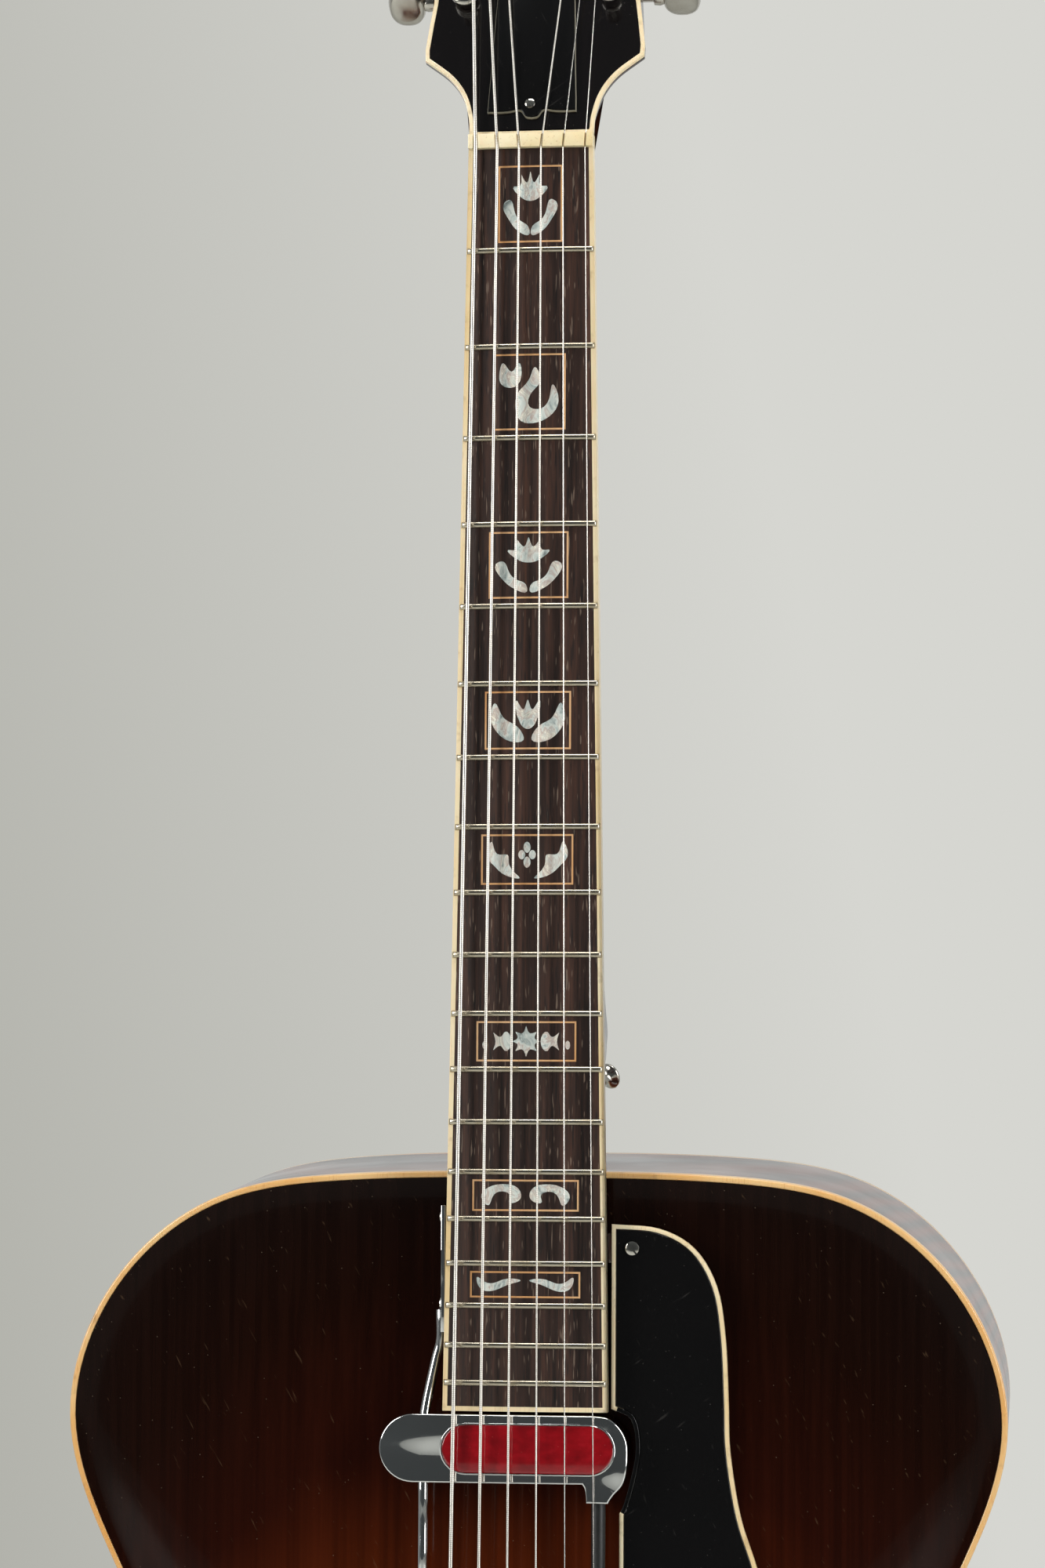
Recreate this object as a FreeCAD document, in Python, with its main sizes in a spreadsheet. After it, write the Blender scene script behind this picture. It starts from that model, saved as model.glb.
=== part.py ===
import FreeCAD, Part
import math
import os

import Sketcher

# An archtop acoustic guitar with a floating pickup.
# Millimetres. The origin is the middle of the nut's front edge on the crown of the fingerboard.
# +Z runs up the neck to the headstock, +X to the treble side, and the front faces -Y.

Vector = FreeCAD.Vector
Rotation = FreeCAD.Rotation
Placement = FreeCAD.Placement

DOC = FreeCAD.newDocument("archtop_guitar")
SHEET = DOC.addObject("Spreadsheet::Sheet", "sizes")

FLATNESS = 1e-6
PEG_SIDES = 10
STRING_SIDES = 6

SIZES = (
    # General clearances
    ("glue_line", 0.1),
    ("running_gap", 0.3),
    ("fit_gap", 0.05),
    ("overrun", 5.0),
    # Strings and scale
    ("scale_length", 628.65),
    ("string_spread_nut", 37.6),
    ("string_spread_bridge", 50.8),
    ("string_lift_nut", 1.4),
    ("string_lift_bridge", 6.0),
    ("string_size_low_e", 1.37),
    ("string_size_a", 1.07),
    ("string_size_d", 0.81),
    ("string_size_g", 0.61),
    ("string_size_b", 0.41),
    ("string_size_high_e", 0.30),
    ("string_bend_radius", 9.0),
    # Fingerboard, frets and nut
    ("board_thickness", 6.0),
    ("board_radius", 304.8),
    ("board_width_nut", 43.0),
    ("board_width_end", 55.5),
    ("board_length", 428.3),
    ("board_binding", 1.6),
    ("fret_width", 2.1),
    ("fret_crown_width", 0.9),
    ("fret_height", 1.0),
    ("fret_inset", 0.3),
    ("fret_end_gap", 6.0),
    ("nut_length", 5.0),
    ("nut_height", 2.4),
    ("nut_slot_gap", 0.15),
    # Inlays
    ("inlay_depth", 1.3),
    ("inlay_line", 1.0),
    ("inlay_frame_margin", 6.6),
    ("inlay_frame_end_gap", 6.0),
    # Neck
    ("neck_depth_nut", 21.5),
    ("neck_depth_joint", 25.5),
    ("heel_reach", 34.0),
    ("heel_length", 76.0),
    ("heel_belly", 20.0),
    ("heel_cap_width", 30.0),
    ("heel_top_width", 51.0),
    ("tenon_width", 28.0),
    ("tenon_length", 22.0),
    ("tenon_depth", 66.0),
    ("extension_depth_joint", 7.2),
    ("extension_depth_end", 5.0),
    ("extension_setback", 9.0),
    ("extension_side_gap", 0.6),
    # Truss rod
    ("rod_radius", 2.4),
    ("rod_channel_width", 6.0),
    ("rod_channel_depth", 9.0),
    ("rod_length", 392.0),
    ("rod_centre_depth", 12.0),
    ("rod_nut_flats", 8.0),
    ("rod_nut_length", 12.0),
    ("rod_nut_start", 11.0),
    ("rod_pocket_width", 13.0),
    ("rod_pocket_depth", 17.2),
    ("rod_pocket_length", 30.0),
    # Headstock
    ("head_angle", 15.0),
    ("head_drop", 3.0),
    ("head_thickness", 14.0),
    ("head_length", 172.0),
    ("head_width_corner", 75.2),
    ("head_width_top", 60.0),
    ("head_corner_height", 29.6),
    ("overlay_thickness", 1.5),
    ("head_binding", 1.6),
    ("cover_thickness", 1.8),
    ("cover_length", 42.0),
    ("cover_width", 31.0),
    ("cover_start", 6.0),
    # Tuners
    ("tuner_first", 56.0),
    ("tuner_pitch", 41.0),
    ("tuner_inset", 11.0),
    ("post_radius", 3.0),
    ("post_reach", 19.0),
    ("post_hole_radius", 3.3),
    ("washer_radius", 5.2),
    ("washer_thickness", 1.2),
    ("gear_radius", 5.0),
    ("gear_tooth_depth", 1.1),
    ("gear_thickness", 3.0),
    ("worm_radius", 2.4),
    ("worm_offset", 7.5),
    ("worm_length", 9.0),
    ("key_shaft_radius", 1.8),
    ("button_length", 13.2),
    ("button_height", 16.0),
    ("button_thickness", 7.6),
    ("button_gap", 5.8),
    ("button_bevel", 1.6),
    ("button_seat", 2.0),
    ("post_eye", 7.0),
    ("tuner_plate_width", 17.0),
    ("tuner_plate_height", 31.0),
    ("tuner_plate_thickness", 1.2),
    ("tuner_ear_thickness", 2.0),
    ("tuner_ear_radius", 3.4),
    # Body
    ("neck_tilt", 4.2),
    ("board_lift", 16.0),
    ("body_length", 533.0),
    ("upper_bout_width", 320.0),
    ("waist_width", 256.0),
    ("lower_bout_width", 432.0),
    ("body_depth", 85.7),
    ("rim_wall", 2.3),
    ("plate_edge", 5.0),
    ("top_arch", 18.0),
    ("back_arch", 16.0),
    ("plate_thickness", 5.4),
    ("body_binding", 2.2),
    ("lining_width", 6.0),
    ("lining_height", 14.0),
    ("outline_tolerance", 0.6),
    ("neck_block_width", 74.0),
    ("neck_block_length", 46.0),
    ("tail_block_width", 70.0),
    ("tail_block_length", 22.0),
    ("tone_bar_width", 6.5),
    ("tone_bar_height", 11.0),
    ("tone_bar_length", 300.0),
    ("tone_bar_spread", 46.0),
    ("sound_hole_length", 148.0),
    ("sound_hole_width", 30.0),
    ("sound_hole_offset", 82.0),
    ("sound_hole_drop", 6.0),
    ("sound_hole_stem", 8.0),
    # Bridge
    ("bridge_length", 146.0),
    ("bridge_depth", 13.0),
    ("bridge_base_height", 10.0),
    ("bridge_arch_span", 46.0),
    ("bridge_arch_rise", 3.5),
    ("bridge_tip_height", 4.0),
    ("bridge_flat_length", 96.0),
    ("stud_radius", 2.0),
    ("stud_spread", 74.0),
    ("stud_height", 9.5),
    ("stud_seat", 5.0),
    ("wheel_radius", 8.0),
    ("wheel_thickness", 2.6),
    ("wheel_lift", 3.0),
    ("saddle_length", 112.0),
    ("saddle_depth", 9.0),
    ("saddle_top_depth", 3.4),
    ("saddle_notch", 0.5),
    ("saddle_end_height", 6.0),
    ("saddle_drop", 3.0),
    # Tailpiece
    ("tail_bar_width", 92.0),
    ("tail_bar_height", 15.0),
    ("tail_bar_thickness", 4.0),
    ("tail_bar_distance", 116.0),
    ("tail_leg_width", 9.0),
    ("tail_leg_thickness", 2.6),
    ("tail_foot_width", 30.0),
    ("tail_hinge_radius", 2.6),
    ("tail_pin_radius", 1.4),
    ("tail_hinge_rise", 3.4),
    ("tail_strap_width", 34.0),
    ("tail_strap_thickness", 1.6),
    ("tail_strap_length", 62.0),
    ("end_pin_depth", 43.0),
    ("button_head_radius", 5.6),
    ("button_neck_radius", 3.0),
    ("button_height_total", 10.5),
    ("button_shank_radius", 2.2),
    ("button_shank_length", 18.0),
    ("heel_button_depth", 74.0),
    ("heel_button_out", 16.6),
    ("heel_button_up", 30.6),
    # Pickguard
    ("guard_thickness", 2.4),
    ("guard_binding", 1.5),
    ("guard_edge", 28.2),
    ("guard_drop", 17.3817),
    ("guard_margin", 1.0),
    ("guard_width", 57.0),
    ("guard_strap_width", 10.0),
    ("guard_strap_thickness", 1.6),
    ("guard_strap_rise", 20.0),
    ("guard_strap_foot", 30.0),
    ("guard_strap_slope", 26.0),
    ("guard_block_width", 10.0),
    ("guard_block_thickness", 3.0),
    ("guard_screw_drop", 8.0),
    ("guard_screw_out", 35.2),
    # Pickup
    ("pickup_length", 83.5),
    ("pickup_height", 22.7),
    ("pickup_thickness", 9.6),
    ("pickup_face", 1.6),
    ("pickup_gap", 1.0),
    ("pickup_centre", 7.0),
    ("window_centre", 1.2),
    ("window_length", 58.0),
    ("window_height", 16.2),
    ("window_depth", 1.4),
    ("window_lip", 0.4),
    ("coil_length", 50.0),
    ("coil_height", 12.0),
    ("pickup_wall", 1.3),
    ("spout_width", 12.0),
    ("spout_length", 6.2),
    ("pickup_rod_radius", 1.75),
    ("pickup_rod_out", 34.7),
    ("pickup_rod_depth", 5.2),
    ("pickup_rod_margin", 4.0),
    ("pickup_rod_clearance", 0.08),
    ("pickup_strip_rise", 28.3),
    ("pickup_strip_length", 40.0),
    ("pickup_strip_width", 6.0),
    ("pickup_strip_thickness", 1.6),
    ("pickup_travel", 60.0),
    ("lead_radius", 2.4),
    # Control box on the pickguard
    ("control_rise", 58.65),
    ("control_width", 58.0),
    ("control_height", 30.0),
    ("control_depth", 10.8),
    ("control_side", 19.0),
    ("control_wall", 1.2),
    ("gland_length", 5.0),
    ("jack_bore", 3.25),
    ("jack_radius", 4.0),
    ("jack_length", 22.0),
    ("knob_radius", 9.0),
    ("knob_height", 9.0),
    ("knob_out", 46.0),
    ("knob_shaft_radius", 3.0),
)

JOINT_FRET = 14
STRING_COUNT = 6
TEETH = 14
NECK_SIDES = 15
WHEEL_SIDES = 24
ROUND_STRIPS = 4
END_STEPS = 8
JACK_SIDES = 16

for row, (alias, amount) in enumerate(SIZES, start=1):
    SHEET.set(f"A{row}", alias.replace("_", " "))
    SHEET.set(f"B{row}", str(amount))
    SHEET.setAlias(f"B{row}", alias)
DOC.recompute()


class Amount:
    """A size worked out from the sheet: its value now, and the expression that keeps it."""

    def __init__(self, value, text):
        self.value = value
        self.text = text

    def __float__(self):
        return self.value

    def __add__(self, other):
        return Amount(self.value + float(other), f"({self.text} + {written(other)})")

    def __radd__(self, other):
        return Amount(float(other) + self.value, f"({written(other)} + {self.text})")

    def __sub__(self, other):
        return Amount(self.value - float(other), f"({self.text} - {written(other)})")

    def __rsub__(self, other):
        return Amount(float(other) - self.value, f"({written(other)} - {self.text})")

    def __mul__(self, other):
        return Amount(self.value * float(other), f"({self.text} * {written(other)})")

    def __rmul__(self, other):
        return self * other

    def __truediv__(self, other):
        return Amount(self.value / float(other), f"({self.text} / {written(other)})")

    def __neg__(self):
        return Amount(-self.value, f"(-1 * {self.text})")


def written(amount):
    """The text of an amount or of a plain number in an expression."""
    return amount.text if isinstance(amount, Amount) else repr(float(amount))


class Sizes:
    """Reads the sheet by alias."""

    def __getattr__(self, alias):
        return Amount(float(SHEET.get(alias)), f"sizes.{alias}")


size = Sizes()


def num(amount):
    return float(amount)


# Parts of the document


def bind(obj, prop, amount):
    """Give a property an amount, bound to the sheet."""
    obj.setExpression(prop, written(amount))


def stand(obj, at, rotation=None, group=None):
    """Stand an object at a point of its own frame, or of a group's frame."""
    local = Placement(Vector(*[num(part) for part in at]), rotation or Rotation())
    obj.Placement = group.multiply(local) if group else local
    if group is None:
        for axis, part in zip("xyz", at):
            if isinstance(part, Amount):
                bind(obj, f"Placement.Base.{axis}", part)
    return obj


def box(name, lengths, corner):
    """A box whose least corner is at a point."""
    made = DOC.addObject("Part::Box", name)
    for prop, amount in zip(("Length", "Width", "Height"), lengths):
        bind(made, prop, amount)
    return stand(made, corner)


def mid_box(name, lengths, centre):
    """A box about a centre."""
    return box(name, lengths, [c - l / 2 for c, l in zip(centre, lengths)])


UP = Rotation()
FORWARD = Rotation(Vector(1, 0, 0), 90)
BACKWARD = Rotation(Vector(1, 0, 0), -90)
RIGHTWARD = Rotation(Vector(0, 1, 0), 90)
LEFTWARD = Rotation(Vector(0, 1, 0), -90)
DOWNWARD = Rotation(Vector(1, 0, 0), 180)


def rod(name, radius, length, start, heading=UP):
    """A cylinder that starts at a point and runs along a heading."""
    made = DOC.addObject("Part::Cylinder", name)
    bind(made, "Radius", radius)
    bind(made, "Height", length)
    return stand(made, start, heading)


def feature(name, shape, group=None):
    """A piece whose shape is worked out with Part's own functions."""
    made = DOC.addObject("Part::Feature", name)
    made.Shape = shape
    if group:
        made.Placement = group.multiply(shape.Placement)
    return made


def cut(name, base, tool, group=None):
    made = DOC.addObject("Part::Cut", name)
    made.Base = base
    made.Tool = tool
    if group:
        made.Placement = group
    return made


def fuse(name, pieces, group=None):
    made = DOC.addObject("Part::MultiFuse", name)
    made.Shapes = pieces
    if group:
        made.Placement = group
    return made


def overlap(name, pieces, group=None):
    made = DOC.addObject("Part::MultiCommon", name)
    made.Shapes = pieces
    if group:
        made.Placement = group
    return made


def bundle(name, pieces, group=None):
    """Several solids kept apart in one node."""
    made = DOC.addObject("Part::Compound", name)
    made.Links = pieces
    if group:
        made.Placement = group
    return made


def origin_plane(body, role):
    return [plane for plane in body.Origin.OriginFeatures if plane.Role == role][0]


def sketch(body, name, role, loops=(), circles=(), lift=None):
    """A sketch of closed polygons and circles, each place bound to the sheet."""
    made = body.newObject("Sketcher::SketchObject", name)
    made.AttachmentSupport = [(origin_plane(body, role), "")]
    made.MapMode = "FlatFace"
    if lift is not None:
        bind(made, "AttachmentOffset.Base.z", lift)
    for loop in loops:
        first = made.GeometryCount
        corners = [Vector(num(across), num(along), 0) for across, along in loop]
        for index, corner in enumerate(corners):
            made.addGeometry(Part.LineSegment(corner, corners[(index + 1) % len(corners)]), False)
        for index, (across, along) in enumerate(loop):
            line = first + index
            after = first + (index + 1) % len(loop)
            made.addConstraint(Sketcher.Constraint("Coincident", line, 2, after, 1))
            hold(made, line, 1, across, along)
    for across, along, radius in circles:
        ring = made.addGeometry(Part.Circle(Vector(num(across), num(along), 0), Vector(0, 0, 1),
                                            num(radius)), False)
        hold(made, ring, 3, across, along)
        limit = made.addConstraint(Sketcher.Constraint("Radius", ring, num(radius)))
        bind(made, f"Constraints[{limit}]", radius)
    return made


def hold(made, geometry, point, across, along):
    """Tie a point of a sketch to its two distances from the sketch's origin."""
    for kind, axis, amount in (("DistanceX", -2, across), ("DistanceY", -1, along)):
        if num(amount) == 0:
            made.addConstraint(Sketcher.Constraint("PointOnObject", geometry, point, axis))
        else:
            tie = made.addConstraint(
                Sketcher.Constraint(kind, -1, 1, geometry, point, num(amount)))
            bind(made, f"Constraints[{tie}]", amount)


def padded(name, role, length, loops=(), circles=(), lift=None, both_ways=False, flip=False):
    """A body with one sketch padded square to its plane."""
    body = DOC.addObject("PartDesign::Body", name)
    profile = sketch(body, f"{name}_profile", role, loops, circles, lift)
    pad = body.newObject("PartDesign::Pad", f"{name}_pad")
    pad.Profile = profile
    pad.Midplane = both_ways
    pad.Reversed = flip
    bind(pad, "Length", length)
    return body


def polygon(points):
    """A closed wire of straight edges."""
    corners = [Vector(*[num(part) for part in point]) for point in points]
    return Part.makePolygon(corners + corners[:1])


def slab(points, along):
    """A solid: a flat polygon pushed along a vector."""
    return Part.Face(polygon(points)).extrude(Vector(*[num(part) for part in along]))


def skinned(rings):
    """A solid with flat faces between rings of points, one after another, and a face at each end."""
    faces = [Part.Face(Part.makePolygon(rings[0] + rings[0][:1])),
             Part.Face(Part.makePolygon(rings[-1] + rings[-1][:1]))]
    for lower, upper in zip(rings, rings[1:]):
        for index, first in enumerate(lower):
            after = (index + 1) % len(lower)
            loop = [first, lower[after], upper[after], upper[index]]
            square = (loop[1] - loop[0]).cross(loop[3] - loop[0])
            if abs(square.dot(loop[2] - loop[0])) < FLATNESS * square.Length:
                faces.append(Part.Face(Part.makePolygon(loop + loop[:1])))
            else:
                faces.append(Part.Face(Part.makePolygon([loop[0], loop[1], loop[2], loop[0]])))
                faces.append(Part.Face(Part.makePolygon([loop[0], loop[2], loop[3], loop[0]])))
    shell = Part.Shell(faces)
    shell.sewShape()
    solid = Part.Solid(shell)
    if solid.Volume < 0:
        solid.reverse()
    return solid


def many_sided(centre, along, radius, sides, bore=False):
    """The corners of an even-sided polygon about a centre; a bore's sides clear its radius."""
    along = Vector(along).normalize()
    side = along.cross(Vector(0, 1, 0) if abs(along.y) < 0.9 else Vector(0, 0, 1)).normalize()
    other = along.cross(side)
    reach = num(radius) / (math.cos(math.pi / sides) if bore else 1)
    turns = [2 * math.pi * (step + 0.5) / sides for step in range(sides)]
    return [centre + (side * math.cos(turn) + other * math.sin(turn)) * reach for turn in turns]


def peg(start, along, length, radius, sides=PEG_SIDES, bore=False):
    """A straight many-sided peg from a point, or the tool for its bore."""
    corners = many_sided(start, along, radius, sides, bore)
    return Part.Face(Part.makePolygon(corners + corners[:1])).extrude(Vector(along).normalize() * num(length))


def turned(start, along, profile, sides=16):
    """A turned piece with flat facets: its profile gives how far along, then the radius."""
    way = Vector(along).normalize()
    return skinned([many_sided(start + way * num(far), along, radius, sides) for far, radius in profile])


# Frames: the body tilts back from the neck at its joint, the headstock at the nut

TILT = math.radians(num(size.neck_tilt))
TILT_SINE, TILT_COSINE = math.sin(TILT), math.cos(TILT)


def fret_place(number):
    """How far a fret lies below the nut."""
    return size.scale_length * (1 - 2 ** (-number / 12))


JOINT = fret_place(JOINT_FRET)
# As many frets as the board is long enough for, twelve to each halving of the string
fretted_share = 1 - num(size.board_length - size.fret_end_gap) / num(size.scale_length)
FRET_COUNT = int(-12 * math.log2(fretted_share))
BODY = Placement(Vector(0, num(size.board_lift), -num(JOINT)),
                 Rotation(Vector(1, 0, 0), num(size.neck_tilt)))
HEAD_TILT = math.radians(num(size.head_angle))
HEAD = Placement(Vector(0, num(size.head_drop), num(size.nut_length)),
                 Rotation(Vector(1, 0, 0), -num(size.head_angle)))

# The saddle's crown in the body's frame: its depth, then its place below the joint
SADDLE_DEPTH = (-(num(size.string_lift_bridge) + num(size.board_lift))
                - (num(size.scale_length) - num(JOINT)) * TILT_SINE / TILT_COSINE) * TILT_COSINE
SADDLE_PLACE = (-(num(size.scale_length) - num(JOINT)) - SADDLE_DEPTH * TILT_SINE) / TILT_COSINE


def body_plane(place):
    """How deep the plane of the body's front edge lies at a distance below the nut."""
    return num(size.board_lift) + (place - num(JOINT)) * TILT_SINE / TILT_COSINE


# Body outline, in the body's frame with the top edge at zero

OUTLINE_SHARES = (
    ("upper_bout_width", 0.43, 0.003),
    ("upper_bout_width", 0.665, 0.016),
    ("upper_bout_width", 0.905, 0.073),
    ("upper_bout_width", 1.0, 0.158),
    ("upper_bout_width", 0.905, 0.252),
    ("waist_width", 1.0, 0.36),
    ("lower_bout_width", 0.78, 0.49),
    ("lower_bout_width", 1.0, 0.70),
    ("lower_bout_width", 0.93, 0.84),
    ("lower_bout_width", 0.60, 0.965),
)


UPPER_WIDEST_SHARE, LOWER_WIDEST_SHARE = 0.158, 0.70
FILL_START_SHARE, FILL_RATE_SHARE = 0.875, 1.6


def half_outline():
    """The treble half of the outline: points on a smooth curve and the way into the body."""
    half = [Vector(num(getattr(size, width)) / 2 * share, 0, -num(size.body_length) * down)
            for width, share, down in OUTLINE_SHARES]
    knots = [Vector()] + half + [Vector(0, 0, -num(size.body_length))]
    knots += [Vector(-knot.x, 0, knot.z) for knot in reversed(half)]
    curve = Part.BSplineCurve()
    curve.interpolate(Points=knots, PeriodicFlag=True)
    bottom = curve.parameter(Vector(0, 0, -num(size.body_length)))
    curve.segment(curve.FirstParameter, bottom)
    points = curve.discretize(Deflection=num(size.outline_tolerance))
    inward = []
    for point in points:
        along = curve.tangent(curve.parameter(point))[0]
        inward.append(Vector(along.z, 0, -along.x))
    inward[0], inward[-1] = Vector(0, 0, -1), Vector(0, 0, 1)
    points[0].x = points[-1].x = 0
    return points, inward


HALF_POINTS, HALF_INWARD = half_outline()


def waist_fill(point, share):
    """How much wider an inner ring is at the waist, so that the arch has no crease there."""
    down = -point.z / num(size.body_length)
    upper, lower = UPPER_WIDEST_SHARE, LOWER_WIDEST_SHARE
    if share >= FILL_START_SHARE or not upper < down < lower:
        return 0.0
    along = (down - upper) / (lower - upper)
    straight = num(size.upper_bout_width) / 2 * (1 - along) + num(size.lower_bout_width) / 2 * along
    return max(straight - abs(point.x), 0) * min((FILL_START_SHARE - share) * FILL_RATE_SHARE, 1)


def outline_ring(inset, depth, share=1.0):
    """Corners of the body's outline, drawn in by an inset and shrunk to a share about the bridge."""
    treble = [point + inward * num(inset) for point, inward in zip(HALF_POINTS, HALF_INWARD)]
    treble = [point + Vector(waist_fill(point, share), 0, 0) for point in treble]
    bass = [Vector(-point.x, 0, point.z) for point in reversed(treble[1:-1])]
    ring = [Vector(point.x * share, num(depth), SADDLE_PLACE + (point.z - SADDLE_PLACE) * share)
            for point in treble + bass]
    return ring


def body_outline(inset, depth):
    ring = outline_ring(inset, depth)
    return Part.makePolygon(ring + ring[:1])


def body_band(outer, inner, start, height):
    """A band that follows the outline between two insets."""
    whole = Part.Face(body_outline(outer, start)).extrude(Vector(0, num(height), 0))
    inside = Part.Face(body_outline(inner, num(start) - num(size.overrun)))
    return whole.cut(inside.extrude(Vector(0, num(height) + num(size.overrun) * 2, 0)))


# Carved plates: shares of the outline and of the arch, from the edge to the crown
ARCH_SHARES = ((1.0, 0.0), (0.955, -0.03), (0.875, 0.10), (0.72, 0.45), (0.50, 0.78), (0.24, 0.96))
HOLLOW_SHARES = ((0.885, 0.0), (0.72, 0.41), (0.50, 0.75), (0.24, 0.95))


def carved_plate(arch, clear=0.0, edge=None):
    """A plate's outer form, rising from its edge to the arch; its glued side is flat."""
    inset = size.body_binding + size.glue_line + clear
    thickness = size.plate_edge if edge is None else edge
    rings = [outline_ring(inset, thickness)]
    rings += [outline_ring(inset, -num(arch) * rise, share) for share, rise in ARCH_SHARES]
    return skinned(rings)


def plate_hollow(arch):
    """The hollow under a plate, which leaves its thickness at the crown."""
    deep = num(arch) + num(size.plate_edge) - num(size.plate_thickness)
    inset = size.body_binding + size.glue_line
    rings = [outline_ring(inset, size.plate_edge + size.overrun, HOLLOW_SHARES[0][0])]
    rings += [outline_ring(inset, num(size.plate_edge) - deep * rise, share)
              for share, rise in HOLLOW_SHARES]
    return skinned(rings)


# Sound hole: shares of its width and length, for the treble side; the bass side mirrors it
HOLE_EYES_SHARES = ((-0.27, 0.335, 0.165), (0.30, -0.335, 0.21))
HOLE_LINE_SHARES = ((-0.27, 0.385), (-0.10, 0.455), (0.13, 0.455), (0.29, 0.37), (0.25, 0.21), (0.0, 0.0),
                    (-0.25, -0.21), (-0.29, -0.37), (-0.13, -0.455), (0.10, -0.46), (0.30, -0.40))
HOLE_TIP_SHARE = 0.16
HOLE_STEPS = 13


def sound_hole(side):
    """The cutter of one sound hole, through the top in the body's frame."""
    length, width = num(size.sound_hole_length), num(size.sound_hole_width)
    middle = Vector(side * num(size.sound_hole_offset), 0, SADDLE_PLACE - num(size.sound_hole_drop))
    start = -num(size.top_arch) - num(size.overrun)
    reach = Vector(0, -start + num(size.plate_edge) + num(size.overrun), 0)
    line = Part.BSplineCurve()
    line.interpolate([Vector(middle.x + side * across * width, start, middle.z + up * length)
                      for across, up in HOLE_LINE_SHARES])
    left, right = [], []
    for step in range(HOLE_STEPS + 1):
        share = step / HOLE_STEPS
        place = line.FirstParameter + (line.LastParameter - line.FirstParameter) * share
        along = line.tangent(place)[0]
        swell = HOLE_TIP_SHARE + (1 - HOLE_TIP_SHARE) * math.sin(math.pi * share)
        out = Vector(along.z, 0, -along.x) * (num(size.sound_hole_stem) / 2 * swell)
        left.append(line.value(place) + out)
        right.append(line.value(place) - out)
    loop = left + right[::-1]
    cutter = Part.Face(Part.makePolygon(loop + loop[:1])).extrude(reach)
    for across, up, radius in HOLE_EYES_SHARES:
        centre = Vector(middle.x + side * across * width, start, middle.z + up * length)
        eye = Part.makeCylinder(radius * width, reach.y, centre, Vector(0, 1, 0))
        cutter = cutter.fuse(eye)
    return cutter


# The neck's tenon goes through the top's edge, the rim and the block


def tenon_slot(name, gap):
    """The mortise for the tenon, in the body's frame."""
    width = size.tenon_width + gap * 2
    return box(name, (width, size.tenon_depth + size.board_lift + gap, size.tenon_length + gap + size.overrun),
               (-width / 2, -size.board_lift, -size.tenon_length - gap))


MORTISE = tenon_slot("mortise", size.glue_line)

# The end pin's bore goes through the tailpiece's strap, the rim and the tail block
pin_start = Vector(0, num(size.end_pin_depth), -num(size.body_length) - num(size.overrun))
PIN_BORE = feature("end_pin_bore", peg(pin_start, Vector(0, 0, 1), size.button_shank_length + size.overrun,
                                       size.button_shank_radius + size.fit_gap, bore=True))

top_form = carved_plate(size.top_arch).cut(plate_hollow(size.top_arch))
for hole_side in (-1, 1):
    top_form = top_form.cut(sound_hole(hole_side))
top_blank = feature("top_blank", top_form)
cut("top_plate", top_blank, MORTISE, BODY)

back_form = carved_plate(size.back_arch).cut(plate_hollow(size.back_arch))
back_form.rotate(Vector(), Vector(0, 0, 1), 180)
back_form.translate(Vector(0, num(size.body_depth), 0))
feature("back_plate", back_form, BODY)

rim_blank = feature("rim_blank", body_band(0, size.rim_wall, size.plate_edge,
                                           size.body_depth - size.plate_edge * 2))
cut("rim", rim_blank, fuse("rim_openings", [MORTISE, PIN_BORE]), BODY)

front_binding = feature("front_binding", body_band(0, size.body_binding, 0, size.plate_edge))
front_binding_cut = cut("front_binding_cut", front_binding, MORTISE)
back_binding = feature("back_binding", body_band(0, size.body_binding, size.body_depth - size.plate_edge,
                                                 size.plate_edge))
bundle("body_bindings", [front_binding_cut, back_binding], BODY)

# Blocks fill the rim's inside at the neck and the tail
INSIDE = size.rim_wall + size.glue_line
block_start = size.plate_edge
block_depth = size.body_depth - size.plate_edge * 2


def inside_prism(name):
    ring = Part.Face(body_outline(INSIDE, block_start))
    return feature(name, ring.extrude(Vector(0, num(block_depth), 0)))


neck_block_room = box("neck_block_room", (size.neck_block_width, block_depth + size.overrun * 2,
                                          size.neck_block_length + size.overrun),
                      (-size.neck_block_width / 2, -size.overrun, -size.neck_block_length))
neck_block_blank = overlap("neck_block_blank", [inside_prism("neck_block_edge"), neck_block_room])
cut("neck_block", neck_block_blank, MORTISE, BODY)

tail_block_room = box("tail_block_room", (size.tail_block_width, block_depth + size.overrun * 2,
                                          size.tail_block_length + size.overrun),
                      (-size.tail_block_width / 2, -size.overrun, -size.body_length - size.overrun))
tail_block_blank = overlap("tail_block_blank", [inside_prism("tail_block_edge"), tail_block_room])
cut("tail_block", tail_block_blank, PIN_BORE, BODY)

# Linings run round the rim between the blocks
lining_gaps = [
    box("lining_gap_neck", (size.neck_block_width + size.glue_line * 2, size.body_depth,
                            size.neck_block_length + size.overrun),
        (-size.neck_block_width / 2 - size.glue_line, 0, -size.neck_block_length)),
    box("lining_gap_tail", (size.tail_block_width + size.glue_line * 2, size.body_depth,
                            size.tail_block_length + size.overrun),
        (-size.tail_block_width / 2 - size.glue_line, 0, -size.body_length - size.overrun)),
]
lining_ends = fuse("lining_ends", lining_gaps)
linings = []
for where, lining_start in (("front", size.plate_edge),
                            ("back", size.body_depth - size.plate_edge - size.lining_height)):
    band = body_band(INSIDE, INSIDE + size.lining_width, lining_start, size.lining_height)
    linings.append(cut(f"lining_{where}", feature(f"lining_{where}_band", band), lining_ends))
bundle("linings", linings, BODY)

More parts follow.
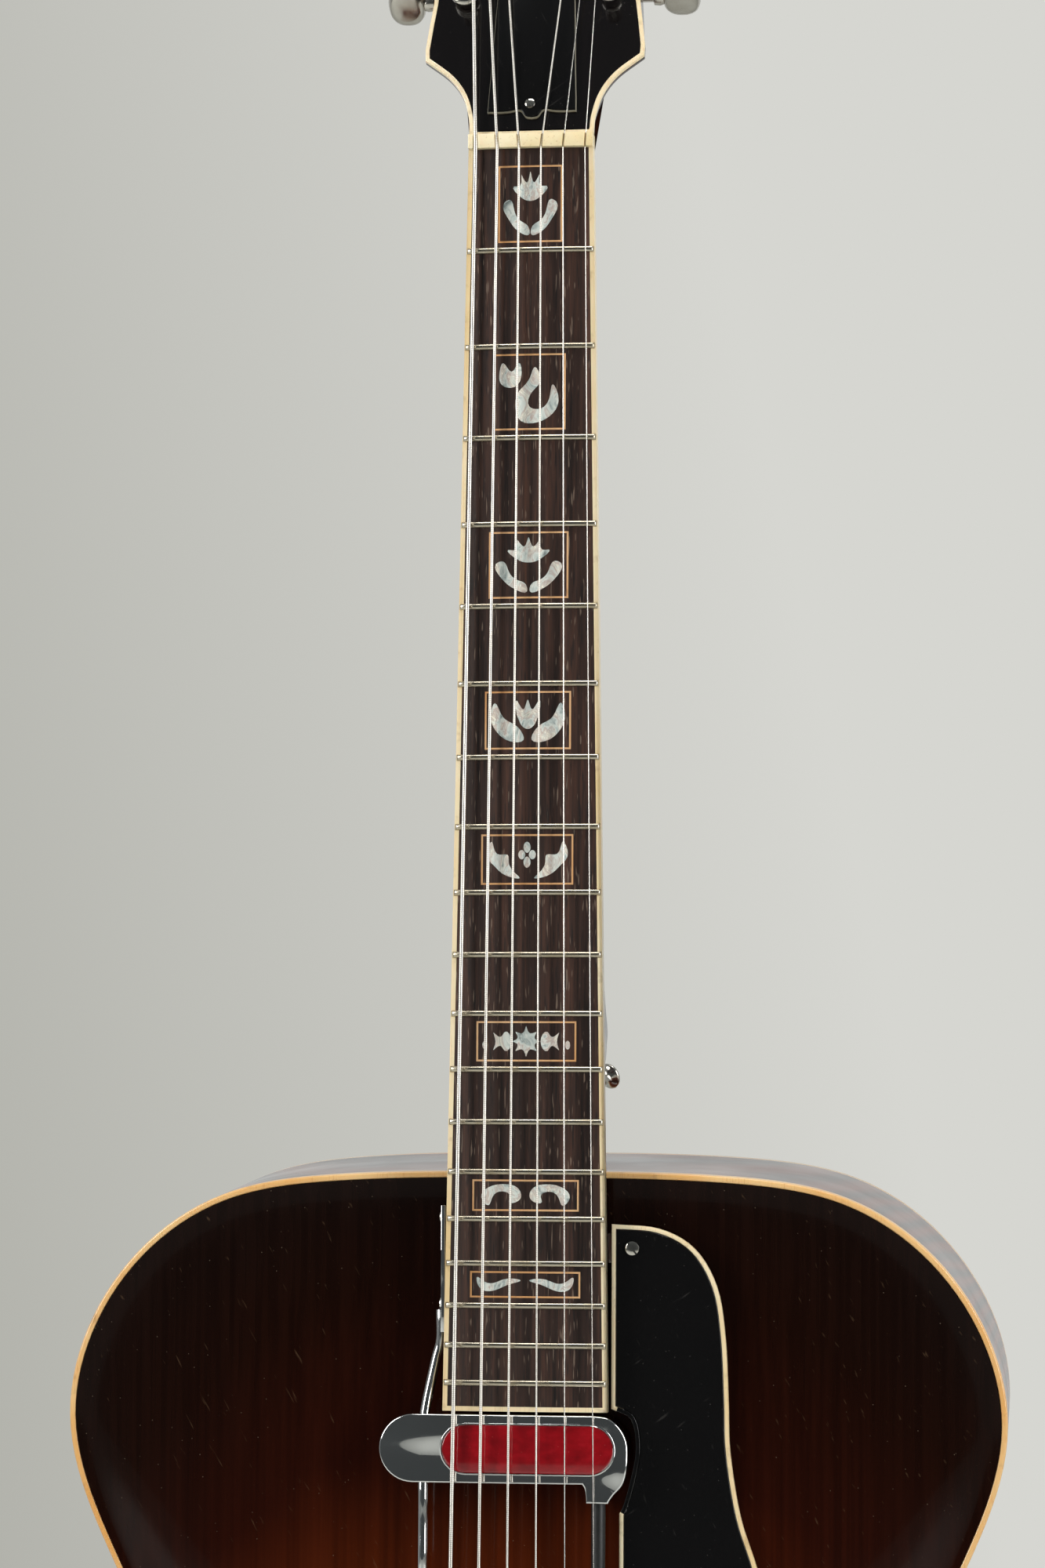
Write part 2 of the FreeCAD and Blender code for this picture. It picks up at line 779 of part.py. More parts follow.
# Two tone bars, shaped to the hollow of the top
tone_bars = []
for bar_side in (-1, 1):
    bar_room = slab(
        [(-size.tone_bar_width / 2, 0, -size.tone_bar_length / 2),
         (size.tone_bar_width / 2, 0, -size.tone_bar_length / 2),
         (size.tone_bar_width / 2, 0, size.tone_bar_length / 2),
         (-size.tone_bar_width / 2, 0, size.tone_bar_length / 2)],
        (0, size.plate_thickness + size.tone_bar_height, 0))
    bar_room.translate(Vector(bar_side * num(size.tone_bar_spread), -num(size.top_arch), SADDLE_PLACE))
    under = plate_hollow(size.top_arch)
    under.translate(Vector(0, num(size.glue_line), 0))
    tone_bars.append(feature(f"tone_bar_{'treble' if bar_side > 0 else 'bass'}", under.common(bar_room)))
bundle("tone_bars", tone_bars, BODY)


# Fingerboard


def board_half_width(place, inset=0.0):
    """Half of the fingerboard's width at a distance below the nut."""
    slope = (size.board_width_end - size.board_width_nut) / size.board_length / 2
    return size.board_width_nut / 2 + slope * place - inset


def round_drop(across):
    """How far the fingerboard's round falls away at a distance from the middle."""
    radius = num(size.board_radius)
    return radius - math.sqrt(radius ** 2 - across ** 2)


def board_wedge(name, inset, end, start=0.0):
    """The fingerboard's plan as a block, drawn in at its sides and at its end."""
    outline = [(board_half_width(start, inset), -start * 1.0), (board_half_width(end, inset), -end),
               (-board_half_width(end, inset), -end), (-board_half_width(start, inset), -start * 1.0)]
    return padded(name, "XZ_Plane", size.board_thickness + size.overrun,
                  [outline], lift=-size.board_thickness)


def round_edges():
    """Where the flat strips of the fingerboard's round meet, across it."""
    half = num(size.board_width_end) / 2 + num(size.overrun)
    return [half * (2 * step / ROUND_STRIPS - 1) for step in range(ROUND_STRIPS + 1)]


def strip_drop(across):
    """How far the flat strips fall away at a distance from the middle."""
    edges = round_edges()
    low = max(edge for edge in edges if edge <= across)
    high = min(edge for edge in edges if edge > across)
    share = (across - low) / (high - low)
    return round_drop(low) * (1 - share) + round_drop(high) * share


def board_cylinder(name, lift=0.0):
    """The long round that the fingerboard's face follows, in narrow flat strips."""
    radius, half = num(size.board_radius) + num(lift), num(size.board_width_end) / 2 + num(size.overrun)
    low = -num(size.board_length) - num(size.overrun)
    arc = [Vector(x, num(size.board_radius) - math.sqrt(radius ** 2 - x ** 2), low) for x in round_edges()]
    back = num(size.board_thickness) + num(size.overrun)
    loop = arc + [Vector(half, back, arc[0].z), Vector(-half, back, arc[0].z)]
    prism = Part.Face(Part.makePolygon(loop + loop[:1])).extrude(
        Vector(0, 0, num(size.board_length) + num(size.overrun) * 2 + num(size.nut_length)))
    return feature(name, prism)


# Shares of the frame that a motif fills: its parts, each a loop of across and up
LEAF_PAIR_SHARES = ((0.02, -0.38), (0.16, -0.30), (0.34, -0.06), (0.33, 0.12), (0.16, 0.02), (0.06, -0.18))
TULIP_SHARES = ((0.0, -0.02), (0.12, 0.10), (0.15, 0.38), (0.05, 0.24), (0.0, 0.40), (-0.05, 0.24),
                (-0.15, 0.38), (-0.12, 0.10))
SPREAD_LEAF_SHARES = ((0.02, -0.34), (0.22, -0.36), (0.40, -0.22), (0.42, 0.02), (0.30, -0.12), (0.12, -0.18))
SCROLL_SHARES = ((-0.30, -0.34), (0.02, -0.26), (0.26, 0.02), (0.28, 0.36), (0.10, 0.22), (-0.06, 0.02),
                 (-0.24, -0.06))
CURL_SHARES = ((-0.34, 0.10), (-0.16, 0.12), (-0.04, 0.30), (-0.18, 0.36), (-0.34, 0.28))
DIAMOND_SHARES = ((0.0, 0.10), (0.10, 0.24), (0.0, 0.38), (-0.10, 0.24))
ROSETTE_SHARES = ((0.0, 0.38), (0.10, 0.20), (0.27, 0.27), (0.20, 0.10), (0.38, 0.0), (0.20, -0.10), (0.27, -0.27),
                  (0.10, -0.20), (0.0, -0.38), (-0.10, -0.20), (-0.27, -0.27), (-0.20, -0.10), (-0.38, 0.0),
                  (-0.20, 0.10), (-0.27, 0.27), (-0.10, 0.20))
MOTIF_SHARES = {
    1: ((TULIP_SHARES, False), (LEAF_PAIR_SHARES, True)),
    3: ((SCROLL_SHARES, False), (CURL_SHARES, False)),
    5: ((TULIP_SHARES, False), (SPREAD_LEAF_SHARES, True)),
    7: ((DIAMOND_SHARES, False), (SPREAD_LEAF_SHARES, True)),
    9: ((DIAMOND_SHARES, False), (LEAF_PAIR_SHARES, True)),
    12: ((ROSETTE_SHARES, False),),
    15: ((SPREAD_LEAF_SHARES, True),),
    17: ((LEAF_PAIR_SHARES, True),),
}


def inlay_space(fret):
    """The room of one frame: its half width, its top and its bottom below the nut."""
    first = fret_place(fret - 1) if fret > 1 else size.glue_line
    top = first + size.inlay_frame_end_gap
    bottom = fret_place(fret) - size.inlay_frame_end_gap
    middle = (top + bottom) / 2
    return board_half_width(middle, size.inlay_frame_margin + size.board_binding), top, bottom


def inlay_shapes():
    """Frame lines and pearl, as prisms from the front down to the inlay's depth."""
    frames, pearl = [], []
    reach = (0, size.inlay_depth + size.board_thickness, 0)
    for fret, parts in MOTIF_SHARES.items():
        if fret > FRET_COUNT:
            continue
        half, top, bottom = inlay_space(fret)
        front = -size.board_thickness
        outer = slab([(-half, front, -top), (half, front, -top), (half, front, -bottom),
                      (-half, front, -bottom)], reach)
        line = size.inlay_line
        inner = slab([(line - half, front, -top - line), (half - line, front, -top - line),
                      (half - line, front, line - bottom), (line - half, front, line - bottom)], reach)
        frames.append(outer.cut(inner))
        middle = -num(top + bottom) / 2
        scale = min(num(half) * 2, num(bottom - top)) - num(line) * 2
        for loop, mirrored in parts:
            for side in ((1, -1) if mirrored else (1,)):
                points = [(side * across * scale, num(front), middle + up * scale) for across, up in loop]
                pearl.append(slab(points, reach))
    return frames, pearl


frame_prisms, pearl_prisms = inlay_shapes()
board_blank = overlap("board_blank", [board_wedge("board_plan", size.board_binding,
                                                  size.board_length - size.board_binding),
                                      board_cylinder("board_round")])
inlay_tool = feature("inlay_tool", Part.makeCompound(frame_prisms + pearl_prisms))
cut("fingerboard", board_blank, inlay_tool)
overlap("inlay_frames", [feature("frame_prisms", Part.makeCompound(frame_prisms)),
                         board_cylinder("frame_round")])
overlap("pearl_inlays", [feature("pearl_prisms", Part.makeCompound(pearl_prisms)),
                         board_cylinder("pearl_round")])
binding_blank = overlap("board_binding_blank", [board_wedge("board_edge_plan", 0.0, size.board_length),
                                                board_cylinder("board_edge_round")])
cut("fingerboard_binding", binding_blank,
    board_wedge("board_inside_plan", size.board_binding, size.board_length - size.board_binding))


# Frets follow the fingerboard's round and stop just inside its edges


def fret_crown(number):
    """One fret: its section follows the fingerboard's round in a few flat strips."""
    place = -num(fret_place(number))
    half, crown, rise = num(size.fret_width) / 2, num(size.fret_crown_width) / 2, num(size.fret_height)
    width = num(board_half_width(fret_place(number), size.fret_inset))
    rings = []
    for across in [-width] + [edge for edge in round_edges() if abs(edge) < width] + [width]:
        drop = strip_drop(across)
        rings.append([Vector(across, drop, place - half), Vector(across, drop, place + half),
                      Vector(across, drop - rise, place + crown), Vector(across, drop - rise, place - crown)])
    return skinned(rings)


feature("frets", Part.makeCompound([fret_crown(number) for number in range(1, FRET_COUNT + 1)]))


# Strings: their sizes, then their places at the nut and the saddle

STRING_SIZES = (size.string_size_low_e, size.string_size_a, size.string_size_d, size.string_size_g,
                size.string_size_b, size.string_size_high_e)


def string_across(index, spread):
    return num(spread) * (index / (STRING_COUNT - 1) - 1 / 2)


# Nut
nut_blank = overlap("nut_blank", [
    padded("nut_plan", "XZ_Plane", size.board_thickness + size.nut_height,
           [[(-size.board_width_nut / 2, 0.0), (size.board_width_nut / 2, 0.0),
             (size.board_width_nut / 2, size.nut_length), (-size.board_width_nut / 2, size.nut_length)]],
           lift=-size.board_thickness),
    board_cylinder("nut_round", size.nut_height)])


# Headstock: shares of its width and length up from the nut, in its own frame
HEAD_SHARES = (("nut", 1.0, 0.0), ("nut", 1.0, 0.03), ("nut", 1.16, 0.075), ("corner", 0.88, 0.125),
               ("corner", 0.985, 0.16), ("corner", 0.985, 0.19), ("corner", 0.945, 0.30),
               ("top", 1.03, 0.80), ("top", 1.0, 0.93), ("top", 0.90, 0.975), ("top", 0.45, 0.985),
               ("top", 0.0, 1.0))


def head_outline(inset, depth):
    """The headstock's outline in its own frame, drawn in by an inset."""
    widths = {"nut": num(size.board_width_nut), "corner": num(size.head_width_corner),
              "top": num(size.head_width_top)}
    length = num(size.head_length)
    right = [Vector(widths[name] / 2 * across, 0, length * up) for name, across, up in HEAD_SHARES]
    moved = []
    for index, point in enumerate(right):
        before = right[index - 1] if index else point - Vector(0, 0, 1)
        after = right[index + 1] if index + 1 < len(right) else Vector(-right[-2].x, 0, right[-2].z)
        first, last = (point - before).normalize(), (after - point).normalize()
        miter = Vector(-(first.z + last.z), 0, first.x + last.x).normalize()
        spread = max(miter.dot(Vector(-first.z, 0, first.x)), 0.5)
        moved.append(point + miter * (num(inset) / spread))
    moved[0].z = 0
    left = [Vector(-point.x, 0, point.z) for point in reversed(moved[:-1])]
    ring = [Vector(point.x, num(depth), point.z) for point in moved + left]
    return Part.makePolygon(ring + ring[:1])


def head_prism(inset, start, thickness):
    return Part.Face(head_outline(inset, start)).extrude(Vector(0, num(thickness), 0))


def tuner_places():
    """Each tuner's side, its post across and its post up the headstock, bass side first."""
    places = []
    for side in (-1, 1):
        for index in range(STRING_COUNT // 2):
            up = size.tuner_first + size.tuner_pitch * index
            low, high = num(size.head_corner_height), num(size.head_length)
            share = (num(up) - low) / (high - low)
            half = (size.head_width_corner * (1 - share) + size.head_width_top * share) / 2
            places.append((side, half - size.tuner_inset, up))
    return places


TUNERS = tuner_places()
overlay_front = -size.overlay_thickness

post_holes = [peg(Vector(num(across) * side, -num(size.overrun), num(up)), Vector(0, 1, 0),
                  size.head_thickness + size.overrun * 2, size.post_hole_radius, bore=True)
              for side, across, up in TUNERS]
head_holes = feature("head_holes", Part.makeCompound(post_holes))

# Pocket for the truss rod's nut, in the neck's frame, shared by the neck and the overlay
rod_pocket = box("rod_pocket", (size.rod_pocket_width, size.rod_pocket_depth + size.overrun,
                                size.rod_pocket_length),
                 (-size.rod_pocket_width / 2, -size.overrun, size.nut_length))


# Neck


def neck_section(place, depth):
    """The neck's round back under the flat that carries the fingerboard."""
    half = num(board_half_width(place))
    flat = num(size.board_thickness)
    left, right = Vector(-half, flat, -num(place)), Vector(half, flat, -num(place))
    back = Part.Arc(left, Vector(0, num(depth), -num(place)), right)
    return back.toShape().discretize(Number=NECK_SIDES)


shaft_end = JOINT - size.heel_length
shaft = feature("neck_shaft", skinned([neck_section(-size.nut_length * 2, size.neck_depth_nut),
                                       neck_section(shaft_end, size.neck_depth_joint)]))

heel_back = size.board_lift + size.body_depth + size.overrun


def heel_form():
    """The heel: its side view and its end view, each pushed through the other."""
    top = num(size.board_thickness)
    joint = num(JOINT)
    back = num(size.body_depth) + num(size.board_lift)
    start = joint - num(size.heel_length)
    cap = joint - num(size.heel_reach)
    belly = num(size.neck_depth_joint) + num(size.heel_belly)
    far = joint + num(size.overrun) * 2
    curve = Part.Arc(Vector(0, num(size.neck_depth_joint), -start),
                     Vector(0, belly, -(start + (cap - start) * 0.72)),
                     Vector(0, back, -cap)).toShape().discretize(Number=NECK_SIDES)
    corners = curve + [Vector(0, back, -far), Vector(0, top, -far), Vector(0, top, -start)]
    side = Part.Face(Part.makePolygon(corners + corners[:1]))
    width = num(size.heel_top_width)
    side.translate(Vector(-width, 0, 0))
    side = side.extrude(Vector(width * 2, 0, 0))
    half, cap_half = width / 2, num(size.heel_cap_width) / 2
    shoulder = num(size.neck_depth_joint) * 0.6
    ends = [Vector(-half, top, 0), Vector(-half, shoulder, 0), Vector(-cap_half, back, 0),
            Vector(cap_half, back, 0), Vector(half, shoulder, 0), Vector(half, top, 0)]
    middle = (shoulder + back) / 2
    bow = (half + cap_half) / 2 * 0.86
    edge = Part.Arc(ends[1], Vector(-bow, middle, 0), ends[2]).toShape().discretize(Number=NECK_SIDES // 2)
    loop = [ends[0]] + edge + [Vector(-point.x, point.y, 0) for point in reversed(edge)] + [ends[5]]
    end = Part.Face(Part.makePolygon(loop + loop[:1]))
    end.translate(Vector(0, 0, -far))
    return side.common(end.extrude(Vector(0, 0, far)))


def below_joint(start, reach):
    """The space below the plane where the neck meets the rim, in the neck's frame."""
    room = Part.makeBox(num(size.neck_block_width), reach, num(size.body_length),
                        Vector(-num(size.neck_block_width) / 2, start, -num(size.body_length)))
    room.Placement = BODY
    return room


past_back = num(size.body_depth) + num(size.board_lift) + num(size.overrun)
heel_shape = heel_form().cut(below_joint(-num(size.board_lift) * 2, past_back * 2))
heel_cap_room = Part.makeBox(num(size.neck_block_width), num(size.overrun) * 2, num(size.body_length),
                             Vector(-num(size.neck_block_width) / 2, num(size.body_depth),
                                    -num(size.heel_reach) * 2))
heel_cap_room.Placement = BODY
heel_shape = heel_shape.cut(heel_cap_room)
heel = feature("heel", heel_shape)

tenon = box("tenon", (size.tenon_width, size.tenon_depth, size.tenon_length + size.overrun),
            (-size.tenon_width / 2, 0.0, -size.tenon_length))
tenon_set = bundle("tenon_set", [tenon], BODY)

extension = overlap("extension", [
    padded("extension_side", "YZ_Plane", size.board_width_end,
           [[(size.board_thickness, size.overrun - JOINT), (size.board_thickness, size.extension_setback - size.board_length),
             (size.board_thickness + size.extension_depth_end, size.extension_setback - size.board_length),
             (size.board_thickness + size.extension_depth_joint, -JOINT),
             (size.board_thickness + size.extension_depth_joint, size.overrun - JOINT)]], both_ways=True),
    padded("extension_plan", "XZ_Plane", size.board_thickness * 3,
           [[(board_half_width(JOINT - size.overrun, size.extension_side_gap), size.overrun - JOINT),
             (board_half_width(size.board_length, size.extension_side_gap), -size.board_length),
             (-board_half_width(size.board_length, size.extension_side_gap), -size.board_length),
             (-board_half_width(JOINT - size.overrun, size.extension_side_gap), size.overrun - JOINT)]],
           lift=-size.board_thickness * 3)])

head_blank = feature("head_blank", head_prism(0.0, 0.0, size.head_thickness))
head_bored = cut("head_bored", head_blank, head_holes, HEAD)
head_face = Part.makeBox(num(size.head_width_corner), num(size.board_thickness) * 2, num(size.head_length),
                         Vector(-num(size.head_width_corner) / 2, -num(size.board_thickness) * 2, 0))
head_face.Placement = HEAD
shaft_trim = feature("shaft_trim", head_face)
shaft_cut = cut("neck_shaft_cut", shaft, shaft_trim)
rod_channel = box("rod_channel", (size.rod_channel_width, size.rod_channel_depth + size.overrun,
                                  size.rod_length + size.overrun),
                  (-size.rod_channel_width / 2, size.board_thickness - size.overrun, -size.rod_length + size.nut_length))
HEEL_SEAT = Vector(num(size.heel_button_out), num(size.heel_button_depth), num(size.heel_button_up) - num(JOINT))
heel_bore = feature("heel_bore", peg(HEEL_SEAT + Vector(num(size.overrun), 0, 0), Vector(-1, 0, 0),
                                     size.button_shank_length + size.overrun + size.fit_gap,
                                     size.button_shank_radius + size.fit_gap, bore=True))
nut_seat = box("nut_seat", (size.board_width_nut + size.overrun * 2, size.board_thickness + size.overrun,
                            size.nut_length),
               (-size.board_width_nut / 2 - size.overrun, -size.overrun, 0.0))
neck_tools = fuse("neck_tools", [rod_channel, rod_pocket, heel_bore, nut_seat])
neck_blank = shaft_cut
for joined in (heel, tenon_set, extension, head_bored):
    step_joined = DOC.addObject("Part::Fuse", f"neck_with_{joined.Name}")
    step_joined.Base = neck_blank
    step_joined.Tool = joined
    neck_blank = step_joined
cut("neck", neck_blank, neck_tools)

# Truss rod in its channel, with a hexagonal nut in the headstock's pocket
rod_start = Vector(0, num(size.rod_centre_depth), num(size.nut_length) * 2 - num(size.rod_length))
feature("truss_rod", peg(rod_start, Vector(0, 0, 1), size.rod_length - size.nut_length * 2 + size.rod_nut_start
                         + size.rod_nut_length * 0.9, size.rod_radius))
hexagon = [(size.rod_nut_flats / math.sqrt(3) * math.cos(math.radians(60 * side)),
            size.rod_centre_depth + size.rod_nut_flats / math.sqrt(3) * math.sin(math.radians(60 * side)))
           for side in range(6)]
rod_nut = padded("rod_nut_blank", "XY_Plane", size.rod_nut_length, [hexagon], lift=size.rod_nut_start)
cut("truss_rod_nut", rod_nut, feature("rod_nut_bore", peg(
    Vector(0, num(size.rod_centre_depth), num(size.rod_nut_start) - num(size.overrun)), Vector(0, 0, 1),
    size.rod_nut_length + size.overrun * 2, size.rod_radius + size.fit_gap, bore=True)))

# Overlay, its binding and the cover over the truss rod's nut
pocket_room = Part.makeBox(num(size.rod_pocket_width), num(size.rod_pocket_depth) + num(size.overrun),
                           num(size.rod_pocket_length),
                           Vector(-num(size.rod_pocket_width) / 2, -num(size.overrun), num(size.nut_length)))
pocket_room.Placement = HEAD.inverse()
overlay_tools = Part.makeCompound(post_holes)
overlay_form = head_prism(size.head_binding, overlay_front, size.overlay_thickness)
feature("headstock_overlay", overlay_form.cut(pocket_room).cut(overlay_tools), HEAD)
edge_form = head_prism(0.0, overlay_front, size.overlay_thickness)
feature("headstock_binding", edge_form.cut(head_prism(size.head_binding, overlay_front - size.overrun,
                                                      size.overrun * 2)), HEAD)

COVER_SHARES = ((0.0, 0.0), (0.55, 0.075), (0.93, 0.045), (1.0, 0.12), (0.78, 0.24), (0.56, 0.40), (0.50, 0.62),
                (0.46, 0.82), (0.26, 0.96), (0.0, 1.0))


def cover_form():
    right = [Vector(num(size.cover_width) / 2 * across, num(overlay_front), num(size.cover_start)
                    + num(size.cover_length) * up) for across, up in COVER_SHARES]
    loop = right + [Vector(-point.x, point.y, point.z) for point in reversed(right[1:-1])]
    return Part.Face(Part.makePolygon(loop + loop[:1])).extrude(Vector(0, -num(size.cover_thickness), 0))


feature("truss_rod_cover", cover_form(), HEAD)

# Tuners: a plate with two ears, a worm shaft with a button, and a geared string post
HEAD_BACK = size.head_thickness
gear_middle = HEAD_BACK + size.tuner_plate_thickness + size.worm_radius + size.running_gap
gear_start = gear_middle - size.gear_thickness / 2
PLATE_BELOW_SHARE = 0.45
plates, bushings = [], []
for number, (side, across, up) in enumerate(TUNERS, start=1):
    post_across = across * side
    worm_up = up + size.worm_offset
    low = up - size.tuner_plate_height * PLATE_BELOW_SHARE
    high = low + size.tuner_plate_height
    plate = padded(f"tuner_plate_blank_{number}", "XZ_Plane", size.tuner_plate_thickness,
                   [[(post_across - size.tuner_plate_width / 2, low), (post_across + size.tuner_plate_width / 2, low),
                     (post_across + size.tuner_plate_width / 2, high),
                     (post_across - size.tuner_plate_width / 2, high)]],
                   lift=-HEAD_BACK - size.tuner_plate_thickness)
    ears = []
    for ear in (-1, 1):
        middle = post_across + (size.worm_length / 2 + size.tuner_ear_thickness / 2 + size.fit_gap) * ear
        ears.append(mid_box(f"tuner_ear_{number}_{'a' if ear < 0 else 'b'}",
                            (size.tuner_ear_thickness, gear_middle - HEAD_BACK + size.tuner_ear_radius,
                             size.tuner_ear_radius * 2),
                            (middle, (gear_middle + HEAD_BACK + size.tuner_ear_radius) / 2, worm_up)))
    bores = Part.makeCompound([
        peg(Vector(num(post_across), 0, num(up)), Vector(0, 1, 0), HEAD_BACK * 2,
            size.post_radius + size.fit_gap, bore=True),
        peg(Vector(num(post_across - size.tuner_plate_width), num(gear_middle), num(worm_up)), Vector(1, 0, 0),
            size.tuner_plate_width * 2, size.key_shaft_radius + size.fit_gap, bore=True)])
    plates.append(cut(f"tuner_plate_{number}", fuse(f"tuner_frame_{number}", [plate] + ears),
                      feature(f"tuner_bores_{number}", bores)))
    seat = Vector(num(post_across), num(overlay_front), num(up))
    washer = turned(seat, Vector(0, -1, 0), ((0, size.washer_radius), (size.washer_thickness, size.washer_radius * 0.85)))
    bushings.append(washer.cut(peg(seat + Vector(0, num(size.overrun), 0), Vector(0, -1, 0), size.overrun * 2,
                                   size.post_radius + size.fit_gap, bore=True)))
bundle("tuner_plates", plates, HEAD)
feature("tuner_bushings", Part.makeCompound(bushings), HEAD)


def gear_points(centre_across, centre_up):
    """A toothed wheel's outline: a crest and a root for each tooth."""
    points = []
    for tooth in range(TEETH):
        for radius, step in ((size.gear_radius, 0.25), (size.gear_radius - size.gear_tooth_depth, 0.75)):
            angle = 2 * math.pi * (tooth + step) / TEETH
            points.append((num(centre_across) + num(radius) * math.cos(angle),
                           num(centre_up) + num(radius) * math.sin(angle)))
    return points


# The oval button: shares of its half length and half height, a quarter at a time
BUTTON_SHARES = ((1.0, 0.0), (0.97, 0.38), (0.86, 0.72), (0.55, 0.94))
BUTTON_EDGE_SHARE = 0.84
# How far each button stands turned at rest, in degrees
BUTTON_TURNS = (52, 16, 70, 84, 30, 58)


def button_form(centre):
    """A tuner's oval button about a centre, with a bevel round both faces."""
    quarter = list(BUTTON_SHARES)
    upper = quarter + [(-across, up) for across, up in reversed(quarter)]
    loop = upper + [(-across, -up) for across, up in upper[1:-1]]
    half_long, half_high = num(size.button_length) / 2, num(size.button_height) / 2
    half_thick, bevel = num(size.button_thickness) / 2, num(size.button_bevel)
    rings = []
    for rise, share in ((-half_thick, BUTTON_EDGE_SHARE), (bevel - half_thick, 1), (half_thick - bevel, 1),
                        (half_thick, BUTTON_EDGE_SHARE)):
        rings.append([centre + Vector(across * half_long * share, up * half_high * share, rise)
                      for across, up in loop])
    return skinned(rings)


for number, (side, across, up) in enumerate(TUNERS, start=1):
    post_across = num(across) * side
    worm_up = num(up + size.worm_offset)
    wheel_points = [Vector(x, num(gear_start), z) for x, z in gear_points(post_across, up)]
    wheel = Part.Face(Part.makePolygon(wheel_points + wheel_points[:1])).extrude(
        Vector(0, num(size.gear_thickness), 0))
    head = Vector(post_across, -num(size.post_reach + size.overlay_thickness), num(up))
    post = peg(head, Vector(0, 1, 0), size.post_reach + size.overlay_thickness + gear_start + size.gear_thickness,
               size.post_radius)
    eye = num(size.string_size_low_e) + num(size.nut_slot_gap)
    hole = Part.makeBox(eye, eye, num(size.post_radius) * 4,
                        head + Vector(-eye / 2, num(size.post_eye), -num(size.post_radius) * 2))
    feature(f"tuner_post_{number}", post.fuse(wheel).cut(hole), HEAD)
    button_out = num(across) + num(size.tuner_inset) + num(size.button_gap)
    out = Vector(side, 0, 0)
    middle = Vector(post_across, num(gear_middle), worm_up)
    inner = num(size.worm_length) / 2 + num(size.tuner_ear_thickness) + num(size.fit_gap)
    worm = peg(middle - out * (num(size.worm_length) / 2), out, size.worm_length, size.worm_radius)
    key_shaft = peg(middle - out * inner, out, button_out + num(size.button_seat) - num(across) + inner,
                    size.key_shaft_radius)
    button_middle = Vector(side * (button_out + num(size.button_length) / 2), middle.y, worm_up)
    button = button_form(button_middle)
    button.rotate(button_middle, Vector(1, 0, 0), BUTTON_TURNS[number - 1])
    feature(f"tuner_key_{number}", worm.fuse([key_shaft, button]), HEAD)


# Strings


def string_tube(points, radius, bend):
    """A tight string: straight runs with small tangent bends at the nut and the saddle."""
    runs, start = [], points[0]
    for before, corner, after in zip(points, points[1:], points[2:]):
        into, out = (corner - before).normalize(), (after - corner).normalize()
        turn = into.getAngle(out)
        if turn < 0.002:
            continue
        back = bend * math.tan(turn / 2)
        first, last = corner - into * back, corner + out * back
        inside = (out - into).normalize()
        centre = corner + inside * (bend / math.cos(turn / 2))
        runs.append(Part.LineSegment(start, first).toShape())
        runs.append(Part.Arc(first, centre - inside * bend, last).toShape())
        start = last
    runs.append(Part.LineSegment(start, points[-1]).toShape())
    path = Part.Wire(runs)
    along = (points[1] - points[0]).normalize()
    ring = many_sided(points[0], along, radius, STRING_SIDES)
    tube = Part.Face(Part.makePolygon(ring + ring[:1]))
    return path.makePipe(tube)


HINGE_LOCAL = Vector(0, -num(size.tail_hinge_rise), -num(size.body_length) - num(size.tail_strap_thickness))
HINGE = BODY.multVec(HINGE_LOCAL)
saddle_point = Vector(0, -num(size.string_lift_bridge), -num(size.scale_length))
tail_way = (HINGE - saddle_point).normalize()
TAIL_TILT = math.degrees(math.atan2(tail_way.y, -tail_way.z))
TAIL = Placement(HINGE, Rotation(Vector(1, 0, 0), TAIL_TILT))
TAIL_REACH = (HINGE - saddle_point).Length - num(size.tail_bar_distance)


def string_points(index):
    """A string's way: post, nut, saddle and tailpiece, along its middle."""
    radius = num(STRING_SIZES[index]) / 2
    nut_across = string_across(index, size.string_spread_nut)
    bridge_across = string_across(index, size.string_spread_bridge)
    at_nut = Vector(nut_across, round_drop(nut_across) - num(size.string_lift_nut) - radius, 0)
    at_saddle = Vector(bridge_across, round_drop(bridge_across) - num(size.string_lift_bridge) - radius,
                       -num(size.scale_length))
    bass = index < STRING_COUNT // 2
    place = index if bass else STRING_COUNT // 2 + (STRING_COUNT - 1 - index)
    side, across, up = TUNERS[place]
    post = HEAD.multVec(Vector(side * (num(across) - num(size.post_radius) - radius - num(size.running_gap)),
                               -num(size.overlay_thickness) - num(size.post_reach) * 0.45, num(up)))
    bar = TAIL.multVec(Vector(bridge_across, 0, TAIL_REACH + num(size.tail_bar_height) / 2))
    return [post, at_nut, at_saddle, bar]


def string_groove(index, corner, toward, reach, gap):
    """The room of a string from one of its corners towards a point, open to the front."""
    radius = num(STRING_SIZES[index]) / 2
    half = radius + num(gap)
    way = (toward - corner) * (num(reach) / abs(toward.z - corner.z))
    front, floor = corner.y - num(size.overrun), corner.y + half
    return slab([(corner.x - half, front, corner.z), (corner.x + half, front, corner.z),
                 (corner.x + half, floor, corner.z), (corner.x - half, floor, corner.z)], way)


nut_grooves = []
for string in range(STRING_COUNT):
    post, at_nut, at_saddle, bar = string_points(string)
    nut_grooves.append(string_groove(string, at_nut, post, size.nut_length + size.overrun, size.nut_slot_gap))
cut("nut", nut_blank, feature("nut_grooves", Part.makeCompound(nut_grooves)))

strings = [string_tube(string_points(index), num(STRING_SIZES[index]) / 2, num(size.string_bend_radius))
           for index in range(STRING_COUNT)]
feature("wound_strings", Part.makeCompound(strings[:4]))
feature("plain_strings", Part.makeCompound(strings[4:]))


# Bridge, in the body's frame
bridge_top = SADDLE_DEPTH
crown_depth = -num(size.top_arch) * ARCH_SHARES[-1][1]


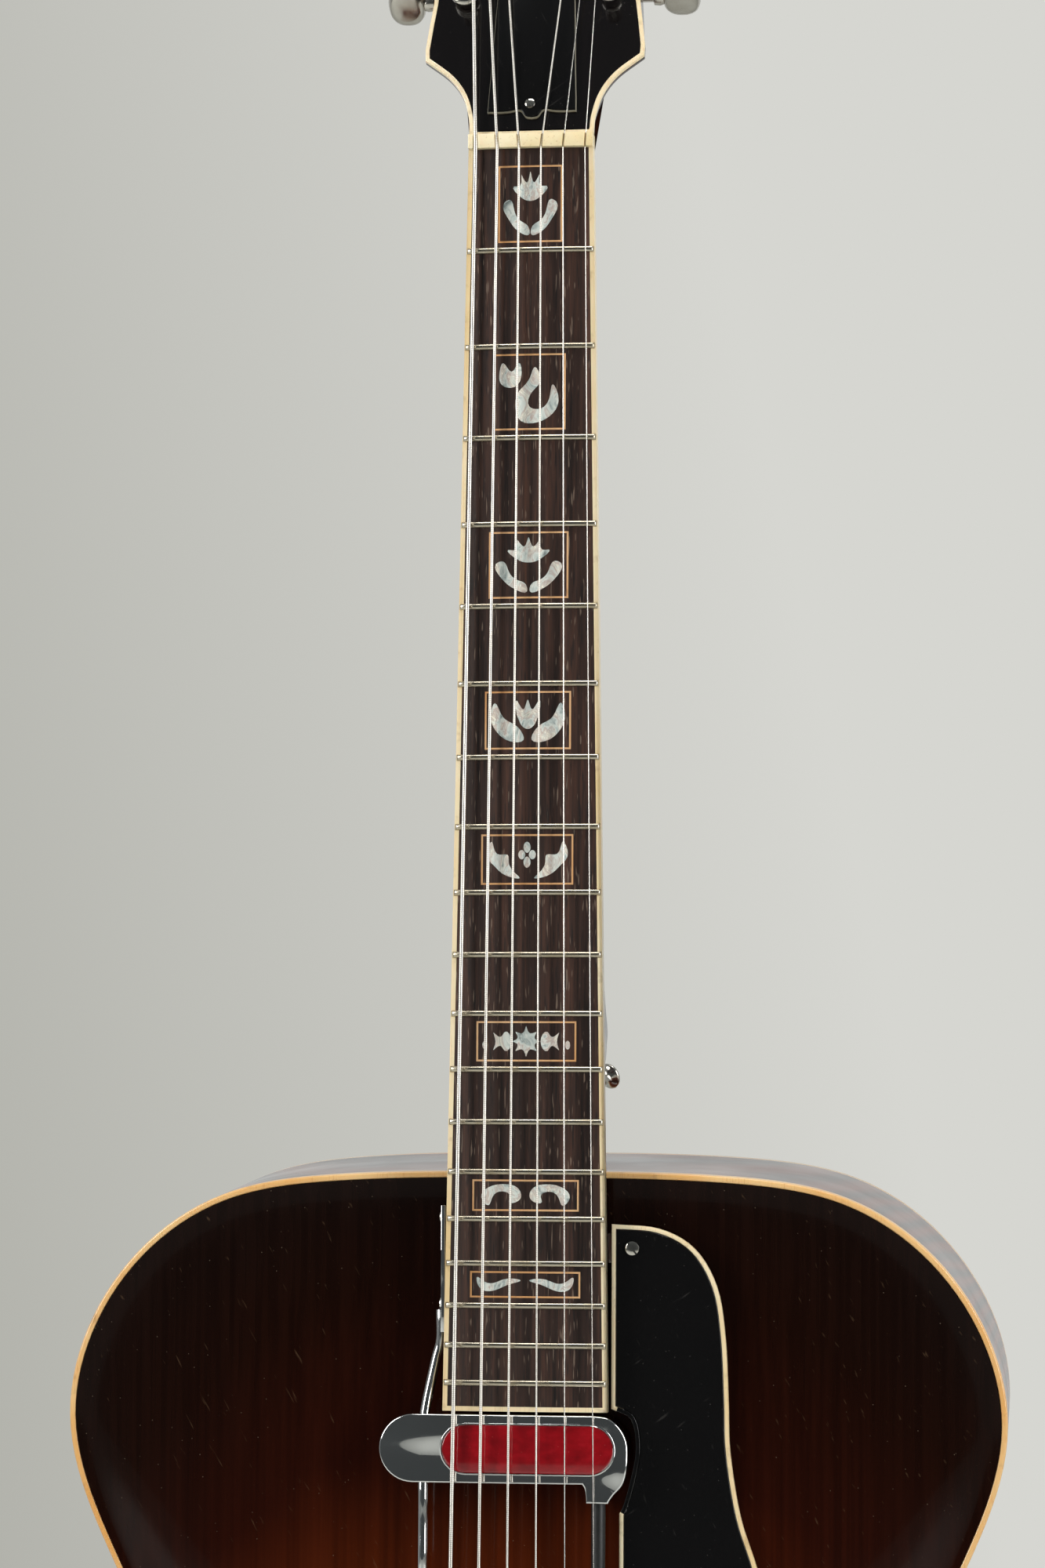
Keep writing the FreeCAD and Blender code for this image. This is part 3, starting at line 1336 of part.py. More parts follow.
def bridge_base_form():
    """The base: its front view pushed through its depth, less the arch of the top."""
    half = num(size.bridge_length) / 2
    flat = num(size.bridge_flat_length) / 2
    top = crown_depth - num(size.bridge_base_height)
    tip = crown_depth - num(size.bridge_tip_height)
    low = crown_depth + num(size.top_arch) * 0.5
    span = num(size.bridge_arch_span) / 2
    rise = crown_depth - num(size.bridge_arch_rise)
    depth = num(size.bridge_depth)
    view = [Vector(-half, low, 0), Vector(-half, tip, 0), Vector(-flat, top, 0), Vector(flat, top, 0),
            Vector(half, tip, 0), Vector(half, low, 0), Vector(span, low, 0), Vector(span * 0.8, rise, 0),
            Vector(-span * 0.8, rise, 0), Vector(-span, low, 0)]
    block = Part.Face(Part.makePolygon(view + view[:1])).extrude(Vector(0, 0, depth))
    block.translate(Vector(0, 0, SADDLE_PLACE - depth / 2))
    under = carved_plate(size.top_arch)
    under.translate(Vector(0, -num(size.glue_line), 0))
    return block.cut(under)


stud_places = [Vector(side * num(size.stud_spread) / 2, 0, SADDLE_PLACE) for side in (-1, 1)]
base_top = crown_depth - num(size.bridge_base_height)
stud_bottom = base_top + num(size.stud_seat)
stud_length = num(size.stud_seat) + num(size.stud_height)
FRONT = Vector(0, -1, 0)
base_form = bridge_base_form()
for place in stud_places:
    base_form = base_form.cut(peg(place + Vector(0, stud_bottom + num(size.fit_gap), 0), FRONT,
                                  stud_length + num(size.overrun), size.stud_radius + size.fit_gap, bore=True))
feature("bridge_base", base_form, BODY)
feature("bridge_studs", Part.makeCompound([peg(place + Vector(0, stud_bottom, 0), FRONT, stud_length, size.stud_radius)
                                           for place in stud_places]), BODY)

wheel_back = base_top - num(size.wheel_lift)
wheel_front = wheel_back - num(size.wheel_thickness)
for name, place in zip(("bass", "treble"), stud_places):
    wheel = peg(place + Vector(0, wheel_back, 0), FRONT, size.wheel_thickness, size.wheel_radius, WHEEL_SIDES)
    bore = peg(place + Vector(0, wheel_back + num(size.wheel_thickness), 0), FRONT, size.wheel_thickness * 3,
               size.stud_radius + size.fit_gap * 2, bore=True)
    feature(f"thumbwheel_{name}", wheel.cut(bore), BODY)


def saddle_form():
    """The saddle: a low beam that crests under the strings, bored for the studs."""
    half, depth = num(size.saddle_length) / 2, num(size.saddle_depth)
    back = wheel_front
    reach = num(size.string_spread_bridge) / 2 + num(size.saddle_drop)
    steps = 8
    crest = []
    for step in range(steps + 1):
        across = reach * (1 - 2 * step / steps)
        crest.append(Vector(across, bridge_top + round_drop(across) - num(size.saddle_notch), 0))
    view = [Vector(-half, back, 0), Vector(half, back, 0), Vector(half, back - num(size.saddle_end_height), 0)]
    view += [Vector(num(size.stud_spread) / 2, back - num(size.saddle_end_height) * 1.15, 0)] + crest
    view += [Vector(-num(size.stud_spread) / 2, back - num(size.saddle_end_height) * 1.15, 0),
             Vector(-half, back - num(size.saddle_end_height), 0)]
    beam = Part.Face(Part.makePolygon(view + view[:1])).extrude(Vector(0, 0, depth))
    beam.translate(Vector(0, 0, SADDLE_PLACE - depth / 2))
    crest_half = num(size.saddle_top_depth) / 2
    waist = back - num(size.saddle_end_height) * 1.3
    end = [Vector(0, back + num(size.overrun), -depth / 2), Vector(0, back + num(size.overrun), depth / 2),
           Vector(0, waist, depth / 2), Vector(0, bridge_top - num(size.overrun), crest_half),
           Vector(0, bridge_top - num(size.overrun), -crest_half), Vector(0, waist, -depth / 2)]
    ridge = Part.Face(Part.makePolygon(end + end[:1])).extrude(Vector(half * 2, 0, 0))
    ridge.translate(Vector(-half, 0, SADDLE_PLACE))
    beam = beam.common(ridge)
    room = num(size.stud_height) - num(size.wheel_lift) - num(size.wheel_thickness)
    for place in stud_places:
        beam = beam.cut(peg(place + Vector(0, back + num(size.overrun), 0), FRONT,
                            room + num(size.overrun) + num(size.running_gap) + num(size.wheel_lift),
                            size.stud_radius + size.fit_gap * 2, bore=True))
    for index in range(STRING_COUNT):
        post, at_nut, at_saddle, bar = string_points(index)
        for toward in (at_nut, bar):
            groove = string_groove(index, at_saddle, toward, size.saddle_depth, size.nut_slot_gap)
            groove.Placement = BODY.inverse()
            beam = beam.cut(groove)
    return beam


feature("bridge_saddle", saddle_form(), BODY)

# Tailpiece, in its own frame from the hinge up to the bar that holds the strings


def tail_frame_form():
    """A bar with six string slots on two legs that meet at the hinge."""
    bar_half, bar_high = num(size.tail_bar_width) / 2, num(size.tail_bar_height)
    thick = num(size.tail_leg_thickness)
    foot = num(size.tail_foot_width) / 2
    leg = num(size.tail_leg_width)
    knuckle = num(size.tail_hinge_radius)
    low = knuckle + num(size.running_gap)
    bar = Part.makeBox(bar_half * 2, num(size.tail_bar_thickness), bar_high,
                       Vector(-bar_half, -num(size.tail_bar_thickness) / 2, TAIL_REACH))
    form = bar
    for side in (-1, 1):
        leg_points = [Vector(side * bar_half, 0, TAIL_REACH), Vector(side * (bar_half - leg), 0, TAIL_REACH),
                      Vector(side * (foot - leg), 0, low + leg), Vector(0, 0, low + leg), Vector(0, 0, low),
                      Vector(side * foot, 0, low)]
        plate = Part.Face(Part.makePolygon(leg_points + leg_points[:1]))
        plate.translate(Vector(0, -thick / 2, 0))
        form = form.fuse(plate.extrude(Vector(0, thick, 0)))
    ear = num(size.tail_foot_width) / 4
    for side in (-1, 1):
        lug = Part.makeBox(ear, thick, low + knuckle, Vector(side * foot - (ear if side > 0 else 0), -thick / 2, 0))
        barrel = peg(Vector(side * foot, 0, 0), Vector(-side, 0, 0), ear, knuckle)
        form = form.fuse([lug, barrel])
    form = form.cut(peg(Vector(-foot * 2, 0, 0), Vector(1, 0, 0), foot * 4, size.tail_pin_radius + size.fit_gap, bore=True))
    for index in range(STRING_COUNT):
        across = string_across(index, size.string_spread_bridge)
        slot = num(STRING_SIZES[index]) / 2 + num(size.running_gap)
        form = form.cut(Part.makeBox(slot * 2, num(size.tail_bar_thickness) / 2 + slot + num(size.overrun), bar_high * 2,
                                     Vector(across - slot, -num(size.tail_bar_thickness) / 2 - num(size.overrun),
                                            TAIL_REACH + bar_high * 0.35)))
    return form


feature("tailpiece_frame", tail_frame_form().removeSplitter(), TAIL)


def tail_bracket_form():
    """A strap down the tail with a lip over the edge and the hinge's middle knuckle."""
    wide = num(size.tail_strap_width)
    thick = num(size.tail_strap_thickness)
    down = -num(size.body_length)
    rise = num(size.tail_hinge_rise)
    knuckle = num(size.tail_hinge_radius)
    strap = Part.makeBox(wide, num(size.tail_strap_length), thick,
                         Vector(-wide / 2, num(size.glue_line), down - thick))
    middle = num(size.tail_foot_width) / 2 - num(size.running_gap) * 2
    lug = Part.makeBox(middle, rise + num(size.glue_line) + num(size.overrun), thick,
                       Vector(-middle / 2, -rise, down - thick))
    barrel = peg(Vector(-middle / 2, -rise, down - thick), Vector(1, 0, 0), middle, knuckle)
    form = strap.fuse([lug, barrel])
    form = form.cut(peg(Vector(-wide, -rise, down - thick), Vector(1, 0, 0), wide * 2,
                        size.tail_pin_radius + size.fit_gap, bore=True))
    return form.cut(PIN_BORE.Shape)


feature("tailpiece_bracket", tail_bracket_form(), BODY)
pin_half = num(size.tail_foot_width) / 2 + num(size.running_gap)
feature("tailpiece_pin", peg(Vector(-pin_half, HINGE_LOCAL.y, HINGE_LOCAL.z), Vector(1, 0, 0), pin_half * 2,
                             size.tail_pin_radius), BODY)


def strap_button_form(seat, along):
    """A turned button: shank, seat, waist and rounded head, outwards from its seat."""
    neck, head, tall = num(size.button_neck_radius), num(size.button_head_radius), num(size.button_height_total)
    form = turned(seat, along, ((0, head * 0.85), (tall * 0.28, neck), (tall * 0.58, neck), (tall * 0.84, head),
                                (tall, head * 0.72)))
    return form.fuse(peg(seat, Vector(along) * -1, size.button_shank_length, size.button_shank_radius))


# One button on the treble side of the heel, and the end pin through the tailpiece's strap
heel_button = strap_button_form(HEEL_SEAT, Vector(1, 0, 0))
pin_form = strap_button_form(Vector(0, num(size.end_pin_depth), -num(size.body_length)
                                    - num(size.tail_strap_thickness)), Vector(0, 0, -1))
pin_form.Placement = BODY.multiply(pin_form.Placement)
feature("strap_buttons", Part.makeCompound([heel_button, pin_form]))

# Places below the nut that follow the fingerboard's end and the bridge
PICKUP_START = size.board_length + size.pickup_gap
STRIP_BOTTOM = size.board_length - size.pickup_strip_rise
LEAD_END = size.scale_length - size.control_rise
GUARD_TOP = JOINT + size.guard_drop
GUARD_BOTTOM = LEAD_END + size.control_height + size.guard_margin
STRAP_PLACE = LEAD_END - size.guard_strap_rise

# Pickguard: a bound plate beside the fingerboard, floating over the top
GUARD_SHARES = ((0.0, 0.0), (0.33, 0.012), (0.51, 0.045), (0.625, 0.10), (0.665, 0.16), (0.685, 0.25),
                (0.70, 0.32), (0.76, 0.41), (0.86, 0.485), (0.96, 0.58), (1.0, 0.70), (0.97, 0.83),
                (0.86, 0.94), (0.70, 1.0), (0.30, 0.995), (0.05, 0.96), (0.05, 0.90))


# The notch's corners from below: shares of the pickup's height, out from its treble end and down from its top
NOTCH_SHARES = ((-0.11, 1.35), (0.0, 0.92), (0.08, 0.5), (0.0, 0.02))
NOTCH_FOOT_SHARE = 1.45
NOTCH_HEAD_SHARE = -0.08


def guard_points(inset):
    """The pickguard's outline from its upper corner round the treble side, then the pickup's notch."""
    left, top = num(size.guard_edge), num(GUARD_TOP)
    tall, wide = num(GUARD_BOTTOM) - top, num(size.guard_width)
    outer = [Vector(left + wide * across, 0, -(top + tall * down)) for across, down in GUARD_SHARES]
    start, high = num(PICKUP_START), num(size.pickup_height)
    end_out = num(size.pickup_length) / 2 - num(size.pickup_centre)
    foot = Vector(left + wide * GUARD_SHARES[-1][0], 0, -start - high * NOTCH_FOOT_SHARE)
    notch = [Vector(end_out + high * out, 0, -start - high * down) for out, down in NOTCH_SHARES]
    loop = outer + [foot] + notch + [Vector(left, 0, -start - high * NOTCH_HEAD_SHARE)]
    if not inset:
        return loop
    moved = []
    for index, point in enumerate(loop):
        before, after = loop[index - 1], loop[(index + 1) % len(loop)]
        first, last = (point - before).normalize(), (after - point).normalize()
        normal_a, normal_b = Vector(first.z, 0, -first.x), Vector(last.z, 0, -last.x)
        miter = (normal_a + normal_b).normalize()
        moved.append(point + miter * (inset / max(miter.dot(normal_a), 0.4)))
    return moved


def guard_prism(inset, start, thickness):
    loop = [Vector(point.x, start, point.z) for point in guard_points(inset)]
    return Part.Face(Part.makePolygon(loop + loop[:1])).extrude(Vector(0, thickness, 0))


guard_front = num(size.pickup_thickness) - num(size.pickup_face) + num(size.running_gap)
guard_thick = num(size.guard_thickness)
guard_back = guard_front + guard_thick
feature("pickguard", guard_prism(num(size.guard_binding), guard_front, guard_thick))
feature("pickguard_binding", guard_prism(0.0, guard_front, guard_thick).cut(
    guard_prism(num(size.guard_binding), guard_front - guard_thick, guard_thick * 3)))

# Strap from the pickguard over the body's edge to the rim, and the block at the neck
def half_width_at(down):
    """Half of the body's width at a distance below its upper edge."""
    for upper, lower in zip(HALF_POINTS, HALF_POINTS[1:]):
        if -upper.z <= down <= -lower.z:
            share = (down + upper.z) / (upper.z - lower.z)
            return upper.x * (1 - share) + lower.x * share
    raise ValueError("no such place on the outline")


strap_middle = (num(STRAP_PLACE) - num(JOINT)) / TILT_COSINE
strap_room = num(size.guard_strap_width) / 2 + num(size.guard_strap_foot) * TILT_SINE
strap_out = max(half_width_at(strap_middle + step * strap_room) for step in (-1, 0, 1)) + num(size.running_gap)
strap_thick = num(size.guard_strap_thickness)
strap_high = -num(STRAP_PLACE)
strap_edge = body_plane(num(STRAP_PLACE))


def guard_strap_form():
    left = num(size.guard_edge) + num(size.guard_width) * 0.55
    knee = num(size.guard_edge) + num(size.guard_width)
    shoulder = strap_edge - num(size.guard_strap_slope) * 0.45
    foot = strap_edge + num(size.guard_strap_foot)
    view = [Vector(left, guard_back, 0), Vector(knee, guard_back, 0), Vector(strap_out + strap_thick, shoulder, 0),
            Vector(strap_out + strap_thick, foot, 0), Vector(strap_out, foot, 0), Vector(strap_out, shoulder + strap_thick, 0),
            Vector(knee - strap_thick * 0.5, guard_back + strap_thick, 0), Vector(left, guard_back + strap_thick, 0)]
    form = Part.Face(Part.makePolygon(view + view[:1])).extrude(Vector(0, 0, num(size.guard_strap_width)))
    form.translate(Vector(0, 0, strap_high - num(size.guard_strap_width) / 2))
    return form


def guard_block_form():
    """The block between the neck's side and the back of the pickguard."""
    place, width = GUARD_TOP + size.guard_screw_drop, num(size.guard_block_width)
    start = num(board_half_width(place, size.extension_side_gap) + size.running_gap)
    end = num(size.guard_screw_out) + width / 2
    return Part.makeBox(end - start, num(size.guard_block_thickness), width,
                        Vector(start, guard_back, -num(place) - width / 2))


feature("pickguard_bracket", Part.makeCompound([guard_strap_form(), guard_block_form()]))

# Pickup: a housing that slides on a rod, with a window over its coil
pickup_front = num(size.pickup_face) * -1
pickup_back = pickup_front + num(size.pickup_thickness)
pickup_top = -num(PICKUP_START)
pickup_mid = pickup_top - num(size.pickup_height) / 2
pickup_bass = num(size.pickup_centre) - num(size.pickup_length) / 2 - num(size.glue_line)
rod_across = -num(size.pickup_rod_out)


def stadium(across, up, length, height, start, depth):
    """A long plate with round ends, about a centre."""
    straight, radius = (length - height) / 2, height / 2
    loop = []
    for end, first in ((1, -90), (-1, 90)):
        for step in range(END_STEPS + 1):
            turn = math.radians(first + 180 * step / END_STEPS)
            loop.append(Vector(across + end * straight + radius * math.cos(turn), start, up + radius * math.sin(turn)))
    return Part.Face(Part.makePolygon(loop + loop[:1])).extrude(Vector(0, depth, 0))


spout_across = num(size.string_spread_nut) * 0.655


def pickup_centre_across():
    return -num(size.pickup_centre)


SPOUT_SHOULDER_SHARE = 0.42


def pickup_forms():
    """The housing, hollow behind its window, its window and its coil."""
    centre = pickup_centre_across()
    thick, wall = num(size.pickup_thickness), num(size.pickup_wall)
    length, height = num(size.pickup_length), num(size.pickup_height)
    housing = stadium(centre, pickup_mid, length, height, pickup_front, thick)
    window_length, window_height = num(size.window_length), num(size.window_height)
    lip, window_across = num(size.window_lip), num(size.window_centre)
    edge = centre + length / 2
    spout = [Vector(edge, pickup_front + wall, pickup_mid),
             Vector(spout_across - num(size.spout_width) / 2, pickup_front + wall, pickup_mid),
             Vector(spout_across - num(size.lead_radius) - wall, pickup_front + wall,
                    pickup_mid - height / 2 - num(size.spout_length)),
             Vector(spout_across + num(size.lead_radius) + wall, pickup_front + wall,
                    pickup_mid - height / 2 - num(size.spout_length)),
             Vector(edge - wall / 2, pickup_front + wall, pickup_mid - height * SPOUT_SHOULDER_SHARE)]
    nozzle = Part.Face(Part.makePolygon(spout + spout[:1])).extrude(Vector(0, thick - wall * 2, 0))
    limit = Part.makeBox(edge + length, thick * 3, height * 3, Vector(-length, pickup_front - thick, pickup_mid - height * 2))
    housing = housing.fuse(nozzle.common(limit)).removeSplitter()
    mouth = stadium(window_across, pickup_mid, window_length, window_height, pickup_front - lip, num(size.window_depth) + lip)
    housing = housing.cut(mouth)
    chamber = stadium(window_across, pickup_mid, num(size.coil_length) + wall, num(size.coil_height) + wall,
                      pickup_front, thick - wall)
    housing = housing.cut(chamber)
    rod_bore = Part.makeCylinder(num(size.pickup_rod_radius) + num(size.pickup_rod_clearance), height * 3,
                                 Vector(rod_across, num(size.pickup_rod_depth), pickup_mid - height * 1.5),
                                 Vector(0, 0, 1))
    housing = housing.cut(rod_bore)
    pane = stadium(window_across, pickup_mid, window_length - num(size.glue_line) * 2, window_height - num(size.glue_line) * 2,
                   pickup_front + lip, num(size.window_depth) - lip)
    coil = stadium(window_across, pickup_mid, num(size.coil_length), num(size.coil_height),
                   pickup_front + num(size.window_depth), thick - wall - num(size.window_depth))
    lead = peg(Vector(spout_across, (pickup_front + pickup_back) / 2, pickup_mid - height / 2 - num(size.spout_length)),
               Vector(0, 0, -1), num(LEAD_END) + pickup_mid - height / 2 - num(size.spout_length), size.lead_radius)
    return housing, pane, coil, lead


housing_form, pane_form, coil_form, lead_form = pickup_forms()
feature("pickup_housing", housing_form)
feature("pickup_window", pane_form)
feature("pickup_coil", coil_form)
feature("pickup_lead", lead_form)


def pickup_rod_form():
    """The rod, from its free end up past the pickup and in to the strip on the neck's side."""
    radius = num(size.pickup_rod_radius)
    deep = num(size.pickup_rod_depth)
    strip_across = -num(board_half_width(STRIP_BOTTOM)) - num(size.running_gap) - radius
    strip_deep = num(size.board_thickness) + num(size.extension_depth_end) / 2
    low = Vector(rod_across, deep, -num(LEAD_END - size.pickup_rod_margin))
    turn = Vector(rod_across, deep, pickup_top + num(size.pickup_height) * 0.45)
    meet = Vector(strip_across, strip_deep, -num(STRIP_BOTTOM) - num(size.overrun))
    end = Vector(strip_across, strip_deep, -num(STRIP_BOTTOM) + num(size.overrun))
    bend = radius * 3
    runs, start = [], low
    points = [low, turn, meet, end]
    for before, corner, after in zip(points, points[1:], points[2:]):
        into, out = (corner - before).normalize(), (after - corner).normalize()
        angle = into.getAngle(out)
        back = bend * math.tan(angle / 2)
        inside = (out - into).normalize()
        first, last = corner - into * back, corner + out * back
        runs.append(Part.LineSegment(start, first).toShape())
        runs.append(Part.Arc(first, corner + inside * (bend / math.cos(angle / 2) - bend), last).toShape())
        start = last
    runs.append(Part.LineSegment(start, end).toShape())
    ring = many_sided(low, Vector(0, 0, 1), radius, 12)
    stick = Part.Wire(runs).makePipe(Part.Face(Part.makePolygon(ring + ring[:1])))
    side = -num(board_half_width(STRIP_BOTTOM)) - num(size.running_gap)
    thick = num(size.pickup_strip_thickness)
    strip = Part.makeBox(thick, num(size.pickup_strip_width), num(size.pickup_strip_length)
                         + num(size.overrun) * 0.5,
                         Vector(side - thick, strip_deep - num(size.pickup_strip_width) / 2,
                                -num(STRIP_BOTTOM) - num(size.overrun) * 0.5))
    return stick.fuse(strip)


feature("pickup_rod", pickup_rod_form())

# Control box on the pickguard: a closed case, the output jack and the volume knob
control_top = -num(LEAD_END)
control_left = num(size.control_side)
control_right = control_left + num(size.control_width)
control_start = guard_front - num(size.control_depth)
jack_depth = control_start + num(size.control_depth) / 2
jack_up = control_top - num(size.control_height) * 0.68
knob_place = Vector(num(size.knob_out), control_start, control_top - num(size.control_height) / 2)
lead_place = Vector(spout_across, (pickup_front + pickup_back) / 2, control_top)


def control_forms():
    """The box, the jack through its outer wall, and the knob on its shaft."""
    wall = num(size.control_wall)
    wide, deep, tall = num(size.control_width), num(size.control_depth), num(size.control_height)
    case = Part.makeBox(wide, deep, tall, Vector(control_left, control_start, control_top - tall))
    room = Part.makeBox(wide - wall * 2, deep - wall * 2, tall - wall * 2,
                        Vector(control_left + wall, control_start + wall, control_top - tall + wall))
    case = case.cut(room)
    jack_hole = peg(Vector(control_right - wall * 2, jack_depth, jack_up), Vector(1, 0, 0), wall * 4,
                    size.jack_radius + size.fit_gap, JACK_SIDES, bore=True)
    shaft_hole = peg(knob_place - Vector(0, wall * 2, 0), Vector(0, 1, 0), wall * 4,
                     size.knob_shaft_radius + size.fit_gap, bore=True)
    case = case.cut(jack_hole).cut(shaft_hole)
    gland = peg(lead_place, Vector(0, 0, 1), size.gland_length, size.lead_radius + size.control_wall)
    case = case.fuse(gland.cut(peg(lead_place, Vector(0, 0, 1), size.gland_length, size.lead_radius
                                   + size.glue_line, bore=True)))
    jack = peg(Vector(control_right + wall - num(size.jack_length), jack_depth, jack_up), Vector(1, 0, 0),
               size.jack_length, size.jack_radius, JACK_SIDES)
    bore = Part.makeCylinder(num(size.jack_bore), num(size.jack_length),
                             Vector(control_right - num(size.jack_length) + wall * 2, jack_depth, jack_up), Vector(1, 0, 0))
    jack = jack.cut(bore)
    high = num(size.knob_height)
    front = control_start - num(size.running_gap)
    radius = num(size.knob_radius)
    cap = turned(Vector(knob_place.x, front, knob_place.z), FRONT, ((0, radius), (high * 0.82, radius * 0.9),
                                                                    (high, radius * 0.8)), WHEEL_SIDES)
    shaft = peg(Vector(knob_place.x, control_start + wall * 2, knob_place.z), FRONT,
                control_start + wall * 2 - front + high * 0.5, size.knob_shaft_radius)
    return case, jack, cap.fuse(shaft)


case_form, jack_form, knob_form = control_forms()
feature("control_box", case_form)
feature("output_jack", jack_form)
feature("control_knob", knob_form)


DOC.recompute()

NODES = [
    "top_plate", "back_plate", "rim", "body_bindings", "neck_block", "tail_block", "linings", "tone_bars",
    "fingerboard", "inlay_frames", "pearl_inlays", "fingerboard_binding", "frets", "nut", "neck",
    "truss_rod", "truss_rod_nut", "headstock_overlay", "headstock_binding", "truss_rod_cover",
    "tuner_plates", "tuner_bushings",
]
NODES += [f"tuner_post_{number}" for number in range(1, STRING_COUNT + 1)]
NODES += [f"tuner_key_{number}" for number in range(1, STRING_COUNT + 1)]
NODES += [
    "wound_strings", "plain_strings", "bridge_base", "bridge_studs", "bridge_saddle", "thumbwheel_bass",
    "thumbwheel_treble", "tailpiece_frame", "tailpiece_bracket", "tailpiece_pin", "strap_buttons",
    "pickguard", "pickguard_binding", "pickguard_bracket", "pickup_housing", "pickup_window", "pickup_coil",
    "pickup_lead", "pickup_rod", "control_box", "output_jack", "control_knob",
]

failed = [obj for obj in DOC.Objects if "Invalid" in obj.State or "Error" in obj.State]
for obj in failed:
    print(f"{obj.Name} failed: {obj.getStatusString()}")
if failed:
    raise RuntimeError(f"{len(failed)} objects failed")

os.makedirs("parts", exist_ok=True)
for node in NODES:
    shape = DOC.getObject(node).Shape
    if shape.isNull() or not shape.isValid() or shape.Volume <= 0:
        raise RuntimeError(f"{node} has no sound shape")
    shape.exportStep(os.path.join("parts", f"{node}.step"))
    print(f"{node}: {len(shape.Solids)} solids, {shape.Volume:.0f} mm3")
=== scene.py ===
import logging
import math
from collections.abc import Callable
from dataclasses import dataclass
from enum import Enum

import bmesh
import bpy
import numpy as np
from mathutils import Matrix, Vector


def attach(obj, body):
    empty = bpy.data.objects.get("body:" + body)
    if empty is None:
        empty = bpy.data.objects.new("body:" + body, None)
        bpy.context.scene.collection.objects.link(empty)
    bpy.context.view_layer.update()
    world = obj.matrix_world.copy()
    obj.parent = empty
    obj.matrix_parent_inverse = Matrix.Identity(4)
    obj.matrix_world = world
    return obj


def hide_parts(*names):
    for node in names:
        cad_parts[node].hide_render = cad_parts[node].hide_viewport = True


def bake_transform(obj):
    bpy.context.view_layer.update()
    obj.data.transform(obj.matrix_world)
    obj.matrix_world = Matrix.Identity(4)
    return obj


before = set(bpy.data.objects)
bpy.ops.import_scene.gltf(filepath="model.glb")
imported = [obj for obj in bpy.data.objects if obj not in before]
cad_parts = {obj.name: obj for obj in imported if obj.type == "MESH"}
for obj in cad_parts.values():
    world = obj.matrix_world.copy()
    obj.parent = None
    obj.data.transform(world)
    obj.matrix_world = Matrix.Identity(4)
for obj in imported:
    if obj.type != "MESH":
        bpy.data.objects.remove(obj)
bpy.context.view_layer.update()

# The looks of an archtop guitar, set over its CAD frame. Forms are worked in millimetres and set in metres.

LOG = logging.getLogger("archtop")
MM = 0.001
Points = list[Vector]

JOINT = 348.61826
SCALE_LENGTH = 628.65
SADDLE = -279.8
STRING_RADII = (0.685, 0.535, 0.405, 0.305, 0.205, 0.15)


def frame_at(place: tuple[float, float, float], turn: float) -> Matrix:
    """A frame in millimetres, tipped about the X axis by degrees."""
    return Matrix.Translation(place) @ Matrix.Rotation(math.radians(turn), 4, "X")


BODY = frame_at((0.0, 16.0, -JOINT), 4.2)
HEAD = frame_at((0.0, 3.0, 5.0), -15.0)
TAIL = frame_at((0.0, 51.76, -882.03), 12.842)
NECK = Matrix.Identity(4)


class Way(Enum):
    """The directions that forms are pushed in."""

    FRONT = (0.0, -1.0, 0.0)
    BACK = (0.0, 1.0, 0.0)
    UP = (0.0, 0.0, 1.0)
    DOWN = (0.0, 0.0, -1.0)
    BASS = (-1.0, 0.0, 0.0)
    TREBLE = (1.0, 0.0, 0.0)

    @property
    def vector(self) -> Vector:
        """The direction as a vector."""
        return Vector(self.value)


def tint(code: str) -> tuple[float, float, float, float]:
    """Turn a written colour into the linear one that a shader takes.

    Args:
        code: six hexadecimal digits, two each for red, green and blue.

    Returns:
        The linear colour with a full alpha.
    """
    parts = [int(code[i:i + 2], 16) / 255 for i in (0, 2, 4)]
    linear = [part / 12.92 if part <= 0.04045 else ((part + 0.055) / 1.055) ** 2.4 for part in parts]
    return (linear[0], linear[1], linear[2], 1.0)


def closed_spline(knots: Points, steps: int) -> tuple[Points, Points]:
    """Draw a smooth closed curve through knots.

    Args:
        knots: the points it goes through, in order.
        steps: how many points each span gets.

    Returns:
        The points of the curve, and its direction at each.
    """
    spots = np.array([tuple(knot) for knot in knots])
    count = len(spots)
    gaps = np.linalg.norm(np.roll(spots, -1, 0) - spots, axis=1)
    before = np.roll(gaps, 1)
    table, right = np.zeros((count, count)), np.zeros((count, 3))
    for i in range(count):
        table[i, i - 1] += 1 / before[i]
        table[i, i] += 2 / before[i] + 2 / gaps[i]
        table[i, (i + 1) % count] += 1 / gaps[i]
        right[i] = 3 * ((spots[i] - spots[i - 1]) / before[i] ** 2 + (spots[(i + 1) % count] - spots[i]) / gaps[i] ** 2)
    slopes = np.linalg.solve(table, right)
    places, ways = [], []
    for i in range(count):
        a, b = spots[i], spots[(i + 1) % count]
        da, db = slopes[i] * gaps[i], slopes[(i + 1) % count] * gaps[i]
        for step in range(steps):
            t = step / steps
            places.append(Vector((2 * t**3 - 3 * t**2 + 1) * a + (t**3 - 2 * t**2 + t) * da
                                 + (3 * t**2 - 2 * t**3) * b + (t**3 - t**2) * db))
            ways.append(Vector((6 * t**2 - 6 * t) * a + (3 * t**2 - 4 * t + 1) * da
                               + (6 * t - 6 * t**2) * b + (3 * t**2 - 2 * t) * db).normalized())
    return places, ways


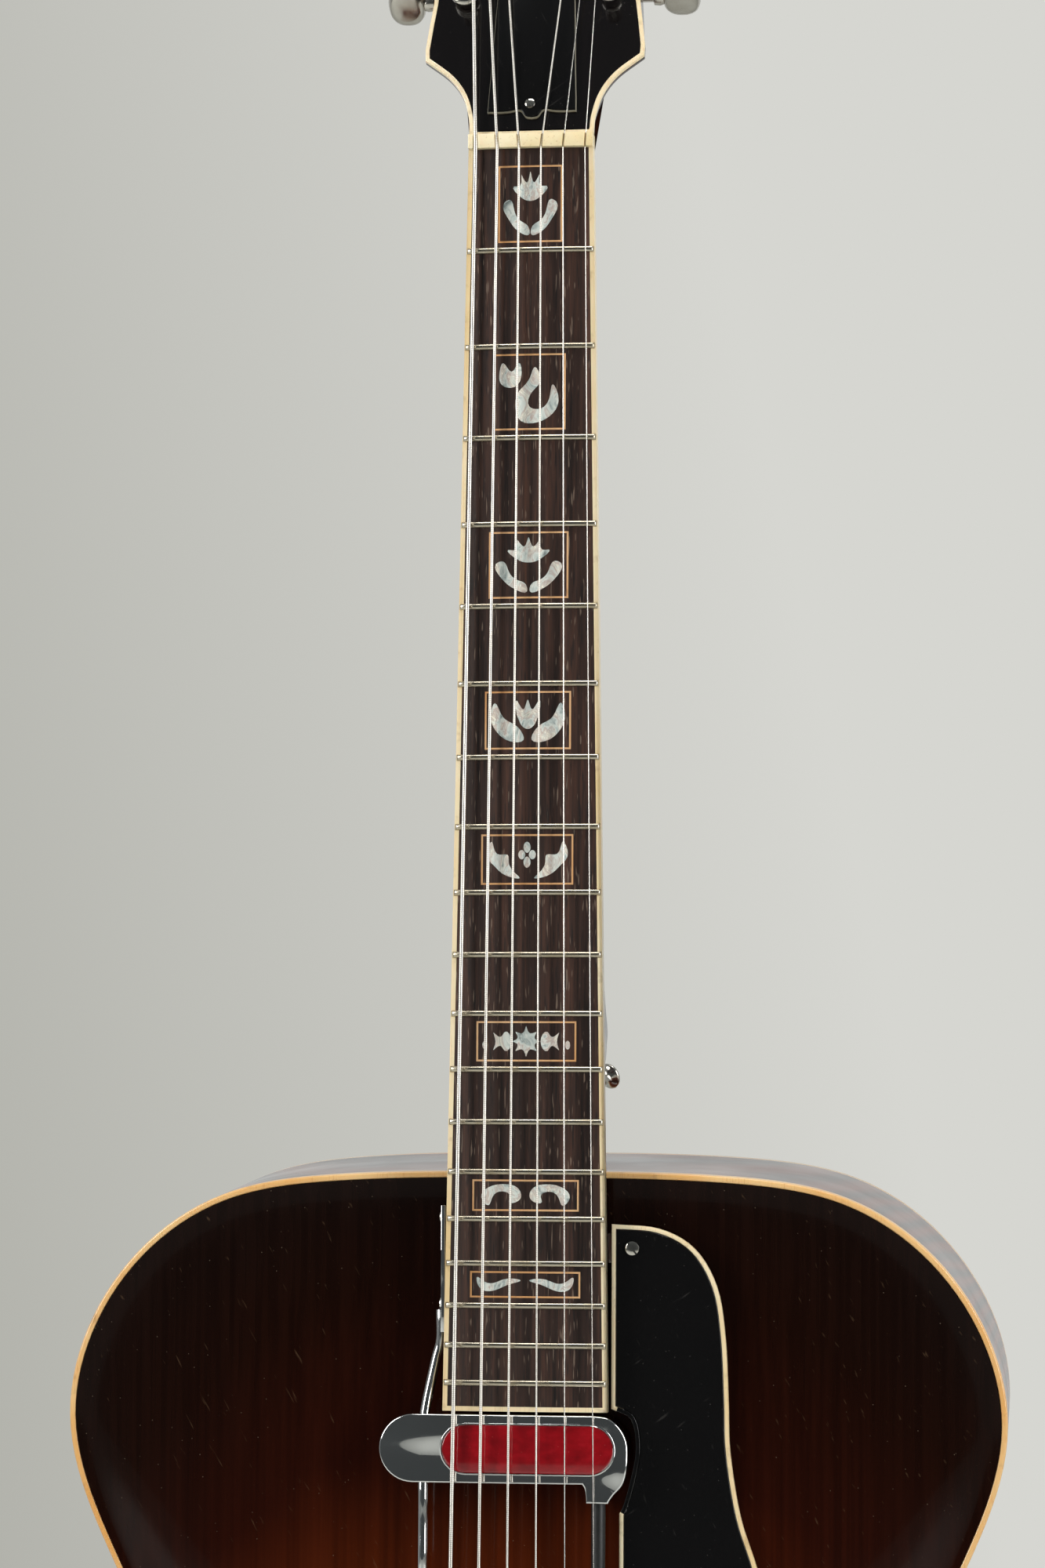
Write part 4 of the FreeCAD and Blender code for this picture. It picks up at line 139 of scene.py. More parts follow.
def open_spline(knots: Points, steps: int) -> Points:
    """Draw a smooth open curve through knots.

    Args:
        knots: the points it goes through, in order.
        steps: how many points each span gets.

    Returns:
        The points of the curve, its last knot included.
    """
    ends = [knots[0] * 2 - knots[1], *knots, knots[-1] * 2 - knots[-2]]
    drawn = []
    for a, b, c, d in zip(ends, ends[1:], ends[2:], ends[3:]):
        for step in range(steps):
            t = step / steps
            drawn.append((b * 2 + (c - a) * t + (a * 2 - b * 5 + c * 4 - d) * t**2
                          + (b * 3 - a - c * 3 + d) * t**3) * 0.5)
    return drawn + [knots[-1].copy()]


class Form:
    """A piece in the making: a bmesh in millimetres."""

    def __init__(self) -> None:
        """Start with nothing."""
        self.bm = bmesh.new()

    def ring(self, points: Points, closed: bool = True) -> list[bmesh.types.BMVert]:
        """Join points into a line of edges.

        Args:
            points: the corners in order.
            closed: whether the last joins the first.

        Returns:
            The corners' vertices.
        """
        verts = [self.bm.verts.new(point) for point in points]
        for a, b in zip(verts, verts[1:] + verts[:1] if closed else verts[1:]):
            self.bm.edges.new((a, b))
        return verts

    def grow(self, verts: list[bmesh.types.BMVert], points: Points) -> list[bmesh.types.BMVert]:
        """Extrude a line of edges and lay the new one on other points.

        Args:
            verts: the line's vertices in order.
            points: where the new line's vertices go.

        Returns:
            The new line's vertices.
        """
        old = set(verts)
        edges = {edge for vert in verts for edge in vert.link_edges
                 if edge.other_vert(vert) in old and len(edge.link_faces) < 2}
        made = bmesh.ops.extrude_edge_only(self.bm, edges=list(edges))
        fresh = {item for item in made["geom"] if isinstance(item, bmesh.types.BMVert)}
        moved = []
        for vert, point in zip(verts, points):
            new = next(edge.other_vert(vert) for edge in vert.link_edges if edge.other_vert(vert) in fresh)
            new.co = point
            moved.append(new)
        return moved

    def cap(self, verts: list[bmesh.types.BMVert]) -> bmesh.types.BMFace:
        """Close a ring with one face."""
        return self.bm.faces.new(verts)

    def loft(self, rings: list[Points], closed: bool = True, capped: bool = True) -> "Form":
        """Skin a row of rings.

        Args:
            rings: the corners of each ring, as many in each.
            closed: whether each ring closes.
            capped: whether the first and last are closed with faces.

        Returns:
            The form itself.
        """
        verts = self.ring(rings[0], closed)
        first = verts
        for points in rings[1:]:
            verts = self.grow(verts, points)
        if capped:
            self.cap(first)
            self.cap(verts)
        return self

    def prism(self, points: Points, along: Vector) -> "Form":
        """Push a flat outline along a vector."""
        return self.loft([points, [point + along for point in points]])

    def lathe(self, profile: list[tuple[float, float]], seat: Vector, along: Vector, steps: int = 24) -> "Form":
        """Spin a profile about an axis.

        Args:
            profile: distances along the axis and out from it.
            seat: where the axis starts.
            along: the axis.
            steps: how many faces go round.

        Returns:
            The form itself.
        """
        out = along.orthogonal().normalized()
        line = self.ring([seat + along * far + out * wide for far, wide in profile], closed=False)
        geom = [*line, *{edge for vert in line for edge in vert.link_edges}]
        bmesh.ops.spin(self.bm, geom=geom, cent=seat, axis=along, angle=math.tau, steps=steps, use_merge=True)
        bmesh.ops.remove_doubles(self.bm, verts=self.bm.verts[:], dist=1e-5)
        return self

    def coil(self, section: Points, seat: Vector, along: Vector, pitch: float, turns: float, steps: int = 20) -> "Form":
        """Wind a section round an axis as a helix.

        Args:
            section: the corners of what is wound.
            seat: a point of the axis.
            along: the axis.
            pitch: how far one turn climbs.
            turns: how many turns there are.
            steps: how many faces a turn has.

        Returns:
            The form itself.
        """
        line = self.ring(section)
        self.cap(line)
        geom = [*line, *{edge for vert in line for edge in vert.link_edges}]
        count = max(int(turns * steps), 3)
        made = bmesh.ops.spin(self.bm, geom=geom, cent=seat, axis=along, angle=math.tau * turns, steps=count,
                              dvec=along * (pitch * turns / count))
        last = [item for item in made["geom_last"] if isinstance(item, bmesh.types.BMEdge)]
        bmesh.ops.holes_fill(self.bm, edges=last, sides=len(section))
        return self

    def tube(self, path: Points, radius: float, sides: int = 12) -> "Form":
        """Sweep a round section along a path.

        Args:
            path: the middle of the tube.
            radius: the radius of the tube.
            sides: how many faces go round.

        Returns:
            The form itself.
        """
        ways = [(b - a).normalized() for a, b in zip(path, path[1:])]
        ways = [ways[0]] + [(a + b).normalized() for a, b in zip(ways, ways[1:])] + [ways[-1]]
        side = ways[0].orthogonal().normalized()
        rings = []
        for point, way in zip(path, ways):
            side = (side - way * side.dot(way)).normalized()
            other = way.cross(side)
            turns = [math.tau * i / sides for i in range(sides)]
            rings.append([point + (side * math.cos(t) + other * math.sin(t)) * radius for t in turns])
        return self.loft(rings)

    def corners(self, angle: float = 35.0, test: object = None) -> list[bmesh.types.BMEdge]:
        """Find the edges sharper than an angle.

        Args:
            angle: the least angle in degrees.
            test: an optional test that an edge's middle has to pass.

        Returns:
            The edges found.
        """
        self.bm.normal_update()
        found = []
        for edge in self.bm.edges:
            if len(edge.link_faces) == 2 and edge.calc_face_angle(0.0) > math.radians(angle):
                if test is None or test((edge.verts[0].co + edge.verts[1].co) / 2):
                    found.append(edge)
        return found

    def round(self, width: float, segments: int = 2, angle: float = 35.0, test: object = None) -> "Form":
        """Round the edges sharper than an angle.

        Args:
            width: how far the rounding reaches.
            segments: how many faces it has.
            angle: the least angle of an edge that is rounded.
            test: an optional test that an edge's middle has to pass.

        Returns:
            The form itself.
        """
        bmesh.ops.recalc_face_normals(self.bm, faces=self.bm.faces[:])
        bmesh.ops.bevel(self.bm, geom=self.corners(angle, test), offset=width, offset_type="OFFSET", affect="EDGES",
                        segments=segments, profile=0.5, clamp_overlap=True, material=-1)
        return self

    def slice_across(self, lows: list[float]) -> "Form":
        """Cut edges in where upright planes cross the form, so that it can follow a round."""
        for low in lows:
            bmesh.ops.bisect_plane(self.bm, geom=[*self.bm.verts, *self.bm.edges, *self.bm.faces], dist=1e-5,
                                   plane_co=(low, 0, 0), plane_no=(1, 0, 0))
        return self

    def shift(self, move: object) -> "Form":
        """Move every vertex by a rule that gives its new place."""
        for vert in self.bm.verts:
            vert.co = move(vert.co)
        return self

    def part(self, test: Callable[[Vector], bool]) -> "Form":
        """Take the faces whose middle passes a test into a form of their own, and close both.

        Args:
            test: says whether a face with this middle goes.

        Returns:
            The form that was taken.
        """
        taken = Form()
        taken.bm.free()
        taken.bm = self.bm.copy()
        for bm, keep in ((self.bm, False), (taken.bm, True)):
            drop = [face for face in bm.faces if test(face.calc_center_median()) != keep]
            bmesh.ops.delete(bm, geom=drop, context="FACES")
            bmesh.ops.holes_fill(bm, edges=[edge for edge in bm.edges if edge.is_boundary], sides=4)
        return taken

    def add(self, other: "Form", place: Matrix | None = None) -> "Form":
        """Join another form to this one.

        Args:
            other: the form that joins, which is used up.
            place: where it goes, in this form's frame.

        Returns:
            The form itself.
        """
        if place is not None:
            other.bm.transform(place)
        store = bpy.data.meshes.new("joining")
        other.bm.to_mesh(store)
        self.bm.from_mesh(store)
        bpy.data.meshes.remove(store)
        other.bm.free()
        return self

    def mesh(self, name: str, place: Matrix, sharp: float = 40.0) -> bpy.types.Mesh:
        """Clean the form and turn it into a mesh in metres.

        Args:
            name: the mesh's name.
            place: the frame it is set in.
            sharp: the angle in degrees past which an edge stays sharp.

        Returns:
            The mesh.
        """
        bmesh.ops.remove_doubles(self.bm, verts=self.bm.verts[:], dist=1e-4)
        bmesh.ops.recalc_face_normals(self.bm, faces=self.bm.faces[:])
        self.bm.transform(Matrix.Scale(MM, 4) @ place)
        self.bm.normal_update()
        for face in self.bm.faces:
            face.smooth = True
        for edge in self.bm.edges:
            edge.smooth = edge.calc_face_angle(0.0) < math.radians(sharp)
        made = bpy.data.meshes.new(name)
        self.bm.to_mesh(made)
        self.bm.free()
        return made


def settle(form: Form, name: str, finish: "Finish", body: str = "guitar", place: Matrix = NECK,
           replaces: tuple[str, ...] = (), sharp: float = 40.0) -> bpy.types.Object:
    """Set a form in the frame as a finished piece.

    Args:
        form: the form, which is used up.
        name: the piece's name.
        finish: what it is made of.
        body: the moving body it rides on.
        place: the frame that it was worked in.
        replaces: the CAD nodes that it stands for.
        sharp: the angle past which an edge stays sharp.

    Returns:
        The piece.
    """
    piece = bpy.data.objects.new(name, form.mesh(name, place, sharp))
    bpy.context.scene.collection.objects.link(piece)
    piece.data.materials.append(finish.material())
    if body:
        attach(piece, body)
    if replaces:
        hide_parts(*replaces)
    LOG.info("piece %s: %d faces", name, len(piece.data.polygons))
    return piece


def carve(piece: bpy.types.Object, cutters: list[Form], place: Matrix, sharp: float = 40.0) -> None:
    """Cut forms out of a piece.

    Args:
        piece: what is cut.
        cutters: the forms that are taken away, one after another.
        place: the frame that the cutters were worked in.
        sharp: the angle past which an edge stays sharp.
    """
    for number, cutter in enumerate(cutters):
        tool = bpy.data.objects.new("cutter", cutter.mesh("cutter", place))
        bpy.context.scene.collection.objects.link(tool)
        cut = piece.modifiers.new("cut", "BOOLEAN")
        cut.object, cut.operation, cut.solver = tool, "DIFFERENCE", "EXACT"
        scene_now = bpy.context.evaluated_depsgraph_get()
        fresh = bpy.data.meshes.new_from_object(piece.evaluated_get(scene_now))
        piece.modifiers.clear()
        old, piece.data = piece.data, fresh
        bpy.data.meshes.remove(old)
        bpy.data.objects.remove(tool)
    edged = bmesh.new()
    edged.from_mesh(piece.data)
    edged.normal_update()
    for face in edged.faces:
        face.smooth = True
    for edge in edged.edges:
        edge.smooth = edge.calc_face_angle(0.0) < math.radians(sharp)
    edged.to_mesh(piece.data)
    edged.free()


def from_cad(node: str) -> Form:
    """Copy a CAD node into a form, its loose triangles merged into whole faces.

    Args:
        node: the node's name.

    Returns:
        The form, in millimetres in the neck's frame.
    """
    form = Form()
    form.bm.from_mesh(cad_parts[node].data)
    bmesh.ops.transform(form.bm, matrix=Matrix.Scale(1 / MM, 4), verts=form.bm.verts[:])
    bmesh.ops.remove_doubles(form.bm, verts=form.bm.verts[:], dist=2e-3)
    bmesh.ops.dissolve_limit(form.bm, angle_limit=math.radians(0.6), verts=form.bm.verts[:], edges=form.bm.edges[:])
    return form


def dress(node: str, finish: "Finish") -> None:
    """Give a CAD node that stays a finish."""
    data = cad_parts[node].data
    data.materials.clear()
    data.materials.append(finish.material())


class Graph:
    """One material's nodes, laid out as they are asked for."""

    def __init__(self, name: str) -> None:
        """Start a material with its shader and its place on the object.

        Args:
            name: the material's name.
        """
        self.made = bpy.data.materials.new(name)
        self.made.use_nodes = True
        self.tree = self.made.node_tree
        self.tree.nodes.clear()
        output = self.tree.nodes.new("ShaderNodeOutputMaterial")
        self.shader = self.tree.nodes.new("ShaderNodeBsdfPrincipled")
        self.tree.links.new(self.shader.outputs[0], output.inputs[0])
        self.place = self.tree.nodes.new("ShaderNodeTexCoord").outputs["Object"]

    def node(self, kind: str, settings: dict[str, object], sockets: dict[object, object]) -> bpy.types.Node:
        """Add a node.

        Args:
            kind: the node's type after ShaderNode.
            settings: its own properties.
            sockets: its inputs, each a number, a colour or another node's output.

        Returns:
            The node.
        """
        added = self.tree.nodes.new("ShaderNode" + kind)
        for key, value in settings.items():
            setattr(added, key, value)
        for key, value in sockets.items():
            if isinstance(value, bpy.types.NodeSocket):
                self.tree.links.new(value, added.inputs[key])
            else:
                added.inputs[key].default_value = value
        return added

    def stretched(self, scale: tuple[float, float, float], move: tuple[float, float, float] = (0, 0, 0),
                  turn: tuple[float, float, float] = (0, 0, 0)) -> bpy.types.NodeSocket:
        """The place on the object, scaled, then turned, then moved."""
        return self.node("Mapping", {}, {"Vector": self.place, "Scale": scale, "Location": move,
                                         "Rotation": turn}).outputs[0]

    def noise(self, scale: tuple[float, float, float], detail: float = 3.0, rough: float = 0.5,
              bend: float = 0.0) -> bpy.types.NodeSocket:
        """A noise of so many cells a metre each way."""
        return self.node("TexNoise", {}, {"Vector": self.stretched(scale), "Scale": 1.0, "Detail": detail,
                                          "Roughness": rough, "Distortion": bend}).outputs[0]

    def cells(self, scale: tuple[float, float, float], output: int = 0) -> bpy.types.NodeSocket:
        """Scattered cells, so many a metre each way: the distance to each, or its colour."""
        return self.node("TexVoronoi", {}, {"Vector": self.stretched(scale), "Scale": 1.0}).outputs[output]

    def bands(self, scale: tuple[float, float, float], direction: str, bend: float = 0.0,
              detail: float = 2.0) -> bpy.types.NodeSocket:
        """Even bands across a direction, bent by a noise."""
        return self.node("TexWave", {"bands_direction": direction},
                         {"Vector": self.stretched(scale), "Scale": 1.0, "Distortion": bend, "Detail": detail,
                          "Detail Scale": 1.0}).outputs[1]

    def math(self, work: str, a: object, b: object = 0.0) -> bpy.types.NodeSocket:
        """Work two values into one."""
        return self.node("Math", {"operation": work}, {0: a, 1: b}).outputs[0]

    def spread(self, value: object, low: float, high: float, to_low: float = 0.0,
               to_high: float = 1.0) -> bpy.types.NodeSocket:
        """Stretch a value from one range to another, and hold it there."""
        return self.node("MapRange", {}, {"Value": value, "From Min": low, "From Max": high, "To Min": to_low,
                                          "To Max": to_high}).outputs[0]

    def ramp(self, value: object, stops: tuple[tuple[float, str], ...]) -> bpy.types.NodeSocket:
        """Turn a value into a colour by stops.

        Args:
            value: the value from 0 to 1.
            stops: each a value and its written colour.

        Returns:
            The colour.
        """
        added = self.node("ValToRGB", {}, {0: value})
        while len(added.color_ramp.elements) < len(stops):
            added.color_ramp.elements.new(0.5)
        for element, (at, code) in zip(added.color_ramp.elements, stops):
            element.position = at
            element.color = tint(code)
        return added.outputs[0]

    def blend(self, share: object, a: object, b: object, way: str = "MIX") -> bpy.types.NodeSocket:
        """Blend two colours by a share."""
        return self.node("Mix", {"data_type": "RGBA", "blend_type": way}, {0: share, 6: a, 7: b}).outputs[2]

    def bump(self, height: object, strength: float, depth: float, under: object = None) -> bpy.types.NodeSocket:
        """Raise a height into the surface's normal."""
        sockets = {"Height": height, "Strength": strength, "Distance": depth}
        if under is not None:
            sockets["Normal"] = under
        return self.node("Bump", {}, sockets).outputs[0]

    def scratches(self, turn: float, scale: float = 60.0) -> bpy.types.NodeSocket:
        """Fine hair scratches that run one way."""
        place = self.stretched((scale, scale, scale), turn=(0.2, turn, 0.1))
        thin = self.node("Mapping", {}, {"Vector": place, "Scale": (14.0, 14.0, 0.5)}).outputs[0]
        lines = self.node("TexNoise", {}, {"Vector": thin, "Scale": 1.0, "Detail": 2.0}).outputs[0]
        return self.spread(lines, 0.70, 0.80)

    def close(self, base: object, rough: object, normal: object = None, **fixed: object) -> bpy.types.Material:
        """Join everything to the shader.

        Args:
            base: the colour.
            rough: the roughness.
            normal: the normal, where the surface is worked.
            fixed: what is the same all over, by its socket's name with underscores.

        Returns:
            The material.
        """
        sockets = {"Base Color": base, "Roughness": rough}
        if normal is not None:
            sockets["Normal"] = normal
        for key, value in fixed.items():
            sockets[key.replace("_", " ")] = value
        for key, value in sockets.items():
            if isinstance(value, bpy.types.NodeSocket):
                self.tree.links.new(value, self.shader.inputs[key])
            else:
                self.shader.inputs[key].default_value = value
        return self.made


@dataclass(frozen=True)
class Finish:
    """A surface that pieces are given."""

    name: str
    slot: str

    def material(self) -> bpy.types.Material:
        """The finish's material, made once."""
        return bpy.data.materials.get(self.name) or self.mix(Graph(self.name))

    def mix(self, graph: Graph) -> bpy.types.Material:
        """Lay the finish's nodes."""
        raise NotImplementedError


@dataclass(frozen=True)
class BurstLacquer(Finish):
    """Spruce under a lacquer that darkens from the bridge outwards."""

    middle: float = -0.648
    half_wide: float = 0.24
    half_high: float = 0.30

    def mix(self, graph: Graph) -> bpy.types.Material:
        """Lay the finish's nodes."""
        scale = (1 / self.half_wide, 0.0, 1 / self.half_high)
        ring = graph.stretched(scale, move=(0.0, 0.0, -self.middle / self.half_high))
        far = graph.node("VectorMath", {"operation": "LENGTH"}, {0: ring}).outputs["Value"]
        cloud = graph.spread(graph.noise((9, 9, 9), 3.0), 0.3, 0.7, -0.035, 0.035)
        burst = graph.ramp(graph.math("ADD", far, cloud), (
            (0.0, "c98034"), (0.20, "b5651c"), (0.32, "8c4310"), (0.44, "662a09"), (0.56, "441806"),
            (0.72, "240a04"), (0.90, "170804"), (1.0, "140906")))
        grain = graph.noise((900, 900, 9), 3.0, 0.6)
        lines = graph.spread(graph.noise((330, 330, 3), 1.0), 0.35, 0.65, 0.80, 1.12)
        shade = graph.math("MULTIPLY", graph.spread(grain, 0.3, 0.7, 0.86, 1.1), lines)
        grey = graph.node("CombineColor", {}, {0: shade, 1: shade, 2: shade}).outputs[0]
        wood = graph.blend(1.0, burst, grey, "MULTIPLY")
        dust = graph.spread(graph.cells((260, 260, 260)), 0.0, 0.055, 1.0, 0.0)
        wood = graph.blend(graph.math("MULTIPLY", dust, 0.30), wood, tint("b9a48c"))
        scuff = graph.scratches(0.5)
        wood = graph.blend(graph.math("MULTIPLY", scuff, 0.10), wood, tint("a08060"))
        wear = graph.spread(graph.noise((30, 30, 30), 4.0), 0.3, 0.75, 0.12, 0.22)
        low = graph.bump(graph.noise((330, 330, 6), 2.0), 0.12, 0.0002)
        return graph.close(wood, wear, graph.bump(scuff, 0.05, 0.0001, low), Coat_Weight=0.16, Coat_Roughness=0.05,
                           Specular_IOR_Level=0.06)


@dataclass(frozen=True)
class FlamedLacquer(Finish):
    """Maple or mahogany under a dark red brown lacquer, with a faint flame across."""

    dark: str = "1a0905"
    light: str = "6a2c12"
    flame: float = 60.0

    def mix(self, graph: Graph) -> bpy.types.Material:
        """Lay the finish's nodes."""
        stripe = graph.bands((self.flame / 6, self.flame / 6, self.flame), "Z", 5.0, 3.0)
        fibre = graph.noise((700, 700, 12), 3.0, 0.6)
        share = graph.math("ADD", graph.math("MULTIPLY", stripe, 0.55), graph.math("MULTIPLY", fibre, 0.45))
        wood = graph.ramp(share, ((0.15, self.dark), (0.85, self.light)))
        scuff = graph.scratches(1.1)
        wood = graph.blend(graph.math("MULTIPLY", scuff, 0.12), wood, tint("8a6b52"))
        wear = graph.spread(graph.noise((26, 26, 26), 4.0), 0.3, 0.75, 0.14, 0.28)
        return graph.close(wood, wear, graph.bump(fibre, 0.05, 0.0001), Coat_Weight=0.3, Coat_Roughness=0.06,
                           Specular_IOR_Level=0.2)


@dataclass(frozen=True)
class RawWood(Finish):
    """Bare wood of the inside."""

    dark: str = "a9875c"
    light: str = "d8bd8c"

    def mix(self, graph: Graph) -> bpy.types.Material:
        """Lay the finish's nodes."""
        grain = graph.noise((420, 420, 14), 4.0, 0.6)
        wood = graph.ramp(grain, ((0.3, self.dark), (0.7, self.light)))
        return graph.close(wood, graph.spread(grain, 0.3, 0.7, 0.6, 0.8), graph.bump(grain, 0.25, 0.0003))


@dataclass(frozen=True)
class OpenPored(Finish):
    """Oiled rosewood: dark streaks along the grain and short open pores."""

    dark: str = "140c09"
    middle: str = "2a1912"
    light: str = "46291b"

    def mix(self, graph: Graph) -> bpy.types.Material:
        """Lay the finish's nodes."""
        streak = graph.noise((260, 260, 7), 4.0, 0.6, 0.3)
        fine = graph.noise((1500, 1500, 45), 2.0, 0.6)
        share = graph.math("ADD", graph.math("MULTIPLY", streak, 0.72), graph.math("MULTIPLY", fine, 0.3))
        wood = graph.ramp(share, ((0.34, self.dark), (0.50, self.middle), (0.66, self.light)))
        pores = graph.spread(graph.noise((1500, 1500, 90), 1.0), 0.60, 0.68)
        wood = graph.blend(graph.math("MULTIPLY", pores, 0.75), wood, tint("0a0605"))
        dust = graph.spread(graph.noise((1500, 1500, 130), 1.0), 0.66, 0.71)
        wood = graph.blend(graph.math("MULTIPLY", dust, 0.42), wood, tint("8d7a6a"))
        rough = graph.spread(streak, 0.3, 0.7, 0.34, 0.52)
        return graph.close(wood, rough, graph.bump(pores, -0.35, 0.00015), Coat_Weight=0.12, Coat_Roughness=0.25)


@dataclass(frozen=True)
class Ivoroid(Finish):
    """Aged cream celluloid with faint long lines."""

    pale: str = "efe0be"
    aged: str = "dcc08c"
    line: str = "c79a5c"

    def mix(self, graph: Graph) -> bpy.types.Material:
        """Lay the finish's nodes."""
        age = graph.spread(graph.noise((22, 22, 22), 3.0), 0.3, 0.7)
        cream = graph.blend(age, tint(self.pale), tint(self.aged))
        lines = graph.spread(graph.noise((2600, 2600, 30), 2.0), 0.58, 0.72, 0.0, 0.45)
        cream = graph.blend(lines, cream, tint(self.line))
        grime = graph.spread(graph.noise((180, 180, 180), 4.0), 0.60, 0.80, 0.0, 0.5)
        cream = graph.blend(grime, cream, tint("7a5528"))
        return graph.close(cream, graph.spread(age, 0.0, 1.0, 0.25, 0.36), graph.bump(lines, 0.04, 0.0001),
                           Coat_Weight=0.5, Coat_Roughness=0.12, Subsurface_Weight=0.08, Subsurface_Scale=0.001)


@dataclass(frozen=True)
class Shell(Finish):
    """Mother of pearl: soft sheets of grey, green, rose and gold."""

    def mix(self, graph: Graph) -> bpy.types.Material:
        """Lay the finish's nodes."""
        sheet = graph.noise((150, 150, 90), 4.0, 0.62, 1.6)
        colour = graph.ramp(sheet, ((0.28, "6f7a78"), (0.40, "b9c2bd"), (0.48, "e9ece2"), (0.55, "c9b7ad"),
                                    (0.62, "f0e9d8"), (0.75, "8f9a95")))
        flash = graph.spread(graph.noise((420, 420, 240), 2.0, 0.5, 2.0), 0.45, 0.6)
        colour = graph.blend(graph.math("MULTIPLY", flash, 0.35), colour, tint("d5e4df"))
        return graph.close(colour, graph.spread(sheet, 0.3, 0.7, 0.16, 0.3), graph.bump(sheet, 0.08, 0.0003),
                           Metallic=0.25, Coat_Weight=0.6, Coat_Roughness=0.08)


@dataclass(frozen=True)
class Bone(Finish):
    """Polished bone, yellowed towards its foot."""

    def mix(self, graph: Graph) -> bpy.types.Material:
        """Polished bone, yellowed in soft patches."""
        age = graph.spread(graph.noise((70, 70, 70), 4.0), 0.35, 0.7)
        colour = graph.blend(age, tint("efe2bf"), tint("e2cd9c"))
        pits = graph.spread(graph.noise((1500, 1500, 1500), 1.0), 0.64, 0.72)
        colour = graph.blend(graph.math("MULTIPLY", pits, 0.35), colour, tint("a8874f"))
        return graph.close(colour, 0.3, graph.bump(pits, -0.1, 0.0001), Coat_Weight=0.3, Coat_Roughness=0.15,
                           Subsurface_Weight=0.1, Subsurface_Scale=0.001)


@dataclass(frozen=True)
class Metal(Finish):
    """Plated or plain metal with wear, tarnish and fine scratches."""

    colour: str = "c9c4ba"
    tarnish: str = "8d8577"
    rough: float = 0.16
    worn: float = 0.35
    amount: float = 0.35
    wave: float = 0.0

    def mix(self, graph: Graph) -> bpy.types.Material:
        """Lay the finish's nodes."""
        cloud = graph.noise((110, 110, 110), 5.0, 0.6)
        share = graph.spread(cloud, 0.45, 0.72, 0.0, self.amount)
        colour = graph.blend(share, tint(self.colour), tint(self.tarnish))
        scuff = graph.scratches(0.8, 90.0)
        rough = graph.math("ADD", graph.spread(cloud, 0.4, 0.75, self.rough, self.worn),
                           graph.math("MULTIPLY", scuff, 0.15))
        low = graph.bump(graph.noise((26, 26, 60), 0.0), self.wave, 0.004)
        return graph.close(colour, rough, graph.bump(scuff, 0.05, 0.00005, low), Metallic=1.0)


@dataclass(frozen=True)
class Winding(Finish):
    """The wrap of a wound string: close turns of bright wire across its length, painted darker in the grooves between
    turns as painted shade and paler on their crowns as painted highlight.
    """

    turns: float = 750.0

    def mix(self, graph: Graph) -> bpy.types.Material:
        """Lay the finish's nodes."""
        turns = graph.bands((1.0, 1.0, self.turns), "Z")
        dirt = graph.noise((400, 400, 60), 3.0)
        # Painted shade and highlight: across each turn the colour swings from a darker grey in the groove to a pale
        # grey on the crown.
        colour = graph.blend(graph.spread(turns, 0.0, 0.5), tint("a39c90"), tint("efebe2"))
        colour = graph.blend(graph.spread(dirt, 0.5, 0.8, 0.0, 0.2), colour, tint("6d5c45"))
        return graph.close(colour, 0.38, graph.bump(turns, 0.35, 0.00005), Metallic=1.0)


@dataclass(frozen=True)
class Moulded(Finish):
    """Plastic or lacquered board, polished or dull, with dust and scratches."""

    colour: str = "0b0b0c"
    dust: str = "6e6a66"
    rough: float = 0.12
    coat: float = 0.8
    dusty: float = 0.25
    scuffed: float = 0.3

    def mix(self, graph: Graph) -> bpy.types.Material:
        """Lay the finish's nodes."""
        scuff = graph.math("MAXIMUM", graph.scratches(0.45), graph.scratches(2.2, 45.0))
        specks = graph.spread(graph.cells((420, 420, 420)), 0.02, 0.075, 1.0, 0.0)
        colour = graph.blend(graph.math("MULTIPLY", scuff, self.scuffed), tint(self.colour), tint(self.dust))
        colour = graph.blend(graph.math("MULTIPLY", specks, self.dusty), colour, tint(self.dust))
        smear = graph.noise((34, 34, 34), 4.0, 0.6)
        rough = graph.spread(smear, 0.3, 0.75, self.rough, self.rough + 0.08)
        return graph.close(colour, rough, graph.bump(scuff, 0.06, 0.0001), Coat_Weight=self.coat, Coat_Roughness=0.05,
                           Specular_IOR_Level=0.3)


@dataclass(frozen=True)
class Glazing(Finish):
    """A clear red pane over the coil."""

    def mix(self, graph: Graph) -> bpy.types.Material:
        """Lay the finish's nodes."""
        deep = graph.noise((120, 60, 200), 3.0, 0.6)
        colour = graph.ramp(deep, ((0.25, "6e050d"), (0.55, "8f0a14"), (0.8, "a81420")))
        specks = graph.spread(graph.cells((500, 500, 500)), 0.02, 0.07, 0.35, 0.0)
        colour = graph.blend(specks, colour, tint("c98a84"))
        return graph.close(colour, graph.spread(deep, 0.3, 0.7, 0.05, 0.12), Transmission_Weight=0.15, IOR=1.49,
                           Coat_Weight=0.6, Coat_Roughness=0.05)


@dataclass(frozen=True)
class Rubber(Finish):
    """Dull black rubber."""

    def mix(self, graph: Graph) -> bpy.types.Material:
        """Lay the finish's nodes."""
        grain = graph.noise((900, 900, 900), 3.0)
        colour = graph.blend(graph.spread(grain, 0.4, 0.7, 0.0, 0.5), tint("121212"), tint("1d1c1b"))
        return graph.close(colour, graph.spread(grain, 0.3, 0.7, 0.36, 0.5), graph.bump(grain, 0.15, 0.0001))


